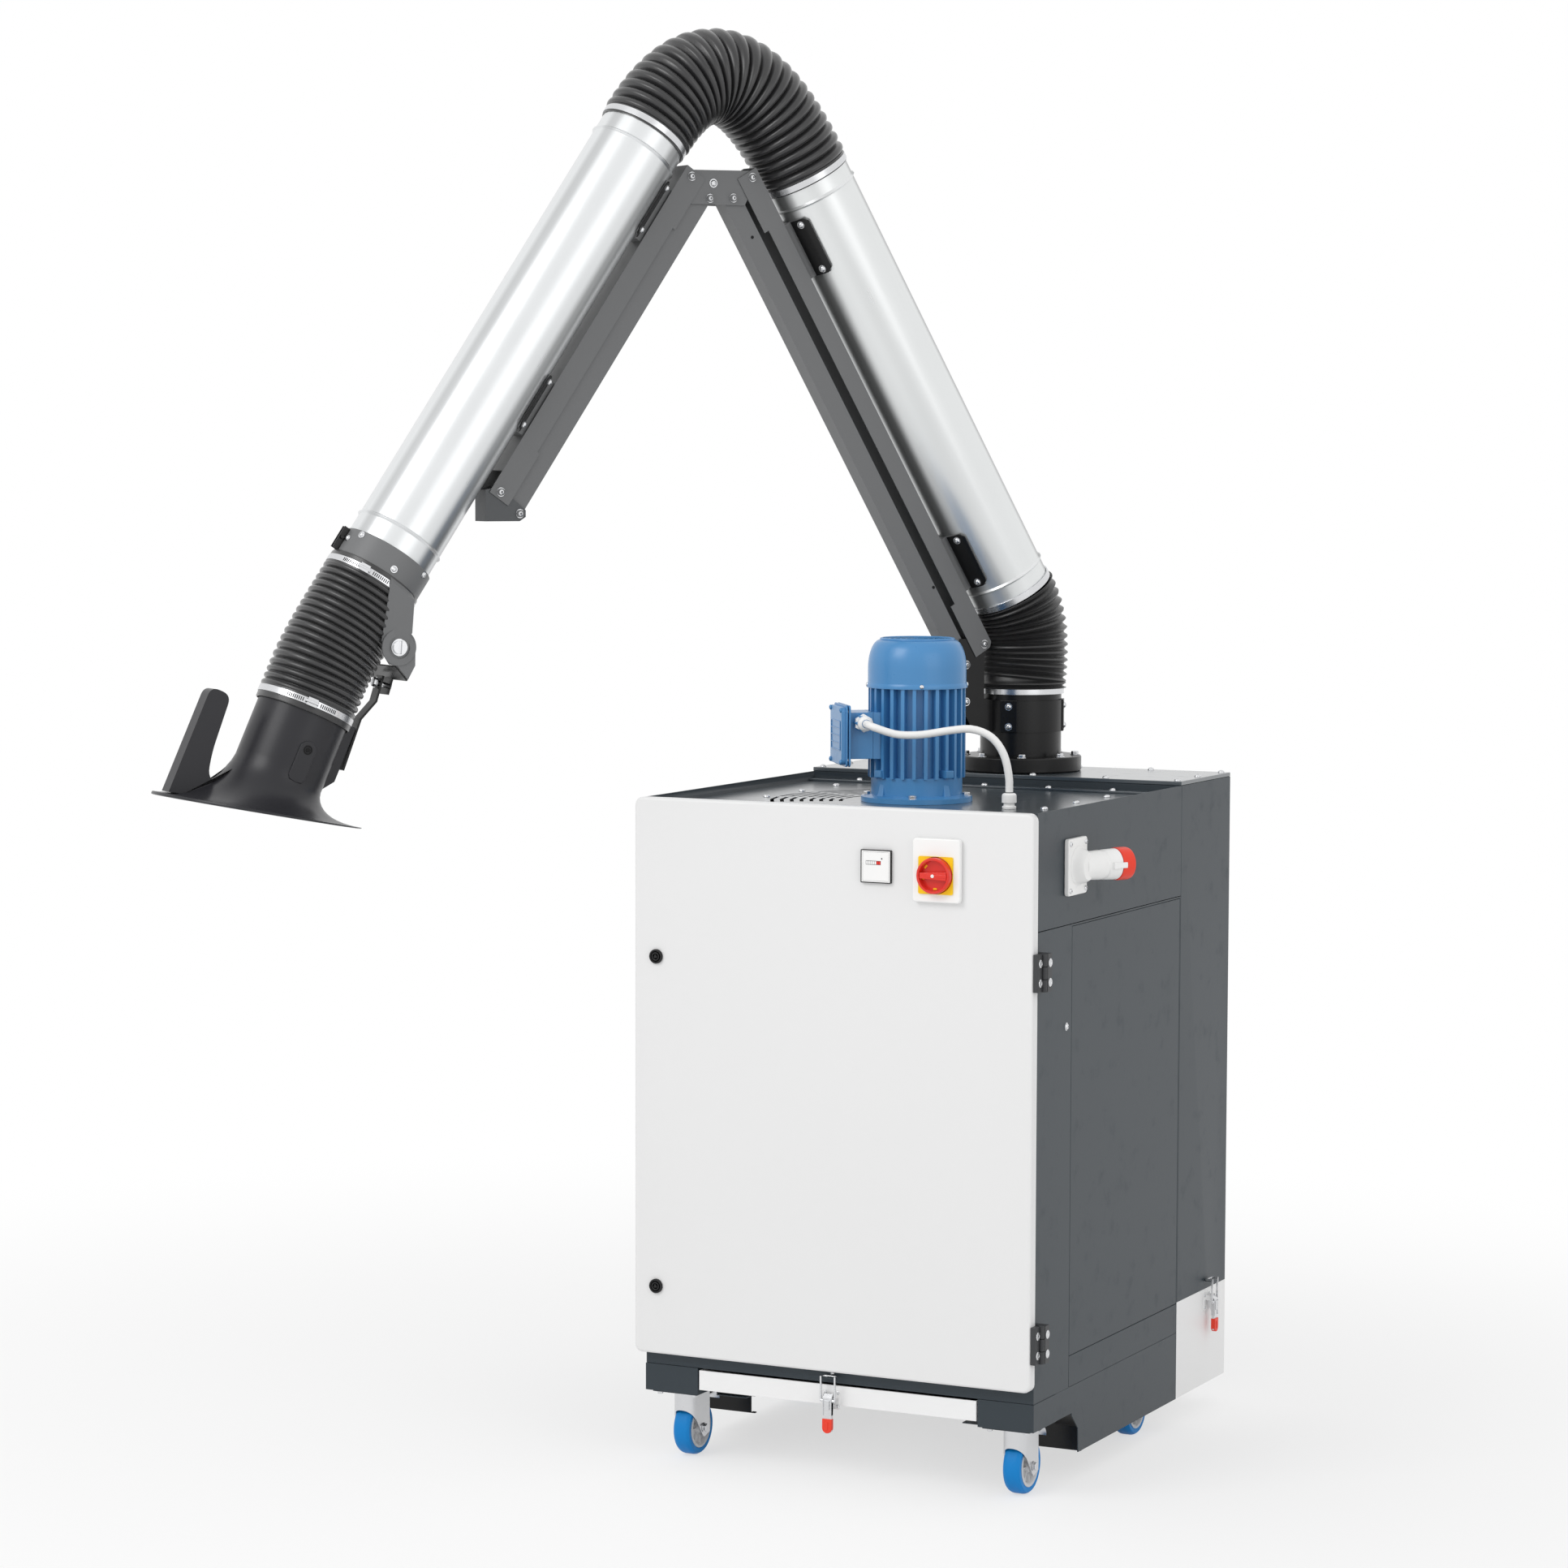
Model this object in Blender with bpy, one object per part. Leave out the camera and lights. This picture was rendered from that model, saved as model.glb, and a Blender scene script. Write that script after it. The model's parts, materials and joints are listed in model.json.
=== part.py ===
# Mobile welding fume extractor: a wheeled filter cabinet with a fan motor on its deck
# and a jointed extraction arm with a hood. Metres, +Z up, floor at Z = 0.
# The cabinet's front faces -Y. The arm has its own frame: +X is reach, +Y faces the viewer.
import math

import bmesh
import bpy
from mathutils import Matrix, Vector

for old_object in list(bpy.data.objects):
    bpy.data.objects.remove(old_object, do_unlink=True)

# Clearances and shared stock
seat_gap = 0.0003            # between two pieces that rest on each other
turn_gap = 0.0006            # round a pin, shaft or knob that turns in a hole
slide_gap = 0.002            # round a drawer that slides
cut_overrun = 0.004          # how far a cutter reaches past the face it cuts
sheet = 0.002                # cabinet steel sheet
plate = 0.003                # arm steel plate
round_segments = 32
small_segments = 16
pin_segments = 12
wheel_segments = 24

# Where the cabinet's front centre stands, so that the whole object's box is centred on the origin
cabinet_place_x = 0.289
cabinet_place_y = -0.128

# Cabinet
cabinet_width = 0.760
front_bay_depth = 0.680
rear_bay_depth = 0.255
cabinet_top = 1.205
caster_height = 0.128
frame_height = 0.049
rear_bay_bottom = 0.235
fan_shelf_height = 1.001
deck_recess = 0.017
deck_flange = 0.022
front_flange = 0.030
panel_front = 0.158
panel_bottom = 0.2335
panel_lap = 0.012
panel_seam = 0.0008
seam_depth = 0.0007
rail_width = 0.050
corner_box_width = 0.106
corner_box_depth = 0.100
corner_box_out = 0.001
skirt_bottom = 0.0515
skirt_front = 0.204
skirt_shoulder = 0.173
skirt_shoulder_height = 0.124
skirt_knee_height = 0.0957
runner_width = 0.058
runner_height = 0.024
runner_front = 0.070
air_slot_width = 0.300
air_slot_height = 0.120
air_slot_bottom = 0.850
tray_drop_width = 0.480
tray_drop_depth = 0.440

# Rear cover and arm swivel
cover_thickness = 0.0075
cover_hole_radius = 0.070
column_depth = 0.8064        # the arm's turning axis, behind the cabinet's front
pipe_radius = 0.0775
pipe_wall = 0.003
pipe_top = 1.385
ring_radius = 0.1165
ring_height = 0.029

# Door
door_left_reach = 0.014      # past the cabinet's side
door_right_reach = 0.002
door_bottom = 0.200
door_depth = 0.020
door_skin = 0.002
door_corner = 0.014
door_edge_round = 0.005
hinge_pin_out = 0.0145       # pin axis, out from the cabinet's side
hinge_pin_depth = 0.0003     # pin axis, behind the door
hinge_pin_radius = 0.0022
hinge_barrel_radius = 0.0052
hinge_height = 0.066
hinge_door_block = 0.0102    # how far the door's block stands out from the door's edge
hinge_body_block = 0.020     # how far the other block stands out from the cabinet's side
hinge_body_reach = 0.018
hinge_split = 0.0028         # each block's face, from the line between door and cabinet
upper_hinge_height = 0.931
lower_hinge_height = 0.284
lock_inset = 0.045
lock_radius = 0.013
lock_shank_radius = 0.0095
lock_face = 0.004
lock_cam_length = 0.032
lock_cam_width = 0.014
upper_lock_height = 0.9206
lower_lock_height = 0.3239
meter_place_x = 0.086
meter_place_z = 1.1025
meter_size = 0.058
meter_bezel = 0.006
meter_body_size = 0.045
meter_body_depth = 0.032
switch_place_x = 0.204
switch_place_z = 1.101
switch_width = 0.090
switch_height = 0.111
switch_thickness = 0.012
switch_yellow = 0.066
switch_yellow_thickness = 0.003
switch_yellow_drop = 0.008
switch_body_size = 0.060
switch_body_depth = 0.045
knob_radius = 0.0315
knob_thickness = 0.012
knob_grip_width = 0.015
knob_grip_length = 0.050
knob_grip_height = 0.014
knob_shaft_radius = 0.006

# Dust tray and rear bin
tray_left = -0.2715
tray_right = 0.2725
tray_bottom = 0.138
tray_top = 0.1736
tray_depth = 0.600
tray_front_out = 0.002
bin_bottom = 0.052
latch_drop = 0.008           # bail pivot below the lever pivot
latch_lever_length = 0.062
latch_lever_width = 0.017
latch_lever_thickness = 0.003
latch_plate_width = 0.030
latch_plate_height = 0.034
latch_wire = 0.0016
latch_pivot_out = 0.011
latch_bail_out = 0.006       # bail pivot, further out than the lever pivot
latch_bail_width = 0.021
keeper_reach = 0.012
keeper_thickness = 0.003
keeper_width = 0.014
tray_latch_x = -0.006
tray_keeper_height = 0.189
tray_pivot_height = 0.157
bin_latch_depth = 0.835
bin_keeper_height = 0.252
bin_pivot_height = 0.219

# Casters
wheel_radius = 0.050
wheel_width = 0.032
wheel_core_radius = 0.036
wheel_shoulder_radius = 0.0465
wheel_tread = 0.018
wheel_recess = 0.0115
axle_radius = 0.006
axle_half_length = 0.027
fork_inner_half = 0.0175
fork_thickness = 0.0035
fork_width = 0.042
fork_neck_radius = 0.026
caster_plate = 0.0035
caster_plate_size = 0.090
caster_side = 0.0545         # wheel plane, in from the cabinet's side
front_caster_depth = 0.052
rear_caster_depth = 0.582
caster_trail = 0.026
swivel_gap = 0.0012
brake_length = 0.050
brake_width = 0.022
brake_thickness = 0.0035
brake_pivot_height = 0.098
brake_pivot_behind = 0.030

# Fan motor
motor_depth = 0.330
motor_flange_radius = 0.1015
motor_flange = 0.009
motor_neck_radius = 0.083
motor_core_radius = 0.073
motor_fin_radius = 0.0885
motor_fins = 26
motor_fin_turn = 0.05
motor_fin_root = 0.0705      # inside the core's surface
motor_pad_reach = 0.0895     # face that the terminal box sits on
motor_fin_share = 0.30
motor_foot = 0.037           # plain end shield between flange and fins
motor_fin_height = 0.161
cowl_radius = 0.0895
cowl_height = 0.088
cowl_top_radius = 0.066
cowl_wall = 0.0025
cowl_round_share = 1.6
shaft_radius = 0.012
shaft_below_deck = 0.095
shaft_above_fins = 0.030
impeller_below_deck = 0.024
impeller_hub_height = 0.035
terminal_heading = math.radians(217)
terminal_size = 0.104
terminal_inner = 0.084
terminal_reach = 0.150
terminal_lid = 0.012
terminal_lid_lap = 0.003
terminal_height = 1.310      # centre of the box
gland_along_share = 0.35     # along the box, from its root to its lid
gland_rise = 0.024
gland_radius = 0.0105
gland_length = 0.040
gland_nut_radius = 0.0155
gland_nut_length = 0.030
cable_radius = 0.0070
deck_gland_x = 0.2186
deck_gland_y = 0.2491
deck_gland_radius = 0.0115
deck_gland_height = 0.0285
deck_gland_nut_radius = 0.0150
deck_gland_nut_low = 0.010
deck_gland_foot = 0.005
impeller_radius = 0.165
impeller_height = 0.070
impeller_plate = 0.003
impeller_hub_radius = 0.030
impeller_eye_radius = 0.092
impeller_blades = 7
impeller_blade_angle = math.radians(38)
vent_inner_radius = 0.135
vent_row_pitch = 0.018
vent_slot_width = 0.007
vent_rows = 8
vent_web = 0.012
vent_start = math.radians(105)
vent_end = math.radians(215)
vent_sectors = 4
filter_radius = 0.163
filter_bore_radius = 0.100
filter_length = 0.660
filter_cap = 0.012

# Power inlet on the right side
inlet_depth = 0.160
inlet_height = 1.101
inlet_plate_width = 0.084
inlet_plate_height = 0.100
inlet_plate = 0.009
inlet_boss_radius = 0.031
inlet_barrel_radius = 0.0245
inlet_tilt = math.radians(60)
inlet_reach = 0.130
inlet_shroud_radius = 0.0275
inlet_shroud_length = 0.034
inlet_bore_radius = 0.0215
inlet_bore_depth = 0.040

# Arm
arm_heading = math.radians(236)
base_pivot_reach = 0.0985
base_pivot_height = 1.4567
pivot_step = 0.0385          # from an outer pivot to its inner one, across and down
lower_angle = math.radians(59.6)
fore_angle = math.radians(-55.95)
lower_length = 1.000
fore_length = 0.687
elbow_span = 0.1255
elbow_drop = 0.002
link_inner_half = 0.018      # half width of the inner channels
channel_wall = 0.002
beam_up = 0.016              # outer channel: web above the pivots
beam_down = 0.028            # outer channel: flange below the pivots, at its ends
beam_down_middle = 0.018
beam_end = 0.012
beam_step = 0.100            # where the flanges narrow, from each pivot
fore_beam_up = 0.018
fore_beam_down = 0.026
fore_beam_down_middle = 0.0205
web_cut_back = 0.034
lower_link_up = 0.017
lower_link_down = 0.0195
fore_link_up = 0.031
fore_link_down = 0.0055
link_end = 0.010
pin_radius = 0.004
pin_head_radius = 0.0068
pin_head = 0.0045
pivot_ear = 0.012
tube_offset = 0.112          # tube axis above the outer pivots
tube_radius = 0.080
tube_wall = 0.0015
bead_height = 0.0035
bead_width = 0.007
lower_tube_start = 0.045
lower_tube_end = 0.960
lower_bead_start = 0.089
lower_bead_end = 0.910
fore_tube_start = -0.025
fore_tube_end = 0.975
fore_bead_start = 0.029
fore_bead_end = 0.856
saddle_length = 0.112
saddle_half_angle = math.radians(37)
saddle_wall = 0.0022
lower_saddles = (0.162, 0.835)
fore_saddles = (0.100, 0.522)
saddle_leg_half = 0.017

# Column bracket
clamp_bottom = 1.289
clamp_top = 1.349
clamp_wall = 0.004
bracket_outer = 0.156
bracket_foot = 0.118
bracket_top_lift = 0.011
bracket_knee_height = 1.356
bracket_web_height = 0.060

# Elbow
elbow_above = 0.011
elbow_below = 0.0515         # plates' lower edge, under the outer pivots
elbow_side = 0.012
elbow_web_inset = 0.040

# End bracket of the fore link
end_web_reach = 0.029
end_web_top = 0.004
end_web_bottom = 0.052
end_tail = 0.012

# Hoses
hose_wall = 0.003
hose_sides = 20
hood_hose_slim = 0.0755      # inner radius between its clamps
base_hose_start = 1.3495
base_hose_lean = 0.12
base_hose_handles = (0.070, 0.060)
elbow_hose_handle = 0.206
elbow_hose_grip = 0.020
hood_hose_handle = 0.050
hose_rings = 5

# Hood, and the joint that carries it
collar_start = 0.884
collar_end = 0.936
collar_wall = 0.0042
hood_hose_run = 0.2557
hood_hose_angle = math.radians(-59.13)
hood_angle = math.radians(-65.8)
hood_neck_radius = 0.0815
hood_wall = 0.003
hood_neck_start = -0.045
hood_neck_end = 0.132
hood_mouth_x = 0.209
hood_mouth_z = 0.011
hood_mouth_tilt = math.radians(-12.7)
hood_rim_radius = 0.1835
hood_flare_shares = (0.30, 0.54, 0.74, 0.89, 1.0)
hood_hose_cover = 0.008
tilt_pivot_x = 0.0994        # past the collar, along the fore tube
tilt_pivot_off = 0.0769      # below the fore tube's axis
yoke_half = 0.064
yoke_plate_radius = 0.018
yoke_top = 0.0575
disc_radius = 0.030
tilt_pin_radius = 0.006
tilt_head_radius = 0.0145
tilt_head = 0.006
fork_web_near = (0.0034, -0.0328)
fork_web_far = (-0.0171, -0.0572)
fork_tongue_end = (-0.0080, -0.0858)
fork_tongue_half = 0.019
swing_angle = math.radians(17.5)
swing_pin_radius = 0.005
swing_pin_length = 0.028
swing_head_radius = 0.009
swing_head = 0.005
strap_out = 0.0205
strap_half = 0.013
strap_thickness = 0.004
strap_tab_up = 0.014
strap_tab_down = 0.033
strap_knee = (0.0439, -0.1281)
strap_foot = (0.0781, -0.2169)
spine_half = 0.016
spine_start = 0.010
spine_end = 0.112
handle_half = 0.016
handle_out = 0.1825
handle_in_top = 0.1450
handle_in_low = 0.1345
handle_top = 0.048
handle_low = 0.170
handle_notch_x = 0.192
handle_notch_z = 0.112
handle_round = 0.014

# Sizes that follow from those above
motor_bore_radius = shaft_radius + turn_gap
cabinet_half = cabinet_width / 2
cabinet_depth = front_bay_depth + rear_bay_depth
frame_bottom = caster_height
frame_top = frame_bottom + frame_height
deck_top = cabinet_top - deck_recess
deck_bottom = deck_top - sheet
cover_top = cabinet_top + seat_gap + cover_thickness
fan_floor = fan_shelf_height - sheet + panel_seam
panel_back = front_bay_depth - 2 * sheet
panel_top = fan_shelf_height - 3 * sheet
door_face = -door_depth
beam_inner_half = link_inner_half + 2 * seat_gap + plate
beam_half = beam_inner_half + channel_wall
plate_in = link_inner_half + seat_gap
plate_out = plate_in + plate


def polar(angle, length=1.0):
    return Vector((math.cos(angle) * length, math.sin(angle) * length))


base_pivot = Vector((base_pivot_reach, base_pivot_height))
base_inner = base_pivot + Vector((pivot_step, -pivot_step))
elbow_pivot = base_pivot + polar(lower_angle, lower_length)
elbow_inner = elbow_pivot + Vector((pivot_step, -pivot_step))
fore_pivot = elbow_pivot + Vector((elbow_span, -elbow_drop))
fore_inner = fore_pivot + Vector((-pivot_step, -pivot_step))
end_pivot = fore_pivot + polar(fore_angle, fore_length)
end_inner = end_pivot + Vector((-pivot_step, -pivot_step))


def on_link(pivot, angle, along, above):
    """A point of the arm's plane, given along and above a link."""
    return pivot + polar(angle, along) + polar(angle + math.pi / 2, above)


collar_centre = on_link(fore_pivot, fore_angle, collar_end, tube_offset)
tilt_pivot = on_link(fore_pivot, fore_angle, collar_end + tilt_pivot_x, tube_offset - tilt_pivot_off)
hood_centre = collar_centre + polar(hood_hose_angle, hood_hose_run)


# Materials
def paint(name, colour, roughness, metallic=0.0):
    material = bpy.data.materials.new(name)
    material.use_nodes = True
    shader = material.node_tree.nodes["Principled BSDF"]
    shader.inputs["Base Color"].default_value = (*colour, 1.0)
    shader.inputs["Roughness"].default_value = roughness
    shader.inputs["Metallic"].default_value = metallic
    material.diffuse_color = (*colour, 1.0)
    return material


white_paint = paint("white_paint", (0.80, 0.80, 0.79), 0.45)
slate_paint = paint("slate_paint", (0.070, 0.085, 0.100), 0.50)
black_paint = paint("black_paint", (0.012, 0.012, 0.013), 0.35)
grey_paint = paint("grey_paint", (0.16, 0.16, 0.16), 0.50)
motor_paint = paint("motor_paint", (0.060, 0.245, 0.520), 0.40)
galvanised = paint("galvanised", (0.78, 0.79, 0.80), 0.28, 1.0)
bright_zinc = paint("bright_zinc", (0.82, 0.83, 0.84), 0.25, 1.0)
black_plastic = paint("black_plastic", (0.020, 0.020, 0.022), 0.45)
white_plastic = paint("white_plastic", (0.82, 0.82, 0.80), 0.40)
red_plastic = paint("red_plastic", (0.70, 0.05, 0.02), 0.40)
blue_tyre = paint("blue_tyre", (0.004, 0.230, 0.620), 0.50)
black_fabric = paint("black_fabric", (0.015, 0.015, 0.017), 0.70)
filter_paper = paint("filter_paper", (0.75, 0.73, 0.66), 0.90)


# Frames that pieces hang from
def frame(name, parent=None, location=(0, 0, 0), rotation=(0, 0, 0)):
    empty = bpy.data.objects.new(name, None)
    bpy.context.scene.collection.objects.link(empty)
    empty.parent = parent
    empty.location = location
    empty.rotation_euler = rotation
    return empty


cabinet_frame = frame("cabinet_frame", None, (cabinet_place_x, cabinet_place_y, 0))
arm_frame = frame("arm_frame", cabinet_frame, (0, column_depth, 0), (0, 0, arm_heading))
lower_frame = frame("lower_frame", arm_frame, (base_pivot.x, 0, base_pivot.y), (0, -lower_angle, 0))
lower_link_frame = frame(
    "lower_link_frame", arm_frame, (base_inner.x, 0, base_inner.y), (0, -lower_angle, 0)
)
elbow_frame = frame("elbow_frame", arm_frame, (elbow_pivot.x, 0, elbow_pivot.y))
fore_frame = frame("fore_frame", arm_frame, (fore_pivot.x, 0, fore_pivot.y), (0, -fore_angle, 0))
fore_link_frame = frame(
    "fore_link_frame", arm_frame, (fore_inner.x, 0, fore_inner.y), (0, -fore_angle, 0)
)
end_frame = frame("end_frame", arm_frame, (end_pivot.x, 0, end_pivot.y))
tilt_frame = frame("tilt_frame", arm_frame, (tilt_pivot.x, 0, tilt_pivot.y))
hood_frame = frame("hood_frame", arm_frame, (hood_centre.x, 0, hood_centre.y), (0, -hood_angle, 0))


# Solids, each a closed bmesh
def closed(shape):
    bmesh.ops.recalc_face_normals(shape, faces=shape.faces)
    return shape


def box(x0, x1, y0, y1, z0, z1):
    shape = bmesh.new()
    bmesh.ops.create_cube(shape, size=1.0)
    for vert in shape.verts:
        vert.co = (
            x1 if vert.co.x > 0 else x0,
            y1 if vert.co.y > 0 else y0,
            z1 if vert.co.z > 0 else z0,
        )
    return closed(shape)


def prism(outline, low, high, axis="Z"):
    """A polygon pushed along an axis: its points are (x, y) for Z, (x, z) for Y and (y, z) for X."""

    def point(a, b, level):
        if axis == "Z":
            return (a, b, level)
        if axis == "Y":
            return (a, level, b)
        return (level, a, b)

    shape = bmesh.new()
    rings = [[shape.verts.new(point(a, b, level)) for a, b in outline] for level in (low, high)]
    shape.faces.new(rings[0])
    shape.faces.new(rings[1])
    count = len(outline)
    for i in range(count):
        j = (i + 1) % count
        shape.faces.new((rings[0][i], rings[0][j], rings[1][j], rings[1][i]))
    return closed(shape)


def lofted(rings, capped=False):
    """Faces between successive rings; the last joins the first unless the ends are capped."""
    shape = bmesh.new()
    loops = [[shape.verts.new(p) for p in ring] for ring in rings]
    pairs = list(zip(loops, loops[1:])) + ([] if capped else [(loops[-1], loops[0])])
    for a, b in pairs:
        for i in range(len(a)):
            j = (i + 1) % len(a)
            shape.faces.new((a[i], a[j], b[j], b[i]))
    if capped:
        shape.faces.new(loops[0])
        shape.faces.new(loops[-1])
    return closed(shape)


def circle_points(radius, segments, level=0.0, turn=0.0):
    return [
        (
            radius * math.cos(turn + 2 * math.pi * i / segments),
            radius * math.sin(turn + 2 * math.pi * i / segments),
            level,
        )
        for i in range(segments)
    ]


def turned(profile, segments=round_segments, solid=False):
    """A profile of (radius, z) turned round Z. A solid one is capped at both ends."""
    return lofted([circle_points(r, segments, z) for r, z in profile], capped=solid)


def cylinder(radius, low, high, segments=round_segments):
    return turned([(radius, low), (radius, high)], segments, solid=True)


def pipe(inner, outer, low, high, segments=round_segments):
    return turned([(outer, low), (outer, high), (inner, high), (inner, low)], segments)


def moved(shape, offset=(0, 0, 0), turn=0.0, axis="Z"):
    matrix = Matrix.Translation(offset) @ Matrix.Rotation(turn, 4, axis)
    bmesh.ops.transform(shape, matrix=matrix, verts=shape.verts)
    return shape


def along_y(shape, offset=(0, 0, 0)):
    return moved(shape, offset, math.pi / 2, "X")


def along_x(shape, offset=(0, 0, 0)):
    return moved(shape, offset, math.pi / 2, "Y")


def rounded_rectangle(x0, x1, y0, y1, radius, steps=4):
    points = []
    corners = ((x1, y1, 0), (x0, y1, 1), (x0, y0, 2), (x1, y0, 3))
    for x, y, quarter in corners:
        centre = Vector((x - math.copysign(radius, x - (x0 + x1) / 2), y - math.copysign(radius, y - (y0 + y1) / 2)))
        for i in range(steps + 1):
            points.append(tuple(centre + polar(math.pi / 2 * (quarter + i / steps), radius)))
    return points


def arc(centre, radius, start, end, steps):
    return [tuple(Vector(centre) + polar(start + (end - start) * i / steps, radius)) for i in range(steps + 1)]


# Nodes
def node(name, shape, material, parent=cabinet_frame, location=(0, 0, 0), rotation=(0, 0, 0)):
    mesh = bpy.data.meshes.new(name)
    shape.to_mesh(mesh)
    shape.free()
    mesh.materials.append(material)
    piece = bpy.data.objects.new(name, mesh)
    bpy.context.scene.collection.objects.link(piece)
    piece.parent = parent
    piece.location = location
    piece.rotation_euler = rotation
    return piece


def combined(piece, shapes, operation):
    """Adds or cuts shapes given in the piece's own frame, one after another."""
    for shape in shapes:
        tool = node("tool", shape, piece.data.materials[0], piece.parent, piece.location, piece.rotation_euler)
        modifier = piece.modifiers.new(operation, "BOOLEAN")
        modifier.operation = operation
        modifier.object = tool
        bpy.context.view_layer.update()
        graph = bpy.context.evaluated_depsgraph_get()
        result = bpy.data.meshes.new_from_object(piece.evaluated_get(graph))
        piece.modifiers.clear()
        old = piece.data
        piece.data = result
        result.name = old.name
        bpy.data.objects.remove(tool, do_unlink=True)
        bpy.data.meshes.remove(old)
    return piece


def add(piece, *shapes):
    return combined(piece, shapes, "UNION")


def cut(piece, *shapes):
    return combined(piece, shapes, "DIFFERENCE")


def carved(shape, cutter):
    """A solid with another taken out of it, for use as a tool."""
    piece = cut(node("carved", shape, bright_zinc), cutter)
    result = bmesh.new()
    result.from_mesh(piece.data)
    bpy.data.objects.remove(piece, do_unlink=True)
    return result


def smooth(piece, angle=math.radians(35)):
    piece.data.shade_smooth()
    piece.data.set_sharp_from_angle(angle=angle)
    return piece


def gather(*shapes):
    """Several shapes that don't touch, as one tool."""
    whole = bmesh.new()
    for shape in shapes:
        mesh = bpy.data.meshes.new("part")
        shape.to_mesh(mesh)
        shape.free()
        whole.from_mesh(mesh)
        bpy.data.meshes.remove(mesh)
    return whole


# Cabinet shell, frame and covers
def make_cabinet():
    make_filter_housing()
    make_fan_housing()


def make_filter_housing():
    """The lower front bay and, folded on behind it, the two sides and the back of the settling bay."""
    over = cut_overrun
    half = cabinet_half
    inside = half - sheet
    low, high = frame_top + seat_gap, fan_floor - panel_seam
    housing = node("filter_housing", box(-half, half, 0, front_bay_depth, low, high), slate_paint)
    cut(housing, box(-inside, inside, sheet, front_bay_depth - sheet, low + sheet, high + over))
    rear = front_bay_depth + panel_seam
    add(housing, box(-half, half, rear, cabinet_depth, rear_bay_bottom, cabinet_top),
        box(-half, half, front_bay_depth - sheet / 2, rear + sheet / 2, rear_bay_bottom, high))
    cut(housing, box(-inside, inside, rear + sheet, cabinet_depth - sheet, rear_bay_bottom - over, high),
        box(-inside, inside, rear - over, cabinet_depth - sheet, high - over, cabinet_top + over))
    # backing behind the side panel
    add(housing, box(inside - sheet, half - sheet / 2, panel_front - 2 * panel_lap, front_bay_depth - sheet / 2,
                     panel_bottom - 2 * panel_lap, high - sheet / 2))
    cut(
        housing,
        box(half - sheet - seat_gap, half + over, panel_front - panel_seam, panel_back + panel_seam,
            panel_bottom - panel_seam, panel_top + panel_seam),
        box(inside - sheet - over, half + over, panel_front + panel_lap, panel_back - panel_lap,
            panel_bottom + panel_lap, panel_top - panel_lap),
        box(-inside + front_flange, inside - front_flange, -over, sheet + over,
            door_bottom + front_flange, fan_shelf_height - front_flange),
        # way for the air from the settling bay, and down to the tray
        box(-air_slot_width / 2, air_slot_width / 2, front_bay_depth - sheet - over, rear + sheet + over,
            air_slot_bottom, air_slot_bottom + air_slot_height),
        box(-tray_drop_width / 2, tray_drop_width / 2, motor_depth - tray_drop_depth / 2,
            motor_depth + tray_drop_depth / 2, frame_top - over, frame_top + over),
        # seams of the folded side sheets
        box(half - seam_depth, half + over, panel_front - panel_seam, panel_front, frame_top - over, panel_bottom),
        box(half - seam_depth, half + over, front_bay_depth, rear, rear_bay_bottom - over, high + over),
    )
    add(housing, *tray_keeper(), *bin_keeper())
    return housing


def make_fan_housing():
    over = cut_overrun
    half = cabinet_half
    inside = half - sheet
    housing = node("fan_housing", box(-half, half, 0, front_bay_depth, fan_floor, cabinet_top), slate_paint)
    cut(housing, box(-inside, inside, sheet, front_bay_depth - sheet, fan_floor + sheet, cabinet_top + over))
    # flange that the deck rests on
    add(housing, box(-half + sheet / 2, half - sheet / 2, sheet / 2, front_bay_depth - sheet / 2,
                     deck_bottom - seat_gap - sheet, deck_bottom - seat_gap))
    flange = deck_flange
    cut(
        housing,
        box(-inside + flange, inside - flange, sheet + flange, front_bay_depth - sheet - flange,
            deck_bottom - over - sheet, deck_bottom),
        moved(cylinder(impeller_eye_radius, fan_floor - over, fan_floor + sheet + over), (0, motor_depth, 0)),
        # openings behind the two instruments
        box(meter_place_x - meter_size / 2, meter_place_x + meter_size / 2, -over, sheet + over,
            meter_place_z - meter_size / 2, meter_place_z + meter_size / 2),
        box(switch_place_x - switch_width / 2, switch_place_x + switch_width / 2, -over, sheet + over,
            switch_place_z - switch_height / 2, switch_place_z + switch_height / 2),
    )
    return housing


def tray_keeper():
    x, z = tray_latch_x, tray_keeper_height
    return [box(x - keeper_width / 2, x + keeper_width / 2, -keeper_reach, sheet / 2, z - keeper_thickness, z)]


def bin_keeper():
    y, z = bin_latch_depth, bin_keeper_height
    return [
        box(cabinet_half - sheet / 2, cabinet_half + keeper_reach, y - keeper_width / 2, y + keeper_width / 2,
            z - keeper_thickness, z)
    ]


def make_side_panel():
    node(
        "side_panel",
        box(cabinet_half - sheet, cabinet_half, panel_front, panel_back, panel_bottom, panel_top),
        slate_paint,
    )


def skirt_outline():
    return [
        (skirt_shoulder, skirt_shoulder_height + cut_overrun + sheet),
        (skirt_shoulder, skirt_shoulder_height),
        (skirt_front - sheet, skirt_knee_height),
        (skirt_front, skirt_bottom),
        (front_bay_depth, skirt_bottom),
        (front_bay_depth, skirt_shoulder_height + cut_overrun + sheet),
    ]


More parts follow.
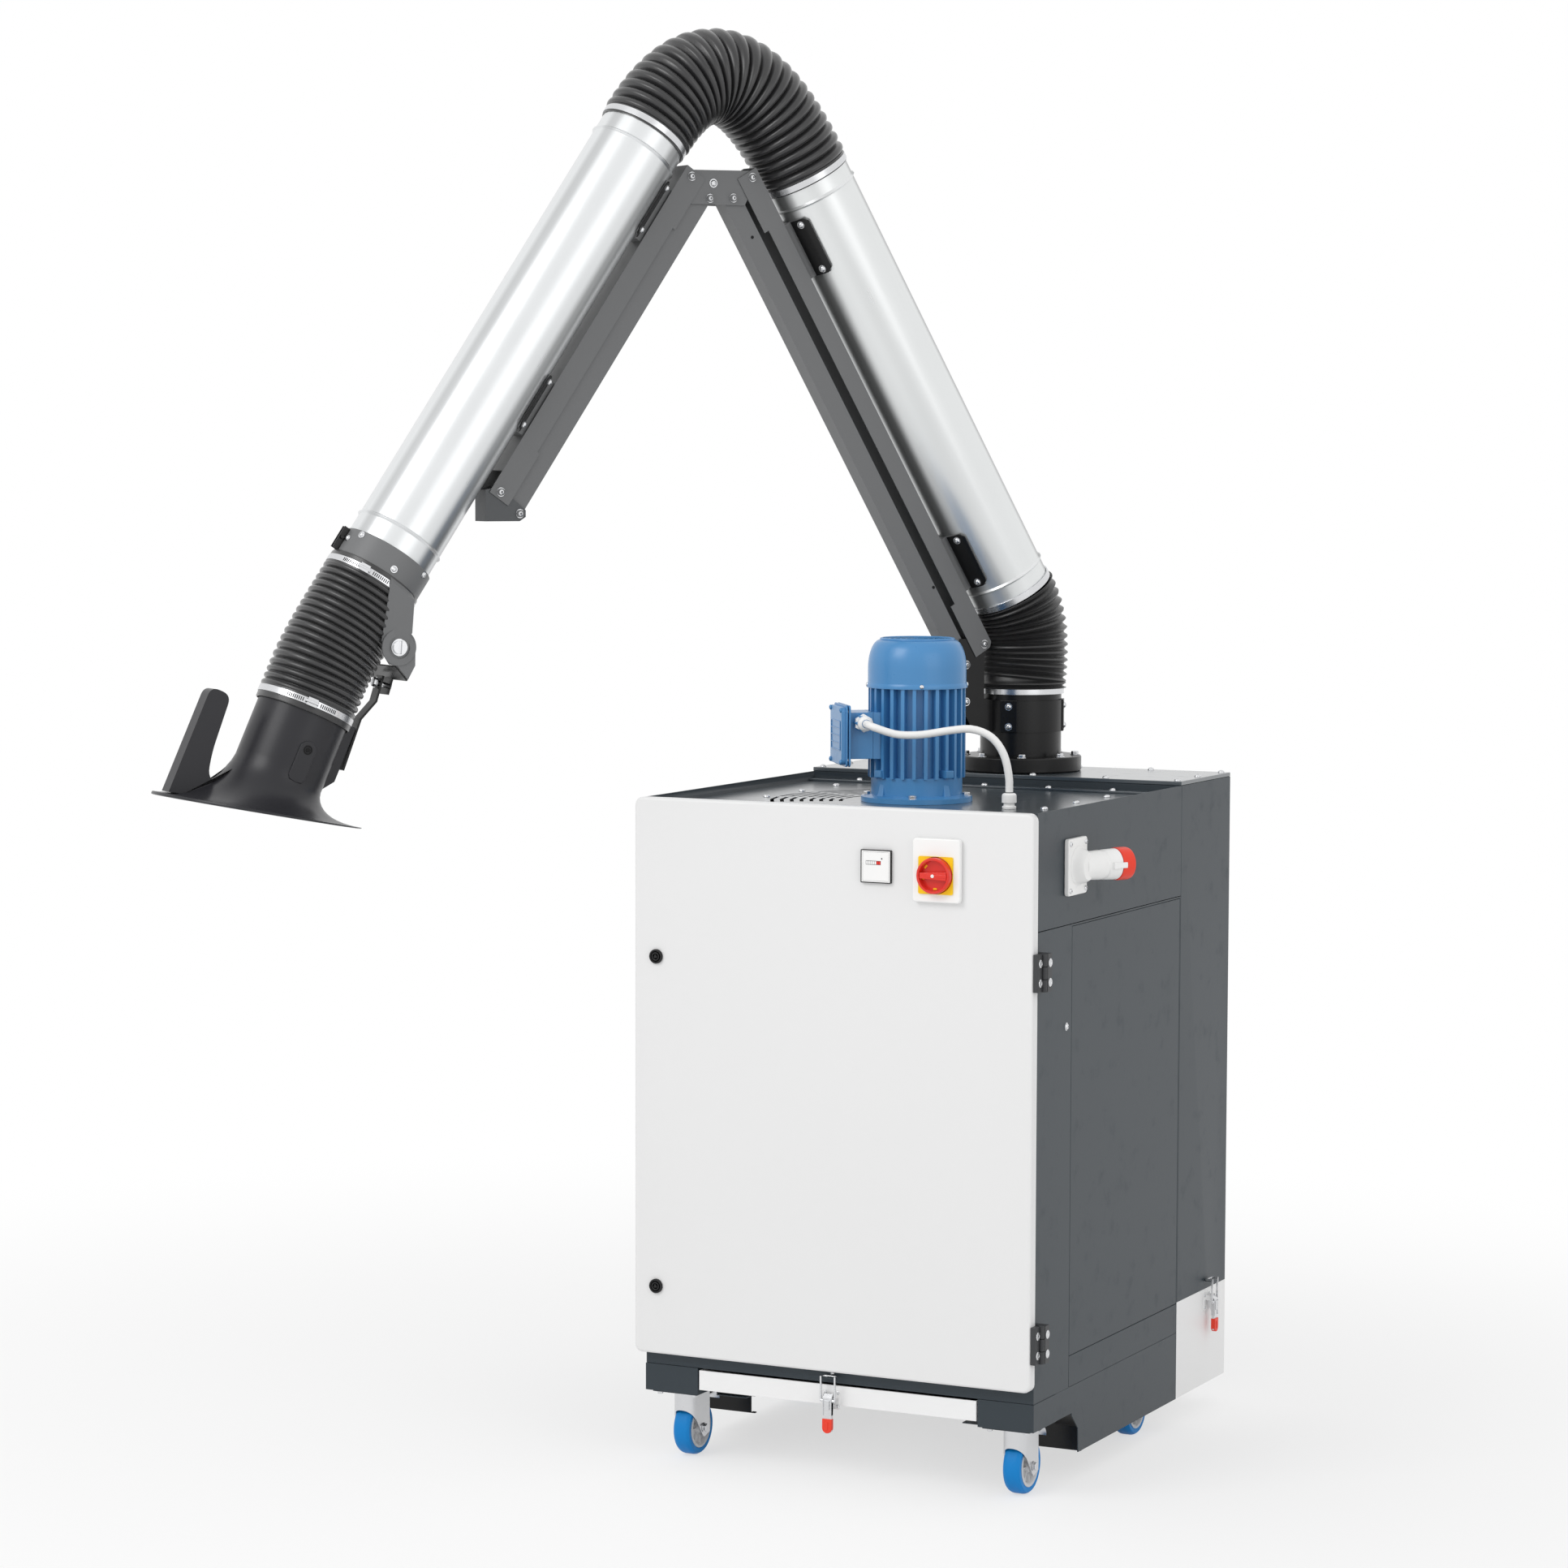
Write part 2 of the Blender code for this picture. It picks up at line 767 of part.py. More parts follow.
def make_base_frame():
    half = cabinet_half
    over = cut_overrun
    rail_in = half - rail_width
    base = node(
        "base_frame",
        box(-half, half, 0, front_bay_depth, frame_bottom, frame_top),
        slate_paint,
    )
    cut(
        base,
        box(-rail_in, rail_in, -over, front_bay_depth - rail_width, frame_bottom - over, frame_top + over),
    )
    box_in = half + corner_box_out - corner_box_width
    add(
        base,
        box(-half - corner_box_out, -box_in, -corner_box_out, corner_box_depth, frame_bottom, frame_top),
        box(box_in, half + corner_box_out, -corner_box_out, corner_box_depth, frame_bottom, frame_top),
    )
    for side in (-1, 1):
        outer = side * half
        inner = side * (half - sheet)
        add(base, prism(skirt_outline(), min(outer, inner), max(outer, inner), "X"))
    # channel runners that carry the tray, tied to the rails
    lip = tray_bottom - seat_gap
    low = lip - runner_height
    for edge, side in ((tray_left, -1), (tray_right, 1)):
        far = edge - side * runner_width
        wall = edge + side * slide_gap
        add(
            base,
            side_box(far, wall, runner_front, tray_depth, lip - sheet, lip),
            side_box(wall - side * sheet, wall, runner_front, tray_depth, low, lip),
            side_box(far, wall, runner_front, tray_depth, low, low + sheet),
            side_box(wall - side * sheet, side * (rail_in + sheet), runner_front, tray_depth, frame_bottom,
                     frame_bottom + sheet),
        )
        # mounting plates of the swivelling casters
        top = frame_bottom + sheet
        half_plate = caster_plate_size / 2
        stem = side * (half - caster_side)
        add(base, box(stem - half_plate, stem + half_plate, front_caster_depth - half_plate,
                      front_caster_depth + half_plate, caster_height - caster_plate, top))
    return base


def side_box(x0, x1, y0, y1, z0, z1):
    return box(min(x0, x1), max(x0, x1), y0, y1, z0, z1)


def vent_slots():
    """Arc slots round the motor, each row cut into sectors, kept inside the deck."""
    slots = []
    steps = 2
    for row in range(vent_rows):
        radius = vent_inner_radius + row * vent_row_pitch
        span = (vent_end - vent_start) / vent_sectors
        for sector in range(vent_sectors):
            start = vent_start + sector * span + vent_web / radius / 2
            end = start + span - vent_web / radius
            outer = arc((0, motor_depth), radius + vent_slot_width, start, end, steps)
            inner = arc((0, motor_depth), radius, end, start, steps)
            ring = outer + inner
            edge_x = cabinet_half - sheet - deck_flange - vent_slot_width
            edge_y = front_bay_depth - sheet - deck_flange - vent_slot_width
            if all(abs(x) < edge_x and sheet + deck_flange < y < edge_y for x, y in ring):
                slots.append(prism(ring, deck_bottom - cut_overrun, deck_top + cut_overrun))
    return slots


def make_deck():
    inside = cabinet_half - sheet - panel_seam
    deck = node(
        "deck_plate",
        box(-inside, inside, sheet + panel_seam, front_bay_depth - sheet - panel_seam, deck_bottom, deck_top),
        slate_paint,
    )
    cut(
        deck,
        moved(cylinder(shaft_radius + 10 * turn_gap, deck_bottom - cut_overrun, deck_top + cut_overrun),
              (0, motor_depth, 0)),
        gather(*vent_slots()),
    )


def make_rear_cover():
    low = cabinet_top + seat_gap
    cover = node(
        "rear_cover",
        box(-cabinet_half, cabinet_half, front_bay_depth - sheet, cabinet_depth, low, cover_top),
        slate_paint,
    )
    cut(
        cover,
        moved(cylinder(cover_hole_radius, low - cut_overrun, cover_top + cut_overrun), (0, column_depth, 0)),
    )


# Fan motor, its cable and the fan
def make_motor():
    base = deck_top + seat_gap
    fin_low = base + motor_flange + motor_foot
    fin_high = fin_low + motor_fin_height
    outline = []
    pitch = 2 * math.pi / motor_fins
    for i in range(motor_fins):
        for radius, share in ((motor_fin_root, 0.0), (motor_fin_root, 1 - motor_fin_share)):
            outline.append(tuple(polar((i + share) * pitch + motor_fin_turn, radius)))
        for radius, share in ((motor_fin_radius, 1 - motor_fin_share), (motor_fin_radius, 1.0)):
            outline.append(tuple(polar((i + share) * pitch + motor_fin_turn, radius)))
    body = node(
        "motor_body",
        turned([
            (motor_flange_radius, base),
            (motor_flange_radius, base + motor_flange),
            (motor_neck_radius, base + motor_flange + cut_overrun),
            (motor_neck_radius, fin_low),
            (motor_core_radius, fin_low),
            (motor_core_radius, fin_high),
            (motor_bore_radius, fin_high),
            (motor_bore_radius, base),
        ]),
        motor_paint,
        location=(0, motor_depth, 0),
    )
    core = motor_bore_radius + motor_core_radius * motor_fin_share
    fins = prism(outline, fin_low - cut_overrun / 2, fin_high - seat_gap)
    add(body, carved(fins, cylinder(core, fin_low - 2 * cut_overrun, fin_high + cut_overrun)))
    # flat pad that the terminal box sits on
    half = terminal_inner / 2
    pad = box(core / 2, motor_pad_reach, -half, half, terminal_height - half, terminal_height + half)
    moved(pad, (0, 0, 0), terminal_heading)
    add(body, carved(pad, cylinder(core, fin_low, fin_high)))
    return smooth(body)


def make_cowl():
    low = deck_top + 2 * seat_gap + motor_flange + motor_foot + motor_fin_height
    high = low + cowl_height
    shoulder = cowl_radius - cowl_top_radius
    steps = 3
    outer = [(cowl_radius, low)]
    inner = [(cowl_radius - cowl_wall, low)]
    for i in range(steps + 1):
        angle = math.pi / 2 * i / steps
        rise = high - shoulder * cowl_round_share * (1 - math.sin(angle))
        outer.append((cowl_top_radius + shoulder * math.cos(angle), rise))
        inner.append((cowl_top_radius + shoulder * math.cos(angle) - cowl_wall, rise - cowl_wall))
    inner[-1] = (inner[-1][0], high - cowl_wall)
    axis = cowl_wall
    profile = outer + [(axis, high)] + [(axis, high - cowl_wall)] + inner[::-1]
    smooth(node("fan_cowl", turned(profile), motor_paint, location=(0, motor_depth, 0)))


def make_terminal_box():
    """Built with +X pointing out of the motor and +Y toward the cable gland."""
    half = terminal_size / 2
    root = motor_pad_reach + seat_gap
    lid = terminal_reach - terminal_lid
    inner = terminal_inner / 2
    piece = node(
        "terminal_box",
        box(root, lid + cut_overrun, -inner, inner, terminal_height - inner, terminal_height + inner),
        motor_paint,
        location=(0, motor_depth, 0),
        rotation=(0, 0, terminal_heading),
    )
    add(piece, prism(rounded_rectangle(-half, half, terminal_height - half, terminal_height + half,
                                       3 * terminal_lid_lap), lid, terminal_reach, "X"))
    add(piece, *terminal_gland())


def terminal_gland():
    along = motor_pad_reach + (terminal_reach - motor_pad_reach) * gland_along_share
    at = (along, 0, terminal_height + gland_rise)
    face = terminal_inner / 2
    body = along_y(cylinder(gland_radius, -face - gland_length, -face + cut_overrun, small_segments), at)
    nut = along_y(cylinder(gland_nut_radius, -face - gland_nut_length, -face + cut_overrun / 2, 6), at)
    return body, nut


def gland_mouth():
    """Where the cable leaves the motor's gland, and the way it faces, on the cabinet."""
    along = motor_pad_reach + (terminal_reach - motor_pad_reach) * gland_along_share
    out = terminal_inner / 2 + gland_length
    facing = polar(terminal_heading + math.pi / 2)
    place = Vector((0, motor_depth)) + polar(terminal_heading, along) + facing * out
    return Vector((place.x, place.y, terminal_height + gland_rise)), Vector((facing.x, facing.y, 0))


# The cable's route between its two glands, as points on the cabinet, chosen by hand
cable_route = (
    (-0.0150, 0.1740, 1.3310),
    (0.0199, 0.1882, 1.3188),
    (0.0489, 0.1971, 1.3169),
    (0.0772, 0.2058, 1.3193),
    (0.1163, 0.2177, 1.3262),
    (0.1511, 0.2284, 1.3294),
    (0.1800, 0.2373, 1.3202),
    (0.1992, 0.2431, 1.3023),
    (0.2120, 0.2471, 1.2756),
    (0.2180, 0.2490, 1.2425),
)


def smooth_through(points, per_span):
    """Points of a smooth curve through the given ones."""
    known = [Vector(p) for p in points]
    padded = [2 * known[0] - known[1]] + known + [2 * known[-1] - known[-2]]
    result = []
    for i in range(1, len(padded) - 2):
        p0, p1, p2, p3 = padded[i - 1:i + 3]
        for k in range(per_span):
            t = k / per_span
            result.append(0.5 * (2 * p1 + (p2 - p0) * t + (2 * p0 - 5 * p1 + 4 * p2 - p3) * t ** 2
                                 + (3 * p1 - p0 - 3 * p2 + p3) * t ** 3))
    result.append(known[-1])
    return result


def cable(name, points, radius, material, sides=12):
    """A round cable swept along points, with its ends closed."""
    ways = [(b - a).normalized() for a, b in zip([points[0]] + points[:-1], points[1:] + [points[-1]])]
    side = ways[0].orthogonal().normalized()
    rings = []
    for point, way in zip(points, ways):
        side = (side - way * side.dot(way)).normalized()
        over = way.cross(side)
        rings.append([
            point + (side * math.cos(turn) + over * math.sin(turn)) * radius
            for turn in (2 * math.pi * i / sides for i in range(sides))
        ])
    return smooth(node(name, lofted(rings, capped=True), material))


def make_cable():
    mouth, facing = gland_mouth()
    start = mouth + facing * turn_gap
    end = Vector((deck_gland_x, deck_gland_y, deck_top + seat_gap + deck_gland_height + turn_gap))
    rise = Vector((0, 0, cable_radius))
    points = [start + facing * cable_radius] + [Vector(p) for p in cable_route] + [end + rise]
    points = [start] + smooth_through(points, 2) + [end]
    cable("motor_cable", points, cable_radius, white_plastic)


def make_deck_gland():
    low = deck_top + seat_gap
    piece = node(
        "deck_gland",
        cylinder(deck_gland_radius, low, low + deck_gland_height, small_segments),
        white_plastic,
        location=(deck_gland_x, deck_gland_y, 0),
    )
    top = low + deck_gland_height
    add(piece, cylinder(deck_gland_nut_radius, low, low + deck_gland_foot, 6))
    add(piece, cylinder(deck_gland_nut_radius, low + deck_gland_nut_low, top, 6))


def make_fan():
    top = deck_top + seat_gap + motor_flange + motor_foot + motor_fin_height
    low = deck_top - shaft_below_deck
    at = (0, motor_depth, 0)
    plate_top = deck_bottom - impeller_below_deck
    eye = plate_top - impeller_height
    fan = node("impeller", cylinder(shaft_radius, low, top + shaft_above_fins, small_segments), galvanised,
               location=at)
    hub = cylinder(impeller_hub_radius, plate_top - impeller_hub_height, plate_top - impeller_plate / 2,
                   small_segments)
    add(fan, hub)
    add(fan, cylinder(impeller_radius, plate_top - impeller_plate, plate_top))
    add(fan, pipe(impeller_eye_radius, impeller_radius, eye, eye + impeller_plate))
    length = impeller_radius - impeller_eye_radius - 2 * impeller_plate
    for i in range(impeller_blades):
        blade = box(-length / 2, length / 2, -impeller_plate / 2, impeller_plate / 2,
                    eye + impeller_plate / 2, plate_top - impeller_plate / 2)
        moved(blade, ((impeller_eye_radius + impeller_radius) / 2, 0, 0), impeller_blade_angle)
        moved(blade, (0, 0, 0), 2 * math.pi * i / impeller_blades)
        add(fan, blade)


def make_filter():
    top = fan_floor - seat_gap
    low = top - filter_length
    smooth(node(
        "filter_cartridge",
        turned([
            (filter_radius, low), (filter_radius, top), (filter_bore_radius, top),
            (filter_bore_radius, low + filter_cap), (impeller_plate, low + filter_cap), (impeller_plate, low),
        ]),
        filter_paper,
        location=(0, motor_depth, 0),
    ))


# Power inlet
def make_inlet():
    at = (cabinet_half + seat_gap, inlet_depth, inlet_height)
    half_w, half_h = inlet_plate_width / 2, inlet_plate_height / 2
    piece = node(
        "power_inlet",
        prism(rounded_rectangle(-half_w, half_w, -half_h, half_h, inlet_plate / 2), 0, inlet_plate, "X"),
        white_plastic,
        location=at,
    )

    def tilted(shape):
        moved(shape, (0, 0, 0), math.pi / 2, "Y")
        return moved(shape, (inlet_plate, 0, 0), inlet_tilt)

    lean = inlet_barrel_radius * math.tan(inlet_tilt) * 0.5
    add(piece, along_x(cylinder(inlet_boss_radius, inlet_plate / 2, 2.6 * inlet_plate)))
    add(piece, tilted(cylinder(inlet_barrel_radius, 0, inlet_reach - inlet_shroud_length / 2)))
    add(piece, tilted(cylinder(inlet_shroud_radius, inlet_reach - inlet_shroud_length, inlet_reach)))
    cut(piece, box(-lean - inlet_plate_width, 0, -2 * half_w, 2 * half_w, -2 * half_h, 2 * half_h))
    cut(piece, tilted(cylinder(inlet_bore_radius, inlet_reach - inlet_bore_depth, inlet_reach + cut_overrun)))
    smooth(piece)


# Door and what it carries
def make_door():
    left = -cabinet_half - door_left_reach
    right = cabinet_half + door_right_reach
    outline = rounded_rectangle(left, right, door_bottom, cabinet_top, door_corner)
    back = -seat_gap
    door = node("door_panel", prism(outline, door_face, back, "Y"), white_paint)
    round_over(door, door_face)
    skin = door_skin
    pocket = rounded_rectangle(left + skin, right - skin, door_bottom + skin, cabinet_top - skin, door_corner - skin)
    cut(door, prism(pocket, door_face + skin, back + cut_overrun, "Y"))
    lock_x = -cabinet_half + lock_inset - door_left_reach
    holes = [
        along_y(cylinder(lock_shank_radius + turn_gap, -cut_overrun, door_depth + cut_overrun, small_segments),
                (lock_x, 0, height))
        for height in (upper_lock_height, lower_lock_height)
    ]
    for x, z, size in (
        (meter_place_x, meter_place_z, meter_body_size),
        (switch_place_x, switch_place_z, switch_body_size),
    ):
        reach = size / 2 + turn_gap
        holes.append(box(x - reach, x + reach, door_face - cut_overrun, 0, z - reach, z + reach))
    cut(door, gather(*holes))
    smooth(door)


def round_over(piece, front):
    """Rounds the edges round the door's face."""
    shape = bmesh.new()
    shape.from_mesh(piece.data)
    chosen = [
        e for e in shape.edges if all(abs(v.co.y - front) < seat_gap for v in e.verts)
    ]
    bmesh.ops.bevel(shape, geom=chosen, offset=door_edge_round, segments=3, affect="EDGES", profile=0.5)
    shape.to_mesh(piece.data)
    shape.free()


def make_hinge(label, height):
    """A block hinge on the edge: one block on the door's side, one on the cabinet's side, three knuckles."""
    low, high = height - hinge_height / 2, height + hinge_height / 2
    third = hinge_height / 3
    barrel, pin = hinge_barrel_radius, hinge_pin_radius
    pin_x, pin_y = cabinet_half + hinge_pin_out, hinge_pin_depth
    knuckle_low, knuckle_high = low + third, high - third

    def round_pin(radius, start, stop, segments=small_segments):
        return moved(cylinder(radius, start, stop, segments), (pin_x, pin_y, 0))

    side = cabinet_half + door_right_reach + seat_gap
    door_leaf = node(
        f"{label}_hinge_door_leaf",
        box(side, side + hinge_door_block, door_face, -hinge_split, low + seat_gap, high - seat_gap),
        black_plastic,
    )
    add(door_leaf, round_pin(barrel, low, knuckle_low - turn_gap), round_pin(barrel, knuckle_high + turn_gap, high))
    cut(door_leaf, round_pin(barrel + turn_gap, knuckle_low - turn_gap / 2, knuckle_high + turn_gap / 2))
    add(door_leaf, round_pin(pin, low + third / 2, high - third / 2, pin_segments))
    root = cabinet_half + seat_gap
    body_leaf = node(
        f"{label}_hinge_body_leaf",
        box(root, cabinet_half + hinge_body_block, hinge_split, hinge_split + hinge_body_reach, low, high),
        black_plastic,
    )
    cut(body_leaf, round_pin(barrel + turn_gap, low - turn_gap, knuckle_low + turn_gap / 2),
        round_pin(barrel + turn_gap, knuckle_high - turn_gap / 2, high + turn_gap))
    add(body_leaf, round_pin(barrel, knuckle_low + turn_gap, knuckle_high - turn_gap))
    cut(body_leaf, round_pin(pin + turn_gap, low, high, pin_segments))


def make_lock(label, height):
    x = -cabinet_half + lock_inset - door_left_reach
    face = door_face - seat_gap
    inner = door_face + door_skin
    lock = node(
        f"{label}_door_lock",
        along_y(cylinder(lock_radius, 0, lock_face, small_segments)),
        black_plastic,
        location=(x, face, height),
    )
    add(lock, along_y(cylinder(lock_shank_radius, -(inner - face) - 3 * lock_face + sheet, sheet / 2, small_segments)))
    behind = inner - face + sheet
    add(lock, box(-lock_cam_width / 2, lock_cam_width / 2, behind, behind + lock_face, -lock_cam_width / 2,
                  lock_cam_length))
    cut(lock, along_y(cylinder(lock_shank_radius / 2, lock_face / 2, lock_face + cut_overrun, 3)))


def make_instruments():
    face = door_face - seat_gap
    x, z = meter_place_x, meter_place_z
    half, body = meter_size / 2, meter_body_size / 2
    meter = node("hour_meter", box(x - half, x + half, face - meter_bezel, face, z - half, z + half), white_plastic)
    add(meter, box(x - body, x + body, face - sheet, face + meter_body_depth, z - body, z + body))
    x, z = switch_place_x, switch_place_z
    half_w, half_h, body = switch_width / 2, switch_height / 2, switch_body_size / 2
    plate_front = face - switch_thickness
    switch = node(
        "switch_plate",
        prism(rounded_rectangle(x - half_w, x + half_w, z - half_h, z + half_h, door_corner / 4), plate_front, face,
              "Y"),
        white_plastic,
    )
    knob_z = z - switch_yellow_drop
    yellow = switch_yellow / 2
    add(switch, box(x - body, x + body, face - sheet, face + switch_body_depth, z - body, z + body))
    add(switch, box(x - yellow, x + yellow, plate_front - switch_yellow_thickness, face - sheet,
                    knob_z - yellow, knob_z + yellow))
    cut(switch, along_y(cylinder(knob_shaft_radius + turn_gap, -face - cut_overrun,
                                 switch_thickness - face + 2 * cut_overrun, small_segments), (x, 0, knob_z)))
    seat = switch_thickness + switch_yellow_thickness + seat_gap
    knob = node(
        "switch_knob",
        along_y(cylinder(knob_radius, seat, seat + knob_thickness)),
        red_plastic,
        location=(x, face, knob_z),
    )
    grip = knob_grip_width / 2
    front = -seat - knob_thickness
    add(knob, box(-knob_grip_length / 2, knob_grip_length / 2, front - knob_grip_height, front + sheet, -grip, grip))
    add(knob, along_y(cylinder(knob_shaft_radius, sheet, seat + sheet, small_segments)))
    smooth(knob)


# Dust tray, rear bin and their toggle latches
def make_tray():
    wall = sheet
    tray = node(
        "dust_tray",
        box(tray_left, tray_right, -tray_front_out, tray_depth, tray_bottom, tray_top),
        white_paint,
    )
    cut(tray, box(tray_left + wall, tray_right - wall, wall, tray_depth - wall, tray_bottom + wall,
                  tray_top + cut_overrun))
    add(tray, *latch_plate(tray_latch_x, tray_pivot_height, -tray_front_out))


def make_bin():
    wall = sheet
    half = cabinet_half
    top = rear_bay_bottom - seat_gap
    front = front_bay_depth + seat_gap
    piece = node("rear_bin", box(-half, half, front, cabinet_depth, bin_bottom, top), white_paint)
    cut(piece, box(-half + wall, half - wall, front + wall, cabinet_depth - wall, bin_bottom + wall,
                   top + cut_overrun))
    shapes = latch_plate(0, bin_pivot_height, 0)
    for shape in shapes:
        moved(shape, (half, bin_latch_depth, 0), math.pi / 2)
    add(piece, *shapes)


def latch_plate(x, height, face):
    """Base plate with two ears that carry the lever's pivot; it faces -Y."""
    half = latch_plate_width / 2
    ear = latch_lever_width / 2 + 2 * turn_gap
    out = face - latch_pivot_out
    thin = latch_lever_thickness * 0.7
    top = height + latch_plate_height / 4
    shapes = [box(x - half, x + half, face - thin, face + sheet / 2, height - latch_plate_height * 3 / 4, top)]
    for side in (-1, 1):
        a, b = x + side * ear, x + side * (ear + thin)
        shapes.append(box(min(a, b), max(a, b), out - latch_wire * 2, face - thin / 2, height - latch_wire * 3,
                          height + latch_wire * 3))
    shapes.append(along_x(cylinder(latch_wire, -ear - thin / 2, ear + thin / 2, pin_segments), (x, out, height)))
    return shapes


def latch_shapes():
    """Lever and bail of a toggle latch, round its lever pivot, facing -Y."""
    half = latch_lever_width / 2
    thin = latch_lever_thickness
    bail_y, bail_z = -latch_bail_out, -latch_drop
    outline = [
        (thin * 1.3, thin), (thin * 1.3, -latch_drop - thin), (bail_y + thin, -latch_lever_length * 0.45),
        (bail_y + thin / 2, -latch_lever_length), (bail_y - thin, -latch_lever_length),
        (bail_y - thin, -thin), (-thin, thin * 1.3),
    ]
    return outline, half, bail_y, bail_z


def make_latch(label, parent, keeper_height, pivot_height, keeper_gap):
    outline, half, bail_y, bail_z = latch_shapes()
    lever = node(f"{label}_latch_lever", prism(outline, -half, half, "X"), bright_zinc, parent=parent)
    cut(
        lever,
        along_x(cylinder(latch_wire + turn_gap, -2 * half, 2 * half, pin_segments)),
        along_x(cylinder(latch_wire + turn_gap, -2 * half, 2 * half, pin_segments), (0, bail_y, bail_z)),
    )
    # wire loop from the lever up to the keeper, bent in over it
    rise = keeper_height - pivot_height + keeper_gap + latch_wire
    side = latch_bail_width / 2 + 2 * latch_wire
    inward = latch_pivot_out - keeper_reach / 2
    rods = [
        along_x(cylinder(latch_wire, -side, side, 8), (0, bail_y, bail_z)),
        along_x(cylinder(latch_wire, -side, side, 8), (0, inward, rise)),
    ]
    bail = node(f"{label}_latch_bail", rods[0], bright_zinc, parent=parent)
    reach = latch_wire
    for edge in (-side, side):
        add(bail, box(edge - reach, edge + reach, bail_y - reach, bail_y + reach, bail_z - reach, rise + reach))
        add(bail, box(edge - reach, edge + reach, bail_y - reach, inward + reach,
                      rise - reach, rise + reach))
    add(bail, rods[1])


# Casters
def caster_frame(label, x, y, z=0.0):
    return frame(label, cabinet_frame, (x, y, z))


def fork_shape(trail, swivels):
    """A pressed fork round its wheel, with the wheel behind the stem by the trail."""
    top = caster_height - seat_gap
    under = top - caster_plate
    half = caster_plate_size / 2
    crown = wheel_radius * 2 + 2 * swivel_gap
    inner, outer = fork_inner_half, fork_inner_half + fork_thickness
    crown_front = min(-fork_width / 2, trail - fork_width / 2)
    crown_back = trail + (brake_pivot_behind + axle_radius if swivels else fork_width / 2)
    return top, under, half, crown, inner, outer, crown_front, crown_back


def wheel_profile():
    """Half of the wheel with its axle, then the same mirrored."""
    half = [
        (axle_radius, axle_half_length), (axle_radius, wheel_recess), (wheel_core_radius, wheel_recess),
        (wheel_core_radius, wheel_width / 2), (wheel_shoulder_radius, wheel_width / 2),
        (wheel_radius, wheel_tread / 2),
    ]
    return [(r, -z) for r, z in half] + half[::-1]


def make_caster(label, x, y, trail, braked):
    top, under, half, crown, inner, outer, front, back = fork_shape(trail, braked)
    stem = caster_frame(f"{label}_caster_frame", x, y)
    fork = node(
        f"{label}_fork",
        box(-outer, outer, front, back, crown, crown + fork_thickness),
        bright_zinc,
        parent=stem,
    )
    cheek = [
        (front, crown + fork_thickness), (front, crown - fork_width / 4),
        (trail - axle_radius * 2, wheel_radius - axle_radius * 2), (trail + axle_radius * 2, wheel_radius - axle_radius * 2),
        (back, crown - fork_width / 4), (back, crown + fork_thickness),
    ]
    add(fork, prism(cheek, -outer, -inner, "X"), prism(cheek, inner, outer, "X"))
    if braked:
        add(fork, cylinder(fork_neck_radius, crown + fork_thickness / 2, under - seat_gap))
    else:
        add(fork, cylinder(fork_neck_radius, crown + fork_thickness / 2, under + sheet))
        add(fork, box(-half, half, -half, half, under, top))
    bore = along_x(cylinder(axle_radius + turn_gap, -2 * outer, 2 * outer, small_segments), (0, trail, wheel_radius))
    cut(fork, bore)
    wheel = node(
        f"{label}_wheel",
        turned(wheel_profile(), wheel_segments, solid=True),
        blue_tyre,
        parent=stem,
        location=(0, trail, wheel_radius),
        rotation=(0, math.pi / 2, 0),
    )
    smooth(wheel)
    if braked:
        make_brake(label, stem, trail)


def make_brake(label, stem, trail):
    at = (0, trail + brake_pivot_behind, brake_pivot_height)
    half = brake_width / 2
    thin = brake_thickness
    pivot = fork_inner_half - turn_gap
    pedal = node(
        f"{label}_brake_pedal",
        along_x(cylinder(thin, -pivot, pivot, pin_segments)),
        bright_zinc,
        parent=stem,
        location=at,
    )
    outline = [
        (0, -thin / 2), (brake_length * 0.6, -thin / 2 + thin), (brake_length, thin * 2.4),
        (brake_length, thin * 3.4), (brake_length * 0.6, thin * 1.6), (0, thin / 2),
    ]
    add(pedal, prism(outline, -half, half, "X"))


# Arm: column, beams, tubes and brackets
def hole_at(x, z, radius=pin_radius + turn_gap):
    reach = 4 * beam_half
    return along_y(cylinder(radius, -reach, reach, pin_segments), (x, 0, z))


def pin_at(x, z, seat):
    """A pin through a link, with a head on each side that starts at the seat."""
    end = seat + pin_head
    return [
        along_y(cylinder(pin_radius, -end + sheet, end - sheet, pin_segments), (x, 0, z)),
        along_y(cylinder(pin_head_radius, seat, end, pin_segments), (x, 0, z)),
        along_y(cylinder(pin_head_radius, -end, -seat, pin_segments), (x, 0, z)),
    ]


def make_swivel():
    low = cover_top + seat_gap
    ring = node(
        "swivel_ring",
        turned([
            (ring_radius - sheet, low), (ring_radius, low + sheet), (ring_radius, low + ring_height - sheet),
            (ring_radius - sheet, low + ring_height), (pipe_radius + turn_gap, low + ring_height),
            (pipe_radius + turn_gap, low),
        ]),
        black_paint,
        parent=arm_frame,
    )
    smooth(ring)
    smooth(node("column_pipe", pipe(pipe_radius - pipe_wall, pipe_radius, low, pipe_top), black_paint,
                parent=arm_frame))


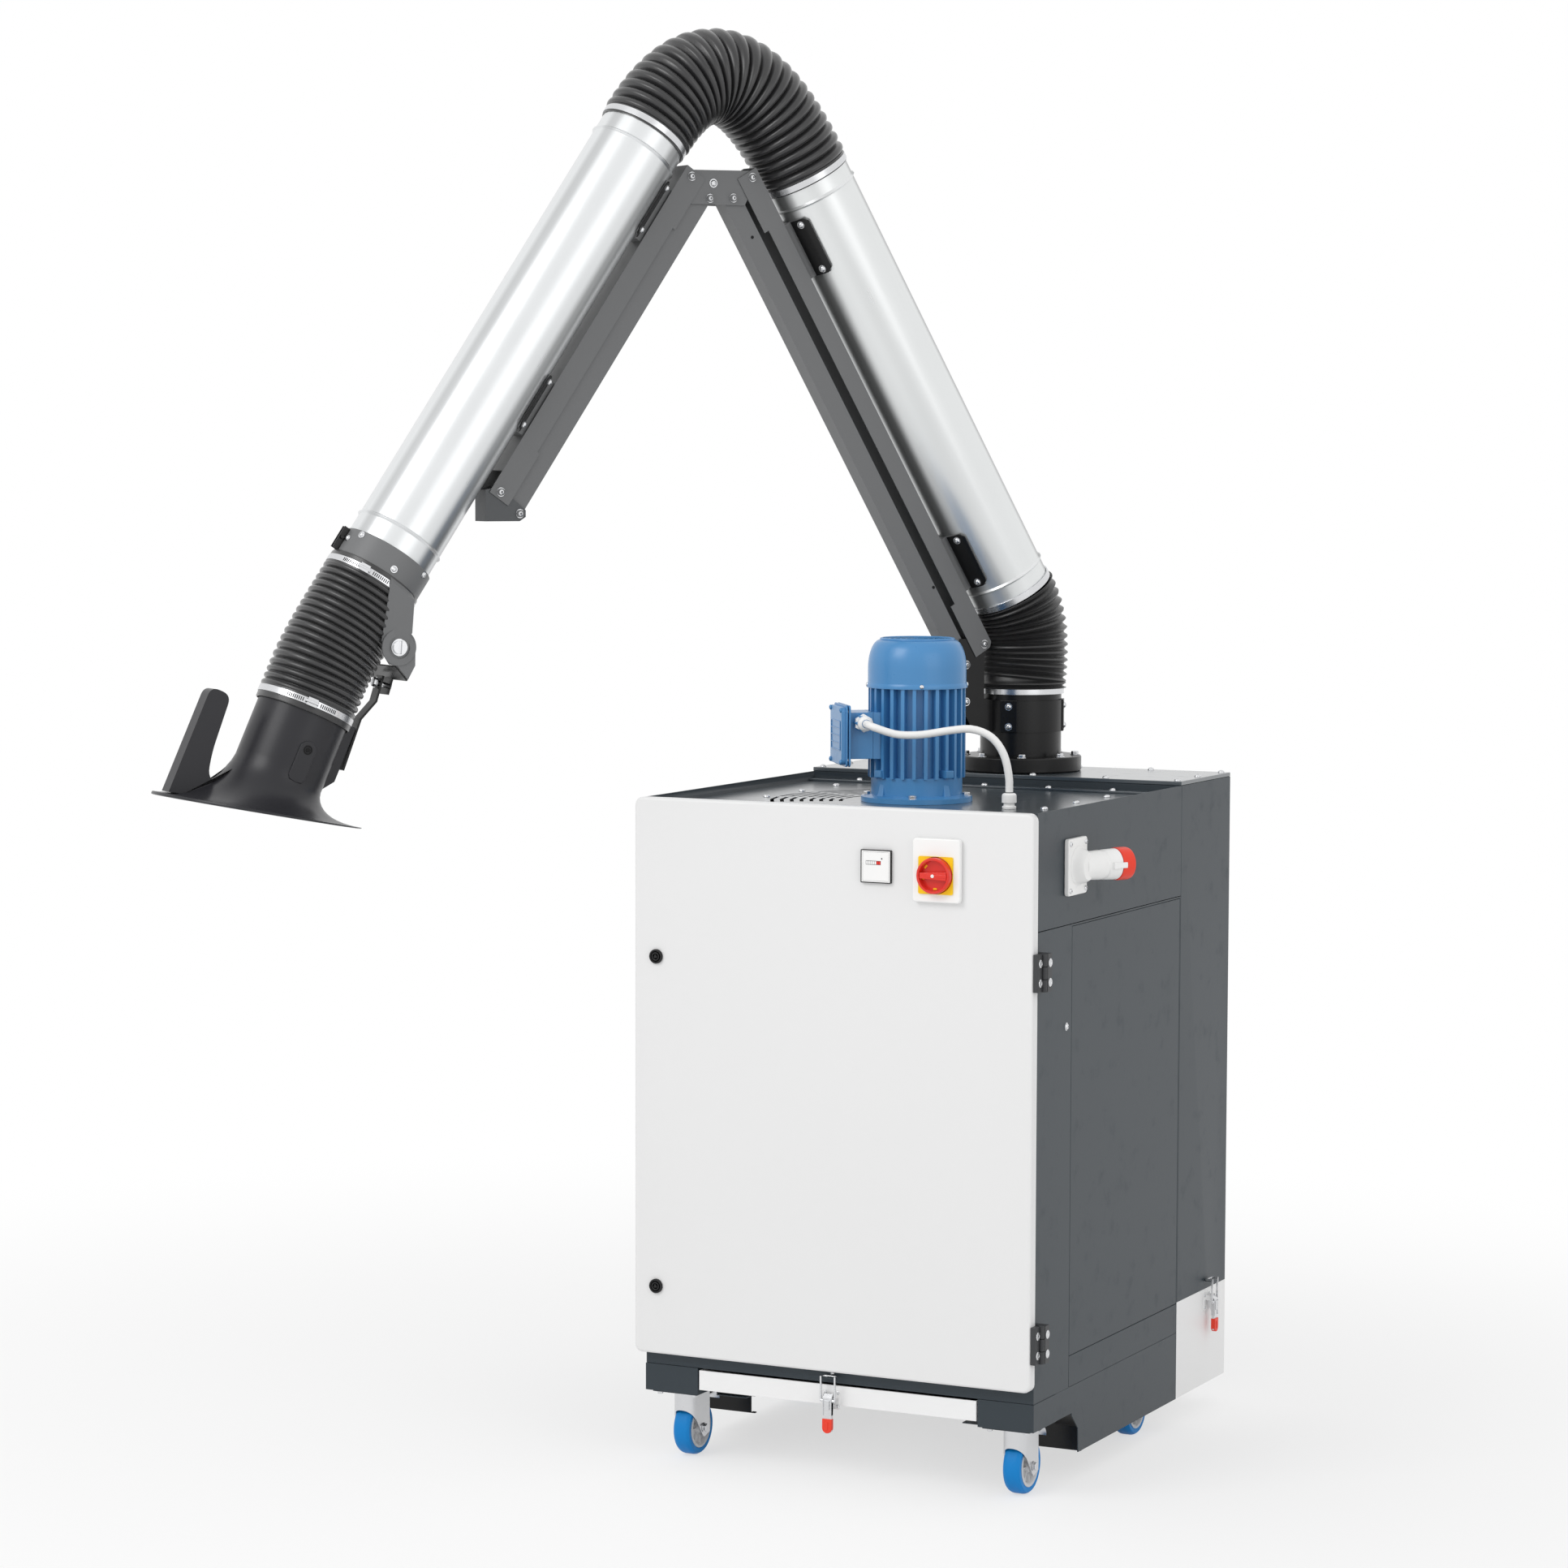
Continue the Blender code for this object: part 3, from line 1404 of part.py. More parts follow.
def make_column_bracket():
    inner = pipe_radius + seat_gap
    bracket = node("column_bracket", pipe(inner, inner + clamp_wall, clamp_bottom, clamp_top), black_paint,
                   parent=arm_frame)
    p = base_pivot
    right = p.x - sheet
    top = p.y + bracket_top_lift
    foot = pipe_radius + clamp_wall / 2
    outline = [
        (foot * 0.97, clamp_bottom), (bracket_foot, clamp_bottom), (bracket_outer, bracket_knee_height),
        (bracket_outer, top - pivot_ear), (bracket_outer - pivot_ear / 2, top),
    ]
    outline += arc((p.x, p.y), bracket_top_lift, math.pi / 2, math.pi * 1.25, 5)
    outline += [(right, p.y - 2 * pivot_ear), (right, clamp_top + clamp_wall), (foot * 0.97, clamp_top)]
    add(bracket, prism(outline, plate_in, plate_out, "Y"), prism(outline, -plate_out, -plate_in, "Y"))
    web = bracket_knee_height + plate
    add(bracket, box(bracket_outer - plate, bracket_outer, -plate_in - plate / 2, plate_in + plate / 2,
                     web, web + bracket_web_height / 3))
    cut(bracket, cylinder(pipe_radius + seat_gap, clamp_bottom - cut_overrun, cabinet_top * 2))
    cut(bracket, hole_at(p.x, p.y), hole_at(base_inner.x, base_inner.y))
    return bracket


def make_beam(name, parent, length, up, down, down_middle, saddles, cut_start, cut_end):
    """Outer channel: web above, flanges outside the plates, with its pins and tube saddles."""
    over = cut_overrun
    beam = node(
        name,
        box(-beam_end, length + beam_end, -beam_half, beam_half, -down, up),
        grey_paint,
        parent=parent,
    )
    cut(
        beam,
        box(-beam_end - over, length + beam_end + over, -beam_inner_half, beam_inner_half, -down - over,
            up - channel_wall),
        box(beam_step, length - beam_step, -beam_half - over, beam_half + over, -down - over, -down_middle),
    )
    if cut_start:
        cut(beam, box(-beam_end - over, web_cut_back, -beam_inner_half, beam_inner_half, -down - over, up + over))
        corner = beam_end / 2
        cut(beam, prism([(-beam_end - over, up - 2 * corner), (-beam_end + 2 * corner, up + over),
                         (-beam_end - over, up + over)], -beam_half - over, beam_half + over, "Y"))
    if cut_end:
        cut(beam, box(length - web_cut_back, length + beam_end + over, -beam_inner_half, beam_inner_half,
                      -down - over, up + over))
    for along in (0, length):
        add(beam, *pin_at(along, 0, beam_half - seat_gap))
    for centre in saddles:
        add(beam, saddle_leg(centre, up), saddle_shell(centre))
    return beam


def saddle_leg(centre, up):
    half = saddle_length / 2
    top = tube_offset - tube_radius - 3 * seat_gap
    return box(centre - half, centre + half, -saddle_leg_half, saddle_leg_half, up - channel_wall / 2, top)


def saddle_shell(centre):
    half = saddle_length / 2
    steps = 6
    inner = (tube_radius + seat_gap) / math.cos(saddle_half_angle / steps)
    outer = inner + saddle_wall
    down = -math.pi / 2
    section = arc((0, tube_offset), outer, down - saddle_half_angle, down + saddle_half_angle, steps)
    section += arc((0, tube_offset), inner, down + saddle_half_angle, down - saddle_half_angle, steps)
    return prism(section, centre - half, centre + half, "X")


def make_link(name, parent, length, up, down):
    """Inner channel between the plates: web below, open above, with its pins."""
    over = cut_overrun
    link = node(
        name,
        box(-link_end, length + link_end, -link_inner_half, link_inner_half, -down, up),
        grey_paint,
        parent=parent,
    )
    inside = link_inner_half - channel_wall
    cut(link, box(-link_end - over, length + link_end + over, -inside, inside, -down + channel_wall, up + over))
    for along in (0, length):
        add(link, *pin_at(along, 0, plate_out + seat_gap))
    return link


def make_tube(name, parent, start, end, beads):
    def bead(centre):
        half = bead_width / 2
        return [(tube_radius, centre - half), (tube_radius + bead_height, centre), (tube_radius, centre + half)]

    inner = tube_radius - tube_wall
    profile = [(tube_radius, start)]
    for centre in beads:
        profile += bead(centre)
    profile += [(tube_radius, end), (inner, end), (inner, start)]
    tube = turned(profile)
    moved(tube, (0, 0, tube_offset), math.pi / 2, "Y")
    return smooth(node(name, tube, galvanised, parent=parent))


def make_elbow():
    """Two plates and a web, in the frame of the lower arm's outer pivot."""
    q = Vector((0, 0))
    r = Vector((elbow_span, -elbow_drop))
    top = elbow_above
    low = -elbow_below
    outline = arc(q, pivot_ear, math.pi / 2, math.pi, 4)
    outline += [(pivot_step - pivot_ear - elbow_side, low), (r.x + elbow_side, low)]
    outline += arc(r, pivot_ear, 0, math.pi / 2, 4)
    elbow = node("elbow_bracket", prism(outline, plate_in, plate_out, "Y"), black_paint, parent=elbow_frame)
    web = box(elbow_web_inset, r.x - elbow_web_inset, -plate_in - plate / 2, plate_in + plate / 2,
              top - elbow_drop - plate, top - elbow_drop)
    add(elbow, web)
    add(elbow, prism(outline, -plate_out, -plate_in, "Y"))
    inner = Vector((pivot_step, -pivot_step))
    mirrored = r + Vector((-pivot_step, -pivot_step))
    cut(elbow, *[hole_at(p.x, p.y) for p in (q, r, inner, mirrored)])


def make_end_bracket():
    inner = Vector((-pivot_step, -pivot_step))
    outline = arc((0, 0), pivot_ear - sheet, math.pi / 2, math.pi, 3)
    outline += [(inner.x - end_tail, inner.y + end_tail / 2), (inner.x - end_tail, inner.y - end_tail / 2)]
    outline += [(inner.x, -end_web_bottom), (end_web_reach, -end_web_bottom), (end_web_reach, end_web_top)]
    bracket = node("end_bracket", prism(outline, plate_in, plate_out, "Y"), black_paint, parent=end_frame)
    add(bracket, box(end_web_reach - plate, end_web_reach, -plate_in - plate / 2, plate_in + plate / 2,
                     -end_web_bottom, end_web_top))
    add(bracket, prism(outline, -plate_out, -plate_in, "Y"))
    cut(bracket, hole_at(0, 0), hole_at(inner.x, inner.y))


# Hoses
def bezier(p0, p1, p2, p3, t):
    a = 1 - t
    return p0 * a ** 3 + p1 * 3 * a * a * t + p2 * 3 * a * t * t + p3 * t ** 3


def hose_path(start, start_way, end, end_way, handles):
    """Points and headings of a hose's middle line between two ends, in the arm's plane."""
    c1 = start + start_way * handles[0]
    c2 = end - end_way * handles[1]
    count = 2 * hose_rings
    points = [bezier(start, c1, c2, end, i / count) for i in range(count + 1)]
    ways = []
    for i, point in enumerate(points):
        before = points[max(i - 1, 0)]
        after = points[min(i + 1, count)]
        ways.append((after - before).normalized())
    ways[0], ways[-1] = start_way.normalized(), end_way.normalized()
    return list(zip(points, ways))


def hose(name, stations):
    """A hollow hose through stations of point, heading and inner radius, in the arm's plane."""
    rings = []
    for wall, order in ((hose_wall, stations), (0.0, stations[::-1])):
        for point, way, radius in order:
            side = Vector((-way.y, way.x))
            ring = []
            for i in range(hose_sides):
                angle = 2 * math.pi * i / hose_sides
                across = side * (radius + wall) * math.cos(angle)
                ring.append((point.x + across.x, (radius + wall) * math.sin(angle), point.y + across.y))
            rings.append(ring)
    return smooth(node(name, lofted(rings), black_fabric, parent=arm_frame))


def sleeve(radius):
    """Inner radius of a hose whose flats clear a round of this radius."""
    return (radius + seat_gap) / math.cos(math.pi / hose_sides)


def make_base_hose():
    over_pipe = sleeve(pipe_radius)
    over_tube = sleeve(tube_radius)
    up = Vector((0, 1))
    lean = Vector((-base_hose_lean, 1)).normalized()
    way = polar(lower_angle)
    end = on_link(base_pivot, lower_angle, lower_tube_start, tube_offset)
    path = hose_path(Vector((0, pipe_top)), lean, end, way, base_hose_handles)
    stations = [(Vector((0, base_hose_start)), up, over_pipe), (Vector((0, pipe_top)), up, over_pipe)]
    inner = path[2:-1]
    for i, (point, heading) in enumerate(inner):
        share = (i + 1) / len(inner)
        stations.append((point, heading, over_pipe + (over_tube - over_pipe) * share))
    stations.append((end, way, over_tube))
    tip = on_link(base_pivot, lower_angle, lower_bead_start - bead_width, tube_offset)
    stations.append((tip, way, over_tube))
    hose("base_hose", stations)


def make_elbow_hose():
    over_tube = sleeve(tube_radius)
    start_way, end_way = polar(lower_angle), polar(fore_angle)
    start = on_link(base_pivot, lower_angle, lower_tube_end - 2 * bead_width / 3, tube_offset)
    end = on_link(fore_pivot, fore_angle, fore_tube_start + 2 * bead_width / 3, tube_offset)
    path = hose_path(start, start_way, end, end_way, (elbow_hose_handle, elbow_hose_handle))
    stations = [(start - start_way * elbow_hose_grip, start_way, over_tube)]
    stations += [(point, heading, over_tube) for point, heading in path]
    stations.append((end + end_way * elbow_hose_grip, end_way, over_tube))
    split_hose("elbow_hose_lower", "elbow_hose_upper", stations)


def make_hood_hose():
    over_tube = sleeve(tube_radius)
    over_neck = sleeve(hood_neck_radius)
    start_way, end_way = polar(fore_angle), polar(hood_angle)
    start = on_link(fore_pivot, fore_angle, fore_tube_end, tube_offset)
    end = hood_centre + end_way * hood_neck_start
    path = hose_path(start, start_way, end, end_way, (hood_hose_handle, hood_hose_handle))
    head = on_link(fore_pivot, fore_angle, collar_end + turn_gap * 4, tube_offset)
    stations = [(head, start_way, over_tube), (start, start_way, over_tube)]
    stations += [(point, heading, hood_hose_slim) for point, heading in path[2:-2]]
    stations += [(end, end_way, over_neck), (hood_centre + end_way * hood_hose_cover, end_way, over_neck)]
    split_hose("hood_hose_upper", "hood_hose_lower", stations)


def split_hose(first, second, stations):
    """Two halves that meet face to face at the joint that bends the hose."""
    middle = len(stations) // 2
    point, way, radius = stations[middle]
    hose(first, stations[:middle] + [(point - way * seat_gap / 2, way, radius)])
    hose(second, [(point + way * seat_gap / 2, way, radius)] + stations[middle + 1:])


# Hood and its joint
def make_collar():
    inner = tube_radius + seat_gap
    outer = inner + collar_wall
    ring = pipe(inner, outer, collar_start, collar_end)
    moved(ring, (0, 0, tube_offset), math.pi / 2, "Y")
    collar = node("hood_collar", ring, black_paint, parent=fore_frame)
    axis = tube_offset
    pivot_x = collar_end + tilt_pivot_x
    pivot_z = axis - tilt_pivot_off
    yoke_out = yoke_half + plate
    bite = axis - math.sqrt(inner ** 2 - yoke_half ** 2) - seat_gap
    low = pivot_z - yoke_plate_radius
    outline = [
        (collar_start + bead_width, low), (collar_start + bead_width, bite), (collar_end - sheet, bite),
        (collar_end + sheet, axis - yoke_top),
    ]
    outline += arc((pivot_x, pivot_z), yoke_plate_radius, math.pi / 2, -math.pi / 2, 8)
    for sign in (-1, 1):
        a, b = sign * yoke_half, sign * yoke_out
        add(collar, prism(outline, min(a, b), max(a, b), "Y"))
    reach = 2 * yoke_out
    cut(collar, along_y(cylinder(tilt_pin_radius + turn_gap, -reach, reach, small_segments), (pivot_x, 0, pivot_z)))


def make_fork():
    """Two discs outside the yoke, joined by a web with a tongue, in the frame of the tilt pivot."""
    inner = yoke_half + plate + seat_gap
    outer = inner + plate
    near, far, tip = Vector(fork_web_near), Vector(fork_web_far), Vector(fork_tongue_end)
    cheek = arc((0, 0), disc_radius, math.radians(-25), math.radians(190), 14)
    cheek += [(-disc_radius, near.y), tuple(far), tuple(near), (near.x + disc_radius / 2, near.y + plate)]
    fork = node("hood_fork", prism(cheek, -outer, -inner, "Y"), black_paint, parent=tilt_frame)

    def slab(a, b, half, low_half=None):
        way = (b - a).normalized()
        side = Vector((-way.y, way.x)) * plate
        a, b = a - way * sheet, b + way * sheet
        return prism([tuple(a), tuple(b), tuple(b + side), tuple(a + side)], -half, half, "Y")

    add(fork, slab(near, far, inner + plate / 2))
    add(fork, prism(cheek, inner, outer, "Y"))
    add(fork, slab(far, tip, fork_tongue_half))
    for sign in (-1, 1):
        far_end = sign * (outer + tilt_head)
        near_end = sign * (outer - plate / 2)
        add(fork, along_y(cylinder(tilt_head_radius, min(-far_end, -near_end), max(-far_end, -near_end),
                                   small_segments)))
        start, stop = sign * (yoke_half - plate), sign * outer
        add(fork, along_y(cylinder(tilt_pin_radius, min(-start, -stop), max(-start, -stop), small_segments)))
    middle = (far + tip) / 2
    way = polar(swing_angle)
    start = middle - way * plate
    pin = cylinder(swing_pin_radius, 0, swing_pin_length, small_segments)
    head = cylinder(swing_head_radius, swing_pin_length - swing_head, swing_pin_length, 6)
    for shape in (pin, head):
        moved(shape, (0, 0, 0), math.pi / 2 - swing_angle, "Y")
        moved(shape, (start.x, 0, start.y))
        add(fork, shape)


def strap_points():
    far, tip = Vector(fork_web_far), Vector(fork_tongue_end)
    tab = (far + tip) / 2 + polar(swing_angle) * (strap_out - plate)
    down = polar(swing_angle - math.pi / 2)
    return tab, [tab - down * strap_tab_up, tab + down * strap_tab_down, Vector(strap_knee), Vector(strap_foot)]


def make_strap():
    tab, points = strap_points()
    thick = strap_thickness / 2

    def offset(sign):
        result = []
        for i, point in enumerate(points):
            before = points[max(i - 1, 0)]
            after = points[min(i + 1, len(points) - 1)]
            way = (after - before).normalized()
            result.append(tuple(point + Vector((-way.y, way.x)) * thick * sign))
        return result

    strap = node("hood_strap", prism(offset(1) + offset(-1)[::-1], -strap_half, strap_half, "Y"), black_paint,
                 parent=tilt_frame)
    bore = cylinder(swing_pin_radius + turn_gap, -4 * strap_thickness, 4 * strap_thickness, small_segments)
    moved(bore, (0, 0, 0), math.pi / 2 - swing_angle, "Y")
    cut(strap, moved(bore, (tab.x, 0, tab.y)))


def hood_point(x, radius, angle):
    """A point of the hood at a distance along it, in its own frame: the flare leans and shifts."""
    share = max(0.0, (x - hood_neck_end) / (hood_mouth_x - hood_neck_end))
    centre_x = x
    centre_z = hood_mouth_z * share
    lean = hood_mouth_tilt * share
    across = radius * math.cos(angle)
    return (centre_x - math.sin(lean) * across, radius * math.sin(angle), centre_z + math.cos(lean) * across)


def hood_profile():
    """Outer profile of the hood: its neck, then a quarter ellipse out to the rim."""
    profile = [(hood_neck_start, hood_neck_radius), (hood_neck_end, hood_neck_radius)]
    for share in hood_flare_shares:
        flare = 1 - math.sqrt(1 - share ** 2)
        profile.append((
            hood_neck_end + (hood_mouth_x - hood_neck_end) * share,
            hood_neck_radius + (hood_rim_radius - hood_neck_radius) * flare,
        ))
    return profile


def inner_profile(profile):
    result = []
    for i, (x, radius) in enumerate(profile):
        before = Vector(profile[max(i - 1, 0)])
        after = Vector(profile[min(i + 1, len(profile) - 1)])
        way = (after - before).normalized()
        if i == len(profile) - 1:
            way = Vector((0, 1))
        result.append((x + way.y * hood_wall, radius - way.x * hood_wall))
    return result


def make_hood():
    outer = hood_profile()
    inner = inner_profile(outer)
    rings = []
    for x, radius in outer + inner[::-1]:
        rings.append([hood_point(x, radius, 2 * math.pi * i / round_segments) for i in range(round_segments)])
    hood = node("hood", lofted(rings), black_plastic, parent=hood_frame)
    # handle that stands on the far side of the rim
    base = []
    for (ox, orad), (ix, irad) in list(zip(outer, inner))[4:]:
        x, _, z = hood_point((ox + ix) / 2, (orad + irad) / 2, 0.0)
        if z < handle_out:
            base.append((x, z))
    top = [
        (handle_low + handle_round, handle_in_low - handle_round / 2),
        (handle_low, handle_in_low), (handle_top + handle_round, handle_in_top),
        (handle_top, handle_in_top + handle_round), (handle_top, handle_out - handle_round),
        (handle_top + handle_round, handle_out),
    ]
    tip = (base[-1][0] + hood_wall, handle_out)
    outline = [(handle_notch_x, handle_notch_z)] + top + [tip] + base[::-1]
    add(hood, prism(outline, -handle_half, handle_half, "Y"))
    # spine on the near side, that the strap is screwed to
    strap_face = spine_out()
    root = hood_neck_radius - hood_wall / 2
    spine = [(spine_start, -root), (spine_start, -strap_face), (spine_end, -strap_face),
             (hood_neck_end + hood_wall, -root)]
    add(hood, prism(spine, -spine_half, spine_half, "Y"))
    cut(hood, moved(cylinder(hood_neck_radius - hood_wall, hood_neck_start - cut_overrun, hood_neck_end),
                    (0, 0, 0), math.pi / 2, "Y"))
    smooth(hood)


def spine_out():
    """How far out the spine's face lies: just inside the strap's lower stretch."""
    offset = tilt_pivot - hood_centre
    normal = polar(hood_angle + math.pi / 2)
    levels = [-(Vector(p) + offset).dot(normal) for p in (strap_knee, strap_foot)]
    return min(levels) - strap_thickness / 2 - 2 * seat_gap


def make_arm():
    make_swivel()
    make_column_bracket()
    make_beam("lower_beam", lower_frame, lower_length, beam_up, beam_down, beam_down_middle, lower_saddles, True,
              False)
    make_link("lower_link", lower_link_frame, lower_length, lower_link_up, lower_link_down)
    make_tube("lower_tube", lower_frame, lower_tube_start, lower_tube_end, (lower_bead_start, lower_bead_end))
    make_elbow()
    make_beam("fore_beam", fore_frame, fore_length, fore_beam_up, fore_beam_down, fore_beam_down_middle,
              fore_saddles, False, True)
    make_link("fore_link", fore_link_frame, fore_length, fore_link_up, fore_link_down)
    make_tube("fore_tube", fore_frame, fore_tube_start, fore_tube_end, (fore_bead_start, fore_bead_end))
    make_end_bracket()
    make_base_hose()
    make_elbow_hose()
    make_hood_hose()
    make_collar()
    make_fork()
    make_strap()
    make_hood()


def make_body():
    make_cabinet()
    make_side_panel()
    make_base_frame()
    make_deck()
    make_rear_cover()
    make_motor()
    make_cowl()
    make_terminal_box()
    make_cable()
    make_deck_gland()
    make_fan()
    make_filter()
    make_inlet()


def make_front():
    make_door()
    make_hinge("upper", upper_hinge_height)
    make_hinge("lower", lower_hinge_height)
    make_lock("upper", upper_lock_height)
    make_lock("lower", lower_lock_height)
    make_instruments()


def make_drawers():
    make_tray()
    make_bin()
    tray_frame = frame("tray_latch_frame", cabinet_frame,
                       (tray_latch_x, -tray_front_out - latch_pivot_out, tray_pivot_height))
    bin_frame = frame("bin_latch_frame", cabinet_frame,
                      (cabinet_half + latch_pivot_out, bin_latch_depth, bin_pivot_height), (0, 0, math.pi / 2))
    make_latch("tray", tray_frame, tray_keeper_height, tray_pivot_height, seat_gap)
    make_latch("bin", bin_frame, bin_keeper_height, bin_pivot_height, seat_gap)


def make_casters():
    x = cabinet_half - caster_side
    front, rear = front_caster_depth, rear_caster_depth
    make_caster("front_left", -x, front, caster_trail, True)
    make_caster("front_right", x, front, caster_trail, True)
    make_caster("rear_left", -x, rear, 0.0, False)
    make_caster("rear_right", x, rear, 0.0, False)


make_body()
make_front()
make_drawers()
make_casters()
make_arm()
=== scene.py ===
import bpy
import bmesh
import json
import math
from mathutils import Matrix, Vector

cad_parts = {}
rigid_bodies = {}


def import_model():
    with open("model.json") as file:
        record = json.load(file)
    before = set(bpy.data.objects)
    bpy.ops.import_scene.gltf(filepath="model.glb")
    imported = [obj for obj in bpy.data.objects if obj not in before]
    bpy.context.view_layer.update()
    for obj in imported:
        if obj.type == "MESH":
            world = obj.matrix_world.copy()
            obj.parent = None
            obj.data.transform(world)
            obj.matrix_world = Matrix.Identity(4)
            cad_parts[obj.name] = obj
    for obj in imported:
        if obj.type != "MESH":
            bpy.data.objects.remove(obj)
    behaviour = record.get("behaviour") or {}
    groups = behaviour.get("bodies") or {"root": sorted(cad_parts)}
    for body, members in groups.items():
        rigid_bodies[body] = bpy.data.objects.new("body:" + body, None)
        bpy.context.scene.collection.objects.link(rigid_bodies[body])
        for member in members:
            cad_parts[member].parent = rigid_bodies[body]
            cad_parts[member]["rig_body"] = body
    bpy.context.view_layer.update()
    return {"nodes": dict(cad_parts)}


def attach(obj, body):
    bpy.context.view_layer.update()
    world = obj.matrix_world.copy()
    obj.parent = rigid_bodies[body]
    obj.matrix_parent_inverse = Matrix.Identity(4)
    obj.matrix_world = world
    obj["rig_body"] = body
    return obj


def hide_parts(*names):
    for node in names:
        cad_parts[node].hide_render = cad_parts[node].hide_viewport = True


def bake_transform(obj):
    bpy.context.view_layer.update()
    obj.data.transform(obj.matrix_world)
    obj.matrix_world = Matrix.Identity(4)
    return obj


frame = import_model()
nodes = frame["nodes"]


# Places: the cabinet, the arm's plane and each link, as in the part
def shift(x=0, y=0, z=0):
    return Matrix.Translation((x, y, z))


def turn(axis, degrees):
    return Matrix.Rotation(math.radians(degrees), 4, axis)


here = Matrix.Identity(4)
cabinet = shift(0.289, -0.128)
arm = cabinet @ shift(0, 0.8064) @ turn("Z", 236)
lowerArm = arm @ shift(0.0985, 0, 1.4567) @ turn("Y", -59.6)
elbow = arm @ shift(0.6045, 0, 2.3192)
foreArm = arm @ shift(0.7300, 0, 2.3172) @ turn("Y", 55.95)
hoodSpace = arm @ shift(1.4781, 0, 1.3849) @ turn("Y", 65.8)
motor = cabinet @ shift(0, 0.330)


# Camera, as the photograph was taken
view = {"place": (3.5277, -6.8468, 1.8332), "heading": 26.46, "pitch": 85.461, "roll": 0.154, "lens": 98.13,
        "sensor": 36, "clip": 100}
camera = bpy.data.objects.new("camera", bpy.data.cameras.new("camera"))
bpy.context.collection.objects.link(camera)
camera.data.lens = view["lens"]
camera.data.sensor_width = view["sensor"]
camera.data.clip_end = view["clip"]
camera.matrix_world = (Matrix.Translation(view["place"]) @ turn("Z", view["heading"]) @ turn("X", view["pitch"])
                       @ turn("Z", view["roll"]))
bpy.context.scene.camera = camera
bpy.context.scene.view_settings.view_transform = "Standard"


# Shapes: lists of points and faces, joined and placed before they become one mesh
def joined(*shapes):
    points, faces = [], []
    for shape in shapes:
        first = len(points)
        points += shape[0]
        faces += [[first + i for i in face] for face in shape[1]]
    return points, faces


def placed(shape, *places):
    for place in reversed(places):
        shape = [place @ Vector(p) for p in shape[0]], shape[1]
    return shape


def lofted(rings, closed=False):  # rings of the same number of points
    count = len(rings[0])
    points = [Vector(p) for ring in rings for p in ring]
    faces = []
    pairs = [(i, i + 1) for i in range(len(rings) - 1)] + ([(len(rings) - 1, 0)] if closed else [])
    for a, b in pairs:
        for i in range(count):
            j = (i + 1) % count
            faces.append([a * count + i, a * count + j, b * count + j, b * count + i])
    if not closed:
        faces.append([i for i in reversed(range(count))])
        faces.append([(len(rings) - 1) * count + i for i in range(count)])
    return points, faces


def block(x0, x1, y0, y1, z0, z1):
    ring = [(x0, y0), (x1, y0), (x1, y1), (x0, y1)]
    return lofted([[(x, y, z) for x, y in ring] for z in (z0, z1)])


def prism(outline, low, high, axis="Z"):
    order = {"X": lambda a, b, c: (c, a, b), "Y": lambda a, b, c: (a, c, b), "Z": lambda a, b, c: (a, b, c)}[axis]
    return lofted([[order(a, b, c) for a, b in outline] for c in (low, high)])


def circle(radius, sides=32, x=0.0, y=0.0, start=0.0, sweep=360.0):
    full = abs(sweep) > 359.9
    steps = sides if full else sides - 1
    return [(x + radius * math.cos(math.radians(start + sweep * i / steps)),
             y + radius * math.sin(math.radians(start + sweep * i / steps))) for i in range(sides)]


def lathe(profile, sides=48, ring=False):  # points of radius and height, from one end to the other
    points, rows, faces = [], [], []
    for radius, height in profile:
        if radius < 1e-6:
            rows.append([len(points)])
            points.append(Vector((0, 0, height)))
        else:
            rows.append([len(points) + i for i in range(sides)])
            points += [Vector((x, y, height)) for x, y in circle(radius, sides)]
    pairs = list(zip(rows, rows[1:])) + ([(rows[-1], rows[0])] if ring else [])
    for a, b in pairs:
        for i in range(sides):
            j = (i + 1) % sides
            face = [a[i % len(a)], a[j % len(a)], b[j % len(b)], b[i % len(b)]]
            faces.append([v for k, v in enumerate(face) if v not in face[:k]])
    return points, [f for f in faces if len(f) > 2]


def rod(radius, low, high, sides=24, edge=0.0):
    if edge:
        return lathe([(0, low), (radius - edge, low), (radius, low + edge), (radius, high - edge),
                      (radius - edge, high), (0, high)], sides)
    return lathe([(0, low), (radius, low), (radius, high), (0, high)], sides)


def pipe(inner, outer, low, high, sides=64):
    return lathe([(inner, low), (outer, low), (outer, high), (inner, high)], sides, ring=True)


def roundedBox(x0, x1, y0, y1, radius, steps=5):
    points = []
    for cx, cy, start in ((x1 - radius, y1 - radius, 0), (x0 + radius, y1 - radius, 90),
                          (x0 + radius, y0 + radius, 180), (x1 - radius, y0 + radius, 270)):
        points += circle(radius, steps, cx, cy, start, 90)
    return points


def alongX(shape):
    return placed(shape, turn("Y", 90))


def swept(points, radius, sides=16):  # a round wire or cable through points
    points = [Vector(p) for p in points]
    side, rings = None, []
    for i, point in enumerate(points):
        way = (points[min(i + 1, len(points) - 1)] - points[max(i - 1, 0)]).normalized()
        side = (way.orthogonal() if side is None else side - way * side.dot(way)).normalized()
        other = way.cross(side)
        rings.append([point + side * a + other * b for a, b in circle(radius, sides)])
    return lofted(rings)


def smoothPath(points, perSpan=6):
    points = [Vector(p) for p in points]
    full = [2 * points[0] - points[1]] + points + [2 * points[-1] - points[-2]]
    path = []
    for a, b, c, d in zip(full, full[1:], full[2:], full[3:]):
        for k in range(perSpan):
            t = k / perSpan
            path.append(0.5 * (2 * b + (c - a) * t + (2 * a - 5 * b + 4 * c - d) * t * t
                               + (3 * b - a - 3 * c + d) * t ** 3))
    return path + [points[-1]]


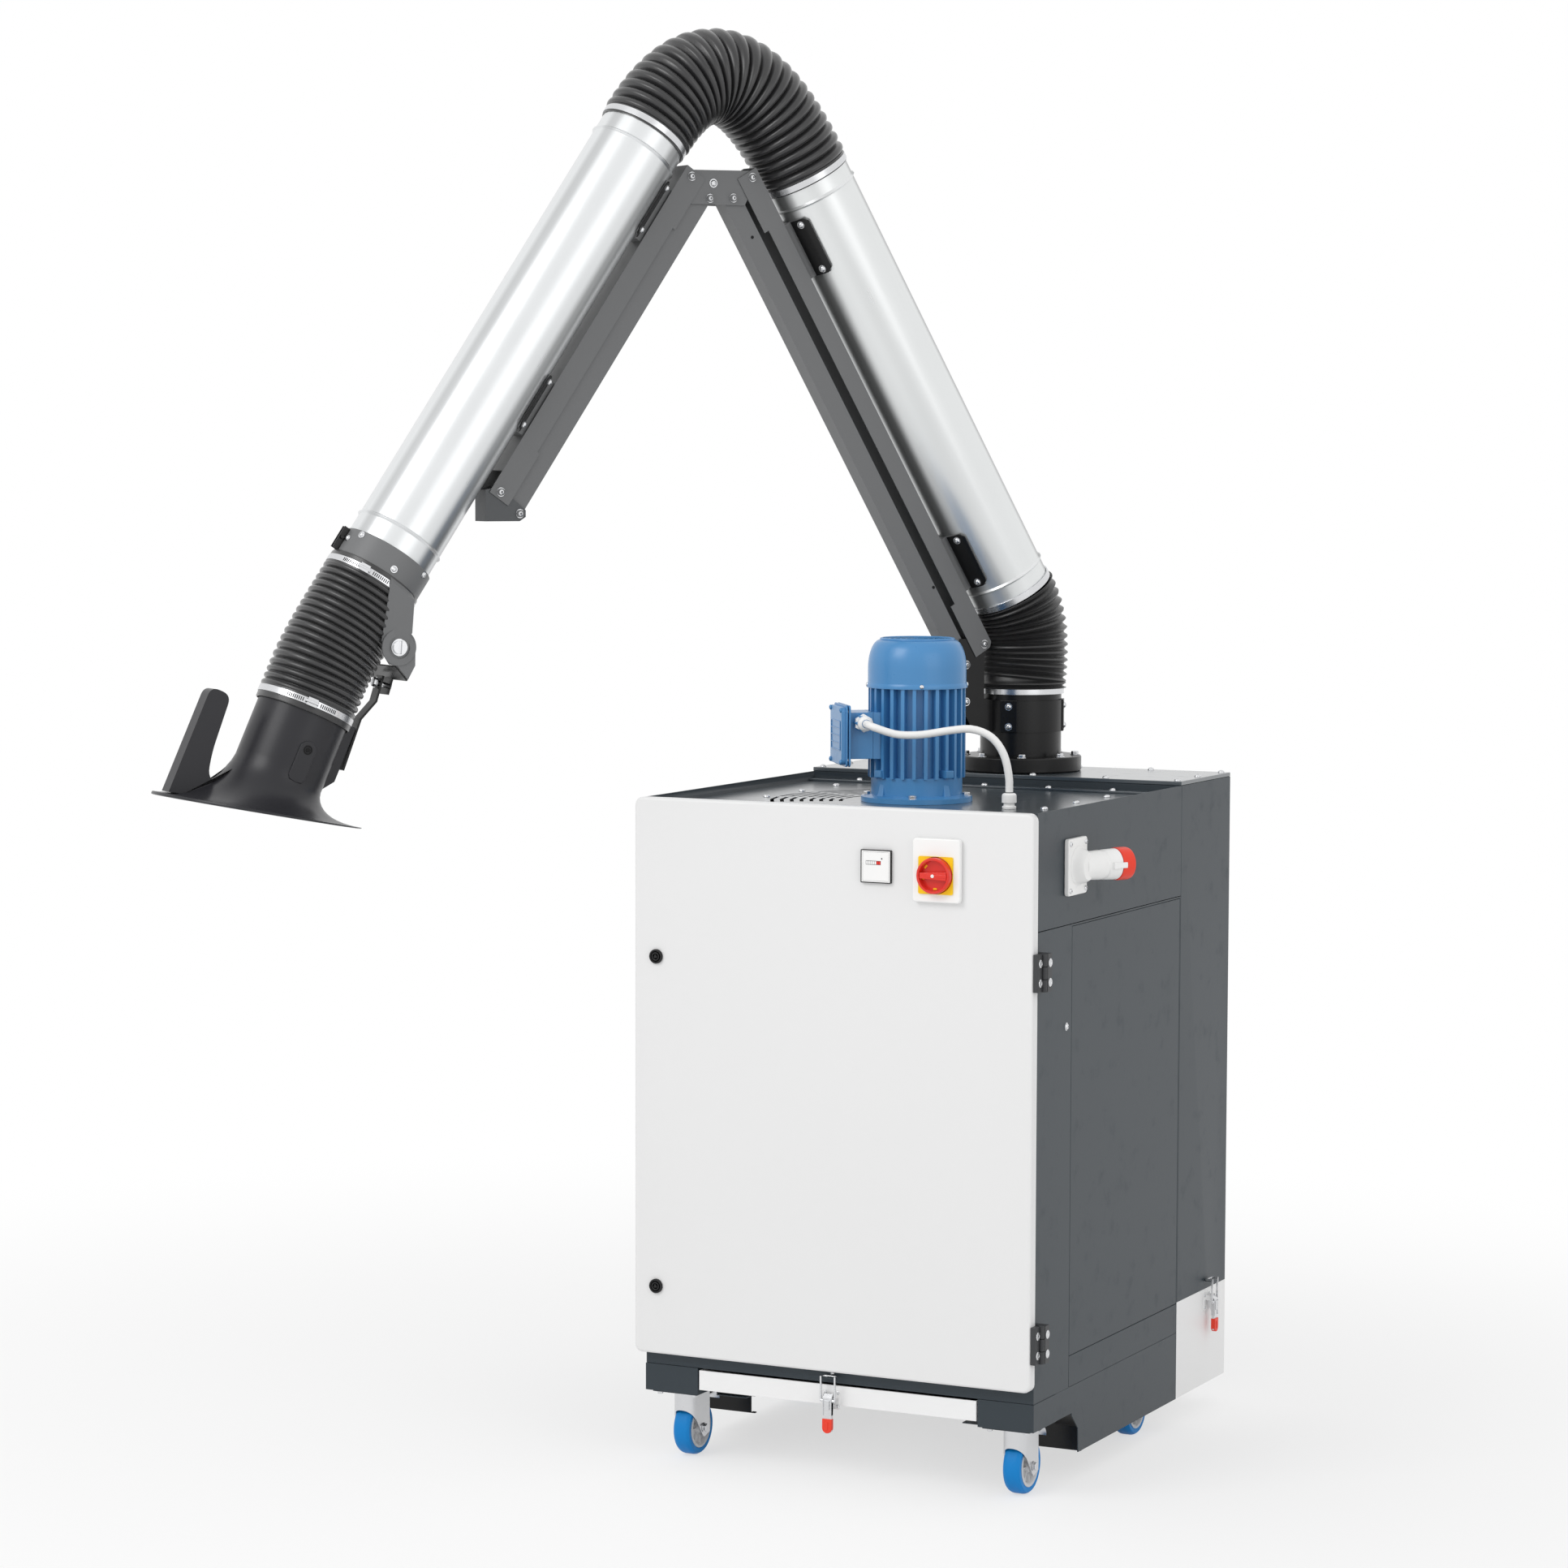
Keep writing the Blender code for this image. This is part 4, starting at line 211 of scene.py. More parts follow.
def bezier(a, b, c, d, steps=24):
    a, b, c, d = Vector(a), Vector(b), Vector(c), Vector(d)
    path = []
    for k in range(steps + 1):
        t = k / steps
        path.append(a * (1 - t) ** 3 + 3 * b * t * (1 - t) ** 2 + 3 * c * t * t * (1 - t) + d * t ** 3)
    return path


def meshFrom(name, shape, place=here):
    mesh = bpy.data.meshes.new(name)
    shape = placed(shape, place)
    mesh.from_pydata(shape[0], [], shape[1])
    work = bmesh.new()
    work.from_mesh(mesh)
    bmesh.ops.recalc_face_normals(work, faces=work.faces)
    work.to_mesh(mesh)
    work.free()
    return mesh


def applied(piece):
    bpy.context.view_layer.update()
    graph = bpy.context.evaluated_depsgraph_get()
    mesh = bpy.data.meshes.new_from_object(piece.evaluated_get(graph))
    piece.modifiers.clear()
    piece.data = mesh
    return piece


def newObject(name, mesh):
    piece = bpy.data.objects.new(name, mesh)
    bpy.context.collection.objects.link(piece)
    return piece


def softEdges(piece, width, segments=2, angle=30, byWeight=False):
    bevel = piece.modifiers.new("edges", "BEVEL")
    bevel.width = width
    bevel.segments = segments
    bevel.limit_method = "WEIGHT" if byWeight else "ANGLE"
    bevel.angle_limit = math.radians(angle)
    bevel.harden_normals = True
    bevel.use_clamp_overlap = True
    applied(piece)


def shaded(piece, angle=35):
    piece.data.shade_smooth()
    piece.data.set_sharp_from_angle(angle=math.radians(angle))
    even = piece.modifiers.new("even", "WEIGHTED_NORMAL")  # large flat faces stay flat
    even.keep_sharp = True
    applied(piece)


def coated(piece, finish):
    piece.data.materials.clear()
    piece.data.materials.append(finish)


def finished(piece, body, finish, slot, standsFor=()):
    coated(piece, finish)
    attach(piece, body)
    if standsFor:
        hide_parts(*standsFor)
    return piece


def makePiece(name, shape, body, look, place=here, edge=0.0, segments=2, angle=30, smooth=35, standsFor=()):
    piece = newObject(name, meshFrom(name, shape, place))
    shaded(piece, smooth)
    if edge:
        softEdges(piece, edge, segments, angle)
        shaded(piece, smooth)
    return finished(piece, body, looks[look][0], looks[look][1], standsFor)


def carved(shape, *cutters):  # a mesh with other shapes cut away
    piece = newObject("carved", meshFrom("carved", shape))
    tools = []
    for cutter in cutters:
        tool = newObject("cutter", meshFrom("cutter", cutter))
        tools.append(tool)
        cut = piece.modifiers.new("cut", "BOOLEAN")
        cut.operation = "DIFFERENCE"
        cut.object = tool
        applied(piece)
    mesh = piece.data
    shape = [v.co.copy() for v in mesh.vertices], [list(f.vertices) for f in mesh.polygons]
    for each in tools + [piece]:
        bpy.data.objects.remove(each, do_unlink=True)
    return shape


def dressed(node, look, edge, longest, angle=32):
    work = bmesh.new()
    work.from_mesh(nodes[node].data)
    bmesh.ops.remove_doubles(work, verts=work.verts, dist=0.00002)
    bmesh.ops.dissolve_limit(work, angle_limit=math.radians(0.6), verts=work.verts, edges=work.edges)
    mesh = bpy.data.meshes.new(node)
    work.to_mesh(mesh)
    if longest:  # only long outer folds get a radius
        weight = mesh.attributes.new("bevel_weight_edge", "FLOAT", "EDGE")
        work.edges.ensure_lookup_table()
        for edgeOf in work.edges:
            sharp = len(edgeOf.link_faces) == 2 and edgeOf.calc_face_angle_signed() > math.radians(angle)
            weight.data[edgeOf.index].value = 1.0 if sharp and edgeOf.calc_length() > longest else 0.0
    work.free()
    piece = newObject(node + "_dressed", mesh)
    shaded(piece)
    if edge:
        softEdges(piece, edge, angle=angle, byWeight=bool(longest))
        shaded(piece)
    return finished(piece, nodes[node]["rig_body"], looks[look][0], looks[look][1], (node,))


# Finishes: one class wraps a socket so that sums of masks read as sums
class Wire:
    def __init__(self, sheet, socket):
        self.sheet, self.socket = sheet, socket

    def maths(self, operation, *values):
        return self.sheet.add("ShaderNodeMath", {"operation": operation}, dict(enumerate(values)))

    def __add__(self, other): return self.maths("ADD", self, other)
    def __radd__(self, other): return self.maths("ADD", other, self)
    def __sub__(self, other): return self.maths("SUBTRACT", self, other)
    def __rsub__(self, other): return self.maths("SUBTRACT", other, self)
    def __mul__(self, other): return self.maths("MULTIPLY", self, other)
    def __rmul__(self, other): return self.maths("MULTIPLY", other, self)
    def __truediv__(self, other): return self.maths("DIVIDE", self, other)
    def __pow__(self, other): return self.maths("POWER", self, other)

    def between(self, low, high):  # 0 below low, 1 above high
        return self.sheet.add("ShaderNodeMapRange", {"interpolation_type": "SMOOTHSTEP"},
                              {"Value": self, "From Min": low, "From Max": high})


class Sheet:
    def __init__(self, name, tree=None):
        if tree is None:
            self.material = bpy.data.materials.new(name)
            self.material.use_nodes = True
            tree = self.material.node_tree
        self.tree = tree
        self.tree.nodes.clear()

    def add(self, kind, settings=None, values=None, out=0):
        node = self.tree.nodes.new(kind)
        for key, value in (settings or {}).items():
            if key == "stops":
                while len(node.color_ramp.elements) < len(value):
                    node.color_ramp.elements.new(0.5)
                for element, (at, tone) in zip(node.color_ramp.elements, value):
                    element.position, element.color = at, tone
            else:
                setattr(node, key, value)
        for key, value in (values or {}).items():
            if isinstance(value, Wire):
                self.tree.links.new(value.socket, node.inputs[key])
            else:
                node.inputs[key].default_value = value
        return Wire(self, node.outputs[out]) if node.outputs else node

    def place(self, space=None, scale=(1, 1, 1)):
        at = self.add("ShaderNodeTexCoord", out="Object")
        if space is not None:
            at = self.add("ShaderNodeMapping", {"vector_type": "TEXTURE"}, {
                "Vector": at, "Location": space.to_translation(), "Rotation": space.to_euler()})
        if tuple(scale) != (1, 1, 1):
            at = self.add("ShaderNodeMapping", {}, {"Vector": at, "Scale": scale})
        return at

    def noise(self, at, scale, detail=3.0, rough=0.5):
        return self.add("ShaderNodeTexNoise", {}, {"Vector": at, "Scale": scale, "Detail": detail,
                                                    "Roughness": rough})

    def tone(self, mask, low, high):
        return self.add("ShaderNodeMix", {"data_type": "RGBA"}, {"Factor": mask, 6: low, 7: high}, out=2)

    def bump(self, height, distance, strength=1.0):
        return self.add("ShaderNodeBump", {}, {"Height": height, "Distance": distance, "Strength": strength})

    def close(self, values):
        shader = self.add("ShaderNodeBsdfPrincipled", {}, values)
        self.add("ShaderNodeOutputMaterial", {}, {"Surface": shader})
        return self.material


def srgb(*levels):
    tone = [level / 255 for level in levels]
    return tuple([c / 12.92 if c <= 0.04045 else ((c + 0.055) / 1.055) ** 2.4 for c in tone]) + (1.0,)


def scaled(colour, by):
    return tuple(min(1.0, c * by) for c in colour[:3]) + (1.0,)


def paint(name, colour, rough=0.42, grain=420.0, depth=0.00006, spread=0.03, metal=0.0, coat=0.0, dust=0.0, gloss=0.3):
    sheet = Sheet(name)  # powder coat: fine peel, a little uneven, faint wear in its gloss
    at = sheet.place()
    broad = sheet.noise(at, 3.1, 4.0)
    peel = sheet.noise(at, grain, 2.0)
    worn = sheet.noise(at, 23.0, 6.0, 0.62).between(0.52, 0.78)
    base = sheet.tone(broad, scaled(colour, 1 - spread), scaled(colour, 1 + spread))
    if dust:
        base = sheet.tone(worn * dust, base, srgb(196, 192, 186))
    return sheet.close({"Base Color": base, "Roughness": worn * 0.09 + (rough - 0.02) + peel * 0.05,
                        "Metallic": metal, "Coat Weight": coat, "Coat Roughness": 0.2, "Specular IOR Level": gloss,
                        "Normal": sheet.bump(peel, depth, 0.6)})


def plated(name, colour, rough=0.3, space=None, streak=(1, 1, 1), depth=0.00002, metal=1.0, spread=0.06, scale=60.0,
           painted_reflection_bands=()):
    sheet = Sheet(name)  # rolled or plated sheet, with marks along its rolling
    at = sheet.place(space, streak)
    marks = sheet.noise(at, scale, 5.0, 0.6)
    cloud = sheet.noise(sheet.place(), 9.0, 3.0)
    base = sheet.tone(marks * 0.6 + cloud * 0.4, scaled(colour, 1 - spread), scaled(colour, 1 + spread))
    if painted_reflection_bands:  # painted reflection: dark lengthwise bands round a duct; heading from its underside, half width, strength
        split = sheet.tree.nodes.new("ShaderNodeSeparateXYZ")
        sheet.tree.links.new(sheet.place(space).socket, split.inputs[0])
        heading = sheet.add("ShaderNodeMath", {"operation": "ARCTAN2"},
                            {0: Wire(sheet, split.outputs[1]), 1: 0 - Wire(sheet, split.outputs[2])})
        for middle, half, strength in painted_reflection_bands:
            away = sheet.add("ShaderNodeMath", {"operation": "ABSOLUTE"}, {0: heading - math.radians(middle)})
            band = (1 - away.between(math.radians(half * 0.2), math.radians(half))) * strength
            base = sheet.tone(band, base, scaled(colour, 0.12))
    return sheet.close({"Base Color": base, "Roughness": marks * 0.12 + cloud * 0.08 + (rough - 0.1),
                        "Metallic": metal, "Normal": sheet.bump(marks, depth, 0.5)})


def moulded(name, colour, rough=0.4, depth=0.00004, grain=700.0, spread=0.03, coat=0.0, gloss=0.3):
    sheet = Sheet(name)
    at = sheet.place()
    grit = sheet.noise(at, grain, 2.0)
    cloud = sheet.noise(at, 14.0, 4.0)
    base = sheet.tone(cloud, scaled(colour, 1 - spread), scaled(colour, 1 + spread))
    return sheet.close({"Base Color": base, "Roughness": cloud * 0.1 + grit * 0.06 + (rough - 0.08),
                        "Coat Weight": coat, "Specular IOR Level": gloss, "Normal": sheet.bump(grit, depth, 0.5)})


def woven(name, colour, rough=0.5, coat=0.3):
    sheet = Sheet(name)  # coated hose fabric: fine weave, soft creases; random tone that also darkens where the crease bump sinks, partly painted crease shade
    at = sheet.place()
    weave = sheet.add("ShaderNodeTexWave", {"wave_type": "BANDS"}, {"Vector": at, "Scale": 260.0, "Distortion": 1.5,
                                                                    "Detail": 1.0})
    crease_and_shade = sheet.noise(at, 70.0, 4.0, 0.6)
    base = sheet.tone(crease_and_shade, scaled(colour, 0.8), scaled(colour, 1.25))
    return sheet.close({"Base Color": base, "Roughness": crease_and_shade * 0.2 + (rough - 0.1),
                        "Coat Weight": coat, "Coat Roughness": 0.25, "Sheen Weight": 0.12,
                        "Normal": sheet.bump(weave * 0.3 + crease_and_shade * 2.0, 0.0004, 0.5)})


def pleatedPaper(name, colour):
    sheet = Sheet(name)
    at = sheet.place(motor)
    split = sheet.tree.nodes.new("ShaderNodeSeparateXYZ")
    sheet.tree.links.new(at.socket, split.inputs[0])
    heading = sheet.add("ShaderNodeMath", {"operation": "ARCTAN2"},
                        {0: Wire(sheet, split.outputs[1]), 1: Wire(sheet, split.outputs[0])})
    # painted shade: the pleats' valleys are darker, down to 0.7 of the paper's colour
    pleat_and_shade = sheet.add("ShaderNodeMath", {"operation": "SINE"}, {0: heading * 90.0}) * 0.5 + 0.5
    return sheet.close({"Base Color": sheet.tone(pleat_and_shade, scaled(colour, 0.7), colour), "Roughness": 0.85,
                        "Normal": sheet.bump(pleat_and_shade, 0.004, 0.8)})


looks = {
    "door": (paint("door_paint", srgb(231, 231, 231), 0.36, 520.0, spread=0.008), "white_paint"),
    "bin": (paint("bin_paint", srgb(241, 241, 241), 0.36, 520.0, spread=0.012), "white_paint"),
    "slate": (paint("slate_coat", srgb(51, 59, 65), 0.38, 300.0, 0.00010, 0.025), "slate_paint"),
    # slate for top faces: a lighter base colour is a painted highlight for the reflection on upward faces, with a
    # glossier coat
    "slateTopPaintedHighlight": (paint("slate_coat_top_painted_highlight", srgb(68, 76, 82), 0.28, 300.0, 0.00004, 0.025, coat=0.8, gloss=0.5),
                 "slate_paint"),
    "black": (paint("black_coat", srgb(15, 15, 16), 0.28, 380.0, spread=0.05, gloss=0.32), "black_paint"),
    "beam": (paint("beam_coat", srgb(112, 113, 114), 0.4, 420.0, spread=0.03), "grey_paint"),
    "grey": (paint("grey_coat", srgb(84, 86, 88), 0.4, 420.0, spread=0.03), "grey_paint"),
    "motor": (paint("motor_enamel", srgb(74, 138, 192), 0.28, 260.0, 0.00006, 0.03, gloss=0.5), "motor_paint"),
    # the tubes' bands are painted reflections: dark stripes along them
    "lowerTube": (plated("lower_tube_zinc", srgb(230, 232, 232), 0.30, lowerArm @ shift(0, 0, 0.112), (0.04, 1.6, 1.6),
                         metal=0.7, scale=26.0, spread=0.04, painted_reflection_bands=((146, 17, 0.55), (70, 22, 0.12), (12, 26, 0.75))),
                  "galvanised"),
    "foreTube": (plated("fore_tube_zinc", srgb(224, 226, 227), 0.30, foreArm @ shift(0, 0, 0.112), (0.04, 1.6, 1.6),
                        metal=0.7, scale=26.0, spread=0.04, painted_reflection_bands=((58, 17, 0.62), (158, 15, 0.30), (20, 24, 0.45))),
                 "galvanised"),
    "galvanised": (plated("galvanised_sheet", srgb(190, 192, 195), 0.40, None, (1, 1, 1), scale=45.0), "galvanised"),
    "zinc": (plated("bright_zinc_plate", srgb(214, 215, 217), 0.26, None, (1, 1, 4), scale=120.0), "bright_zinc"),
    "blackPlastic": (moulded("black_moulding", srgb(34, 34, 35), 0.42), "black_plastic"),
    "greyPlastic": (moulded("dark_grey_moulding", srgb(62, 63, 65), 0.45), "black_plastic"),
    "whitePlastic": (moulded("white_moulding", srgb(243, 243, 242), 0.30), "white_plastic"),
    "yellow": (moulded("yellow_moulding", srgb(250, 205, 20), 0.34), "white_plastic"),
    "red": (moulded("red_moulding", srgb(224, 48, 36), 0.30, coat=0.3), "red_plastic"),
    "redTip": (moulded("red_sleeve", srgb(236, 66, 46), 0.34), "red_plastic"),
    "tyre": (moulded("blue_tread", srgb(0, 128, 202), 0.5, 0.00008, 300.0, 0.05), "blue_tyre"),
    "hose": (woven("hose_fabric", srgb(19, 19, 21), 0.36, 0.55), "black_fabric"),
    "baseHose": (woven("base_hose_fabric", srgb(9, 9, 10), 0.40, 0.25), "black_fabric"),
    "hub": (moulded("grey_hub", srgb(205, 206, 208), 0.4), "blue_tyre"),
    "shell": (moulded("bell_moulding", srgb(38, 38, 42), 0.34, 0.00005, 420.0, gloss=0.35), "black_paint"),
    "filter": (pleatedPaper("filter_media", srgb(232, 228, 214)), "filter_paper"),
    # near-black, used as painted shade in holes, slots, openings and gaps
    "dark": (moulded("dark_inside", srgb(14, 14, 15), 0.7), "black_plastic"),
}
print("finishes ready")


# Cable from the terminal box down into the deck, the only free cord
cable = {"radius": 0.007, "facing": (0.6018, -0.7986, 0), "exit": (-0.0391, 0.1979, 1.334),
         "end": (0.2186, 0.2491, 1.2180)}
cableRoute = [(-0.0150, 0.1740, 1.3310), (0.0199, 0.1882, 1.3188), (0.0489, 0.1971, 1.3169), (0.0772, 0.2058, 1.3193),
              (0.1163, 0.2177, 1.3262), (0.1511, 0.2284, 1.3294), (0.1800, 0.2373, 1.3202), (0.1992, 0.2431, 1.3023),
              (0.2120, 0.2471, 1.2756), (0.2180, 0.2490, 1.2425)]
cableStart = Vector(cable["exit"]) + Vector(cable["facing"]) * 0.0006
cablePoints = ([cableStart + Vector(cable["facing"]) * 0.007] + [Vector(p) for p in cableRoute]
               + [Vector(cable["end"]) + Vector((0, 0, 0.007))])
cablePath = [cabinet @ p for p in [cableStart] + smoothPath(cablePoints, 3) + [Vector(cable["end"])]]
cableLength = sum((b - a).length for a, b in zip(cablePath, cablePath[1:]))
motorCable = makePiece("motor_lead", swept(cablePath, cable["radius"], 20), "cabinet", "whitePlastic",
                       standsFor=("motor_cable",))
print("cable", round(cableLength, 4))


# Floor, world and lights
studio = {"floorRadius": 16.0, "floorTone": (0.86, 0.86, 0.86, 1), "glow": 0.62, "fade": (1.1, 3.4), "sky": 0.80,
          "key": 95.0, "fill": 22.0, "drop": 0.0004}
floor = newObject("studio_floor", meshFrom("studio_floor", ([(x, y, 0) for x, y in circle(studio["floorRadius"], 64)],
                                                            [list(range(64))])))
floor.data.transform(shift(0, 0, -studio["drop"]))
sheet = Sheet("studio_floor")
across = sheet.add("ShaderNodeVectorMath", {"operation": "LENGTH"}, {0: sheet.place()}, out=1)
lit = sheet.add("ShaderNodeLightPath", out=0) + sheet.add("ShaderNodeLightPath", out=3)
away = (across.between(*studio["fade"]) * (1 - studio["glow"]) + studio["glow"]) * lit.between(0.0, 1.0)
pale = sheet.add("ShaderNodeBsdfPrincipled", {}, {"Base Color": studio["floorTone"], "Roughness": 0.9})
bright = sheet.add("ShaderNodeEmission", {}, {"Color": (1, 1, 1, 1), "Strength": 1.0})
sheet.add("ShaderNodeOutputMaterial", {}, {"Surface": sheet.add("ShaderNodeMixShader", {},
                                                                {0: away, 1: pale, 2: bright})})
coated(floor, sheet.material)
world = bpy.data.worlds.new("studio")
bpy.context.scene.world = world
world.use_nodes = True
sky = Sheet("studio", world.node_tree)
seen = sky.add("ShaderNodeLightPath", out=0) + sky.add("ShaderNodeLightPath",
                                                       out=3) + sky.add("ShaderNodeLightPath", out=6)
soft = sky.add("ShaderNodeBackground", {}, {"Color": (1, 1, 1, 1), "Strength": studio["sky"]})
white = sky.add("ShaderNodeBackground", {}, {"Color": (1, 1, 1, 1), "Strength": 1.0})
sky.add("ShaderNodeOutputWorld", {}, {"Surface": sky.add("ShaderNodeMixShader", {},
                                                         {0: seen.between(0.0, 1.0), 1: soft, 2: white})})


def softLight(name, place, target, size, power):
    lamp = bpy.data.objects.new(name, bpy.data.lights.new(name, "AREA"))
    bpy.context.collection.objects.link(lamp)
    lamp.data.shape = "SQUARE"
    lamp.data.size = size
    lamp.data.energy = power
    aim = (Vector(target) - Vector(place)).to_track_quat("-Z", "Y")
    lamp.matrix_world = Matrix.Translation(place) @ aim.to_matrix().to_4x4()


softLight("key", (-1.6, -4.2, 4.6), (0.1, 0.1, 1.0), 2.6, studio["key"])
softLight("fill", (4.4, -2.0, 2.6), (0.2, 0.2, 1.0), 3.0, studio["fill"])
print("studio ready")


# Geometry Nodes: one tree for fasteners and one for ribbed hose
def newTree(name, inputs):
    tree = bpy.data.node_groups.new(name, "GeometryNodeTree")
    tree.interface.new_socket("Geometry", in_out="INPUT", socket_type="NodeSocketGeometry")
    tree.interface.new_socket("Geometry", in_out="OUTPUT", socket_type="NodeSocketGeometry")
    for label, kind, value in inputs:
        socket = tree.interface.new_socket(label, in_out="INPUT", socket_type="NodeSocket" + kind)
        if value is not None:
            socket.default_value = value
    return Sheet(name, tree)


def grow(piece, sheetOf, inputs):
    step = piece.modifiers.new("grow", "NODES")
    step.node_group = sheetOf.tree
    for item in sheetOf.tree.interface.items_tree:
        if item.in_out == "INPUT" and item.name in inputs:
            step[item.identifier] = inputs[item.name]
    return applied(piece)


fastenerTree = newTree("fasteners", [("Fastener", "Object", None), ("Size", "Float", 1.0), ("Seed", "Int", 3),
                                     ("Finish", "Material", None)])
source = fastenerTree.tree.nodes.new("NodeGroupInput")
inputOf = {socket.name: Wire(fastenerTree, socket) for socket in source.outputs}
facing = fastenerTree.add("GeometryNodeInputNamedAttribute", {"data_type": "FLOAT_VECTOR"}, {"Name": "facing"})
aligned = fastenerTree.add("FunctionNodeAlignRotationToVector", {"axis": "Z"}, {"Vector": facing})
spin = fastenerTree.add("FunctionNodeRandomValue", {"data_type": "FLOAT"}, {"Seed": inputOf["Seed"], 2: 0.0, 3: 6.283},
                        out=1)
spun = fastenerTree.add("FunctionNodeAxisAngleToRotation", {}, {"Axis": (0, 0, 1), "Angle": spin})
both = fastenerTree.add("FunctionNodeRotateRotation", {"rotation_space": "LOCAL"}, {0: aligned, 1: spun})
template = fastenerTree.add("GeometryNodeObjectInfo", {"transform_space": "ORIGINAL"}, {"Object": inputOf["Fastener"]},
                            out=4)
copies = fastenerTree.add("GeometryNodeInstanceOnPoints", {}, {"Points": inputOf["Geometry"], "Instance": template,
                                                               "Rotation": both, "Scale": inputOf["Size"]})
real = fastenerTree.add("GeometryNodeRealizeInstances", {}, {"Geometry": copies})
fastenerTree.add("NodeGroupOutput", {}, {0: fastenerTree.add("GeometryNodeSetMaterial", {},
                                                             {"Geometry": real, "Material": inputOf["Finish"]})})

hoseTree = newTree("ribbed_hose", [("Radius", "Float", 0.078), ("Rib Height", "Float", 0.006), ("Ribs", "Int", 30),
                                   ("Steps", "Int", 6), ("Sides", "Int", 56), ("Gather", "Float", 1.0),
                                   ("Sharp", "Float", 0.0),
                                   ("Finish", "Material", None)])
source = hoseTree.tree.nodes.new("NodeGroupInput")
inputOf = {socket.name: Wire(hoseTree, socket) for socket in source.outputs}
line = hoseTree.add("GeometryNodeMeshToCurve", {}, {"Mesh": inputOf["Geometry"]})
line = hoseTree.add("GeometryNodeResampleCurve", {}, {"Curve": line, "Count": inputOf["Ribs"] * inputOf["Steps"] + 1})
along = hoseTree.add("GeometryNodeSplineParameter") ** inputOf["Gather"]
wave = hoseTree.add("ShaderNodeMath", {"operation": "FRACT"}, {0: along * inputOf["Ribs"]}) * 2 - 1
inward = hoseTree.add("ShaderNodeMath", {"operation": "ABSOLUTE"}, {0: wave})
crest = inward ** 2.4 * (1 - inputOf["Sharp"]) + (1 - inward ** 1.6) * inputOf["Sharp"]  # round lobes, or a sharp wire
ring = hoseTree.add("GeometryNodeCurvePrimitiveCircle", {}, {"Resolution": inputOf["Sides"], "Radius": 1.0})
skin = hoseTree.add("GeometryNodeCurveToMesh", {}, {"Curve": line, "Profile Curve": ring,
                                                    "Scale": inputOf["Radius"] - crest * inputOf["Rib Height"]})
hoseTree.add("NodeGroupOutput", {}, {0: hoseTree.add("GeometryNodeSetMaterial", {},
                                                     {"Geometry": hoseTree.add("GeometryNodeRealizeInstances", {},
                                                                               {"Geometry": skin}),
                                                                                     "Material": inputOf["Finish"]})})


def templateOf(name, shape, edge=0.0):
    piece = newObject(name, meshFrom(name, shape))
    shaded(piece)
    if edge:
        softEdges(piece, edge)
        shaded(piece)
    return piece


def fasteners(name, template, spots, body, look, size=1.0, seed=3):
    piece = newObject(name, bpy.data.meshes.new(name))
    piece.data.from_pydata([Vector(spot) for spot, way in spots], [], [])
    ways = piece.data.attributes.new("facing", "FLOAT_VECTOR", "POINT")
    for item, (spot, way) in zip(ways.data, spots):
        item.vector = Vector(way).normalized()
    grow(piece, fastenerTree, {"Fastener": templates[template], "Size": size, "Seed": seed, "Finish": looks[look][0]})
    return finished(piece, body, *looks[look])


def hose(name, path, body, standsFor, values, blend=None, look="hose"):
    piece = newObject(name, bpy.data.meshes.new(name))
    piece.data.from_pydata([Vector(p) for p in path], [(i, i + 1) for i in range(len(path) - 1)], [])
    grow(piece, hoseTree, dict(values, Finish=looks[look][0]))
    work = bmesh.new()
    work.from_mesh(piece.data)
    bmesh.ops.recalc_face_normals(work, faces=work.faces)
    work.to_mesh(piece.data)
    work.free()
    wall = piece.modifiers.new("wall", "SOLIDIFY")
    wall.thickness = 0.0012
    wall.offset = -1
    applied(piece)
    shaded(piece, 50)
    coated(piece, looks[look][0])
    if blend:
        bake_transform(piece)
    else:
        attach(piece, body)
    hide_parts(*standsFor)
    return piece


def hexHead(across, height, washer=0.0, washerHeight=0.0):
    head = lathe([(0, washerHeight), (across * 0.577, washerHeight), (across * 0.577, washerHeight + height * 0.82),
                  (across * 0.50, washerHeight + height), (0, washerHeight + height)], 6)
    return joined(head, rod(washer, 0, washerHeight, 24)) if washer else head


templates = {
    "hingeCap": templateOf("hinge_cap", lathe([(0, 0), (0.0076, 0), (0.0076, 0.0007), (0.0066, 0.0014),
                                               (0.0040, 0.0014),
                                               (0.0034, 0.0008), (0, 0.0008)], 28)),
    "hexBolt": templateOf("hex_bolt", hexHead(0.0130, 0.0062, 0.0095, 0.0014), 0.0004),
    "smallHex": templateOf("small_hex", hexHead(0.0080, 0.0036, 0.0058, 0.0008), 0.0002),
    "dome": templateOf("dome_screw", lathe([(0, 0), (0.0052, 0), (0.0052, 0.0006), (0.0046, 0.0020), (0.0032, 0.0030),
                                            (0.0019, 0.0033), (0.0019, 0.0018), (0, 0.0016)], 20)),
    "domeBolt": templateOf("dome_bolt", joined(rod(0.0115, 0, 0.0016, 28), lathe(
        [(0, 0.0016), (0.0090, 0.0016), (0.0088, 0.0030), (0.0072, 0.0056), (0.0048, 0.0070), (0.0030, 0.0074),
         (0.0030, 0.0046), (0, 0.0044)], 28))),
    "rivet": templateOf("rivet", lathe([(0, 0), (0.0034, 0), (0.0032, 0.0008), (0.0020, 0.0014), (0, 0.0016)], 16)),
    "slotBolt": templateOf("slot_bolt", joined(
        rod(0.0165, 0, 0.0020, 40, 0.0005),
        *[prism([(x, side * y) for x, y in circle(0.0125, 20, 0, 0.0016, 4, 172)], 0.0020, 0.0072) for side in (1, -1)],
        rod(0.0118, 0.0019, 0.0046, 32)), 0.0005),
}
for each in templates.values():
    each.hide_render = True
    each.hide_viewport = True
print("trees ready")


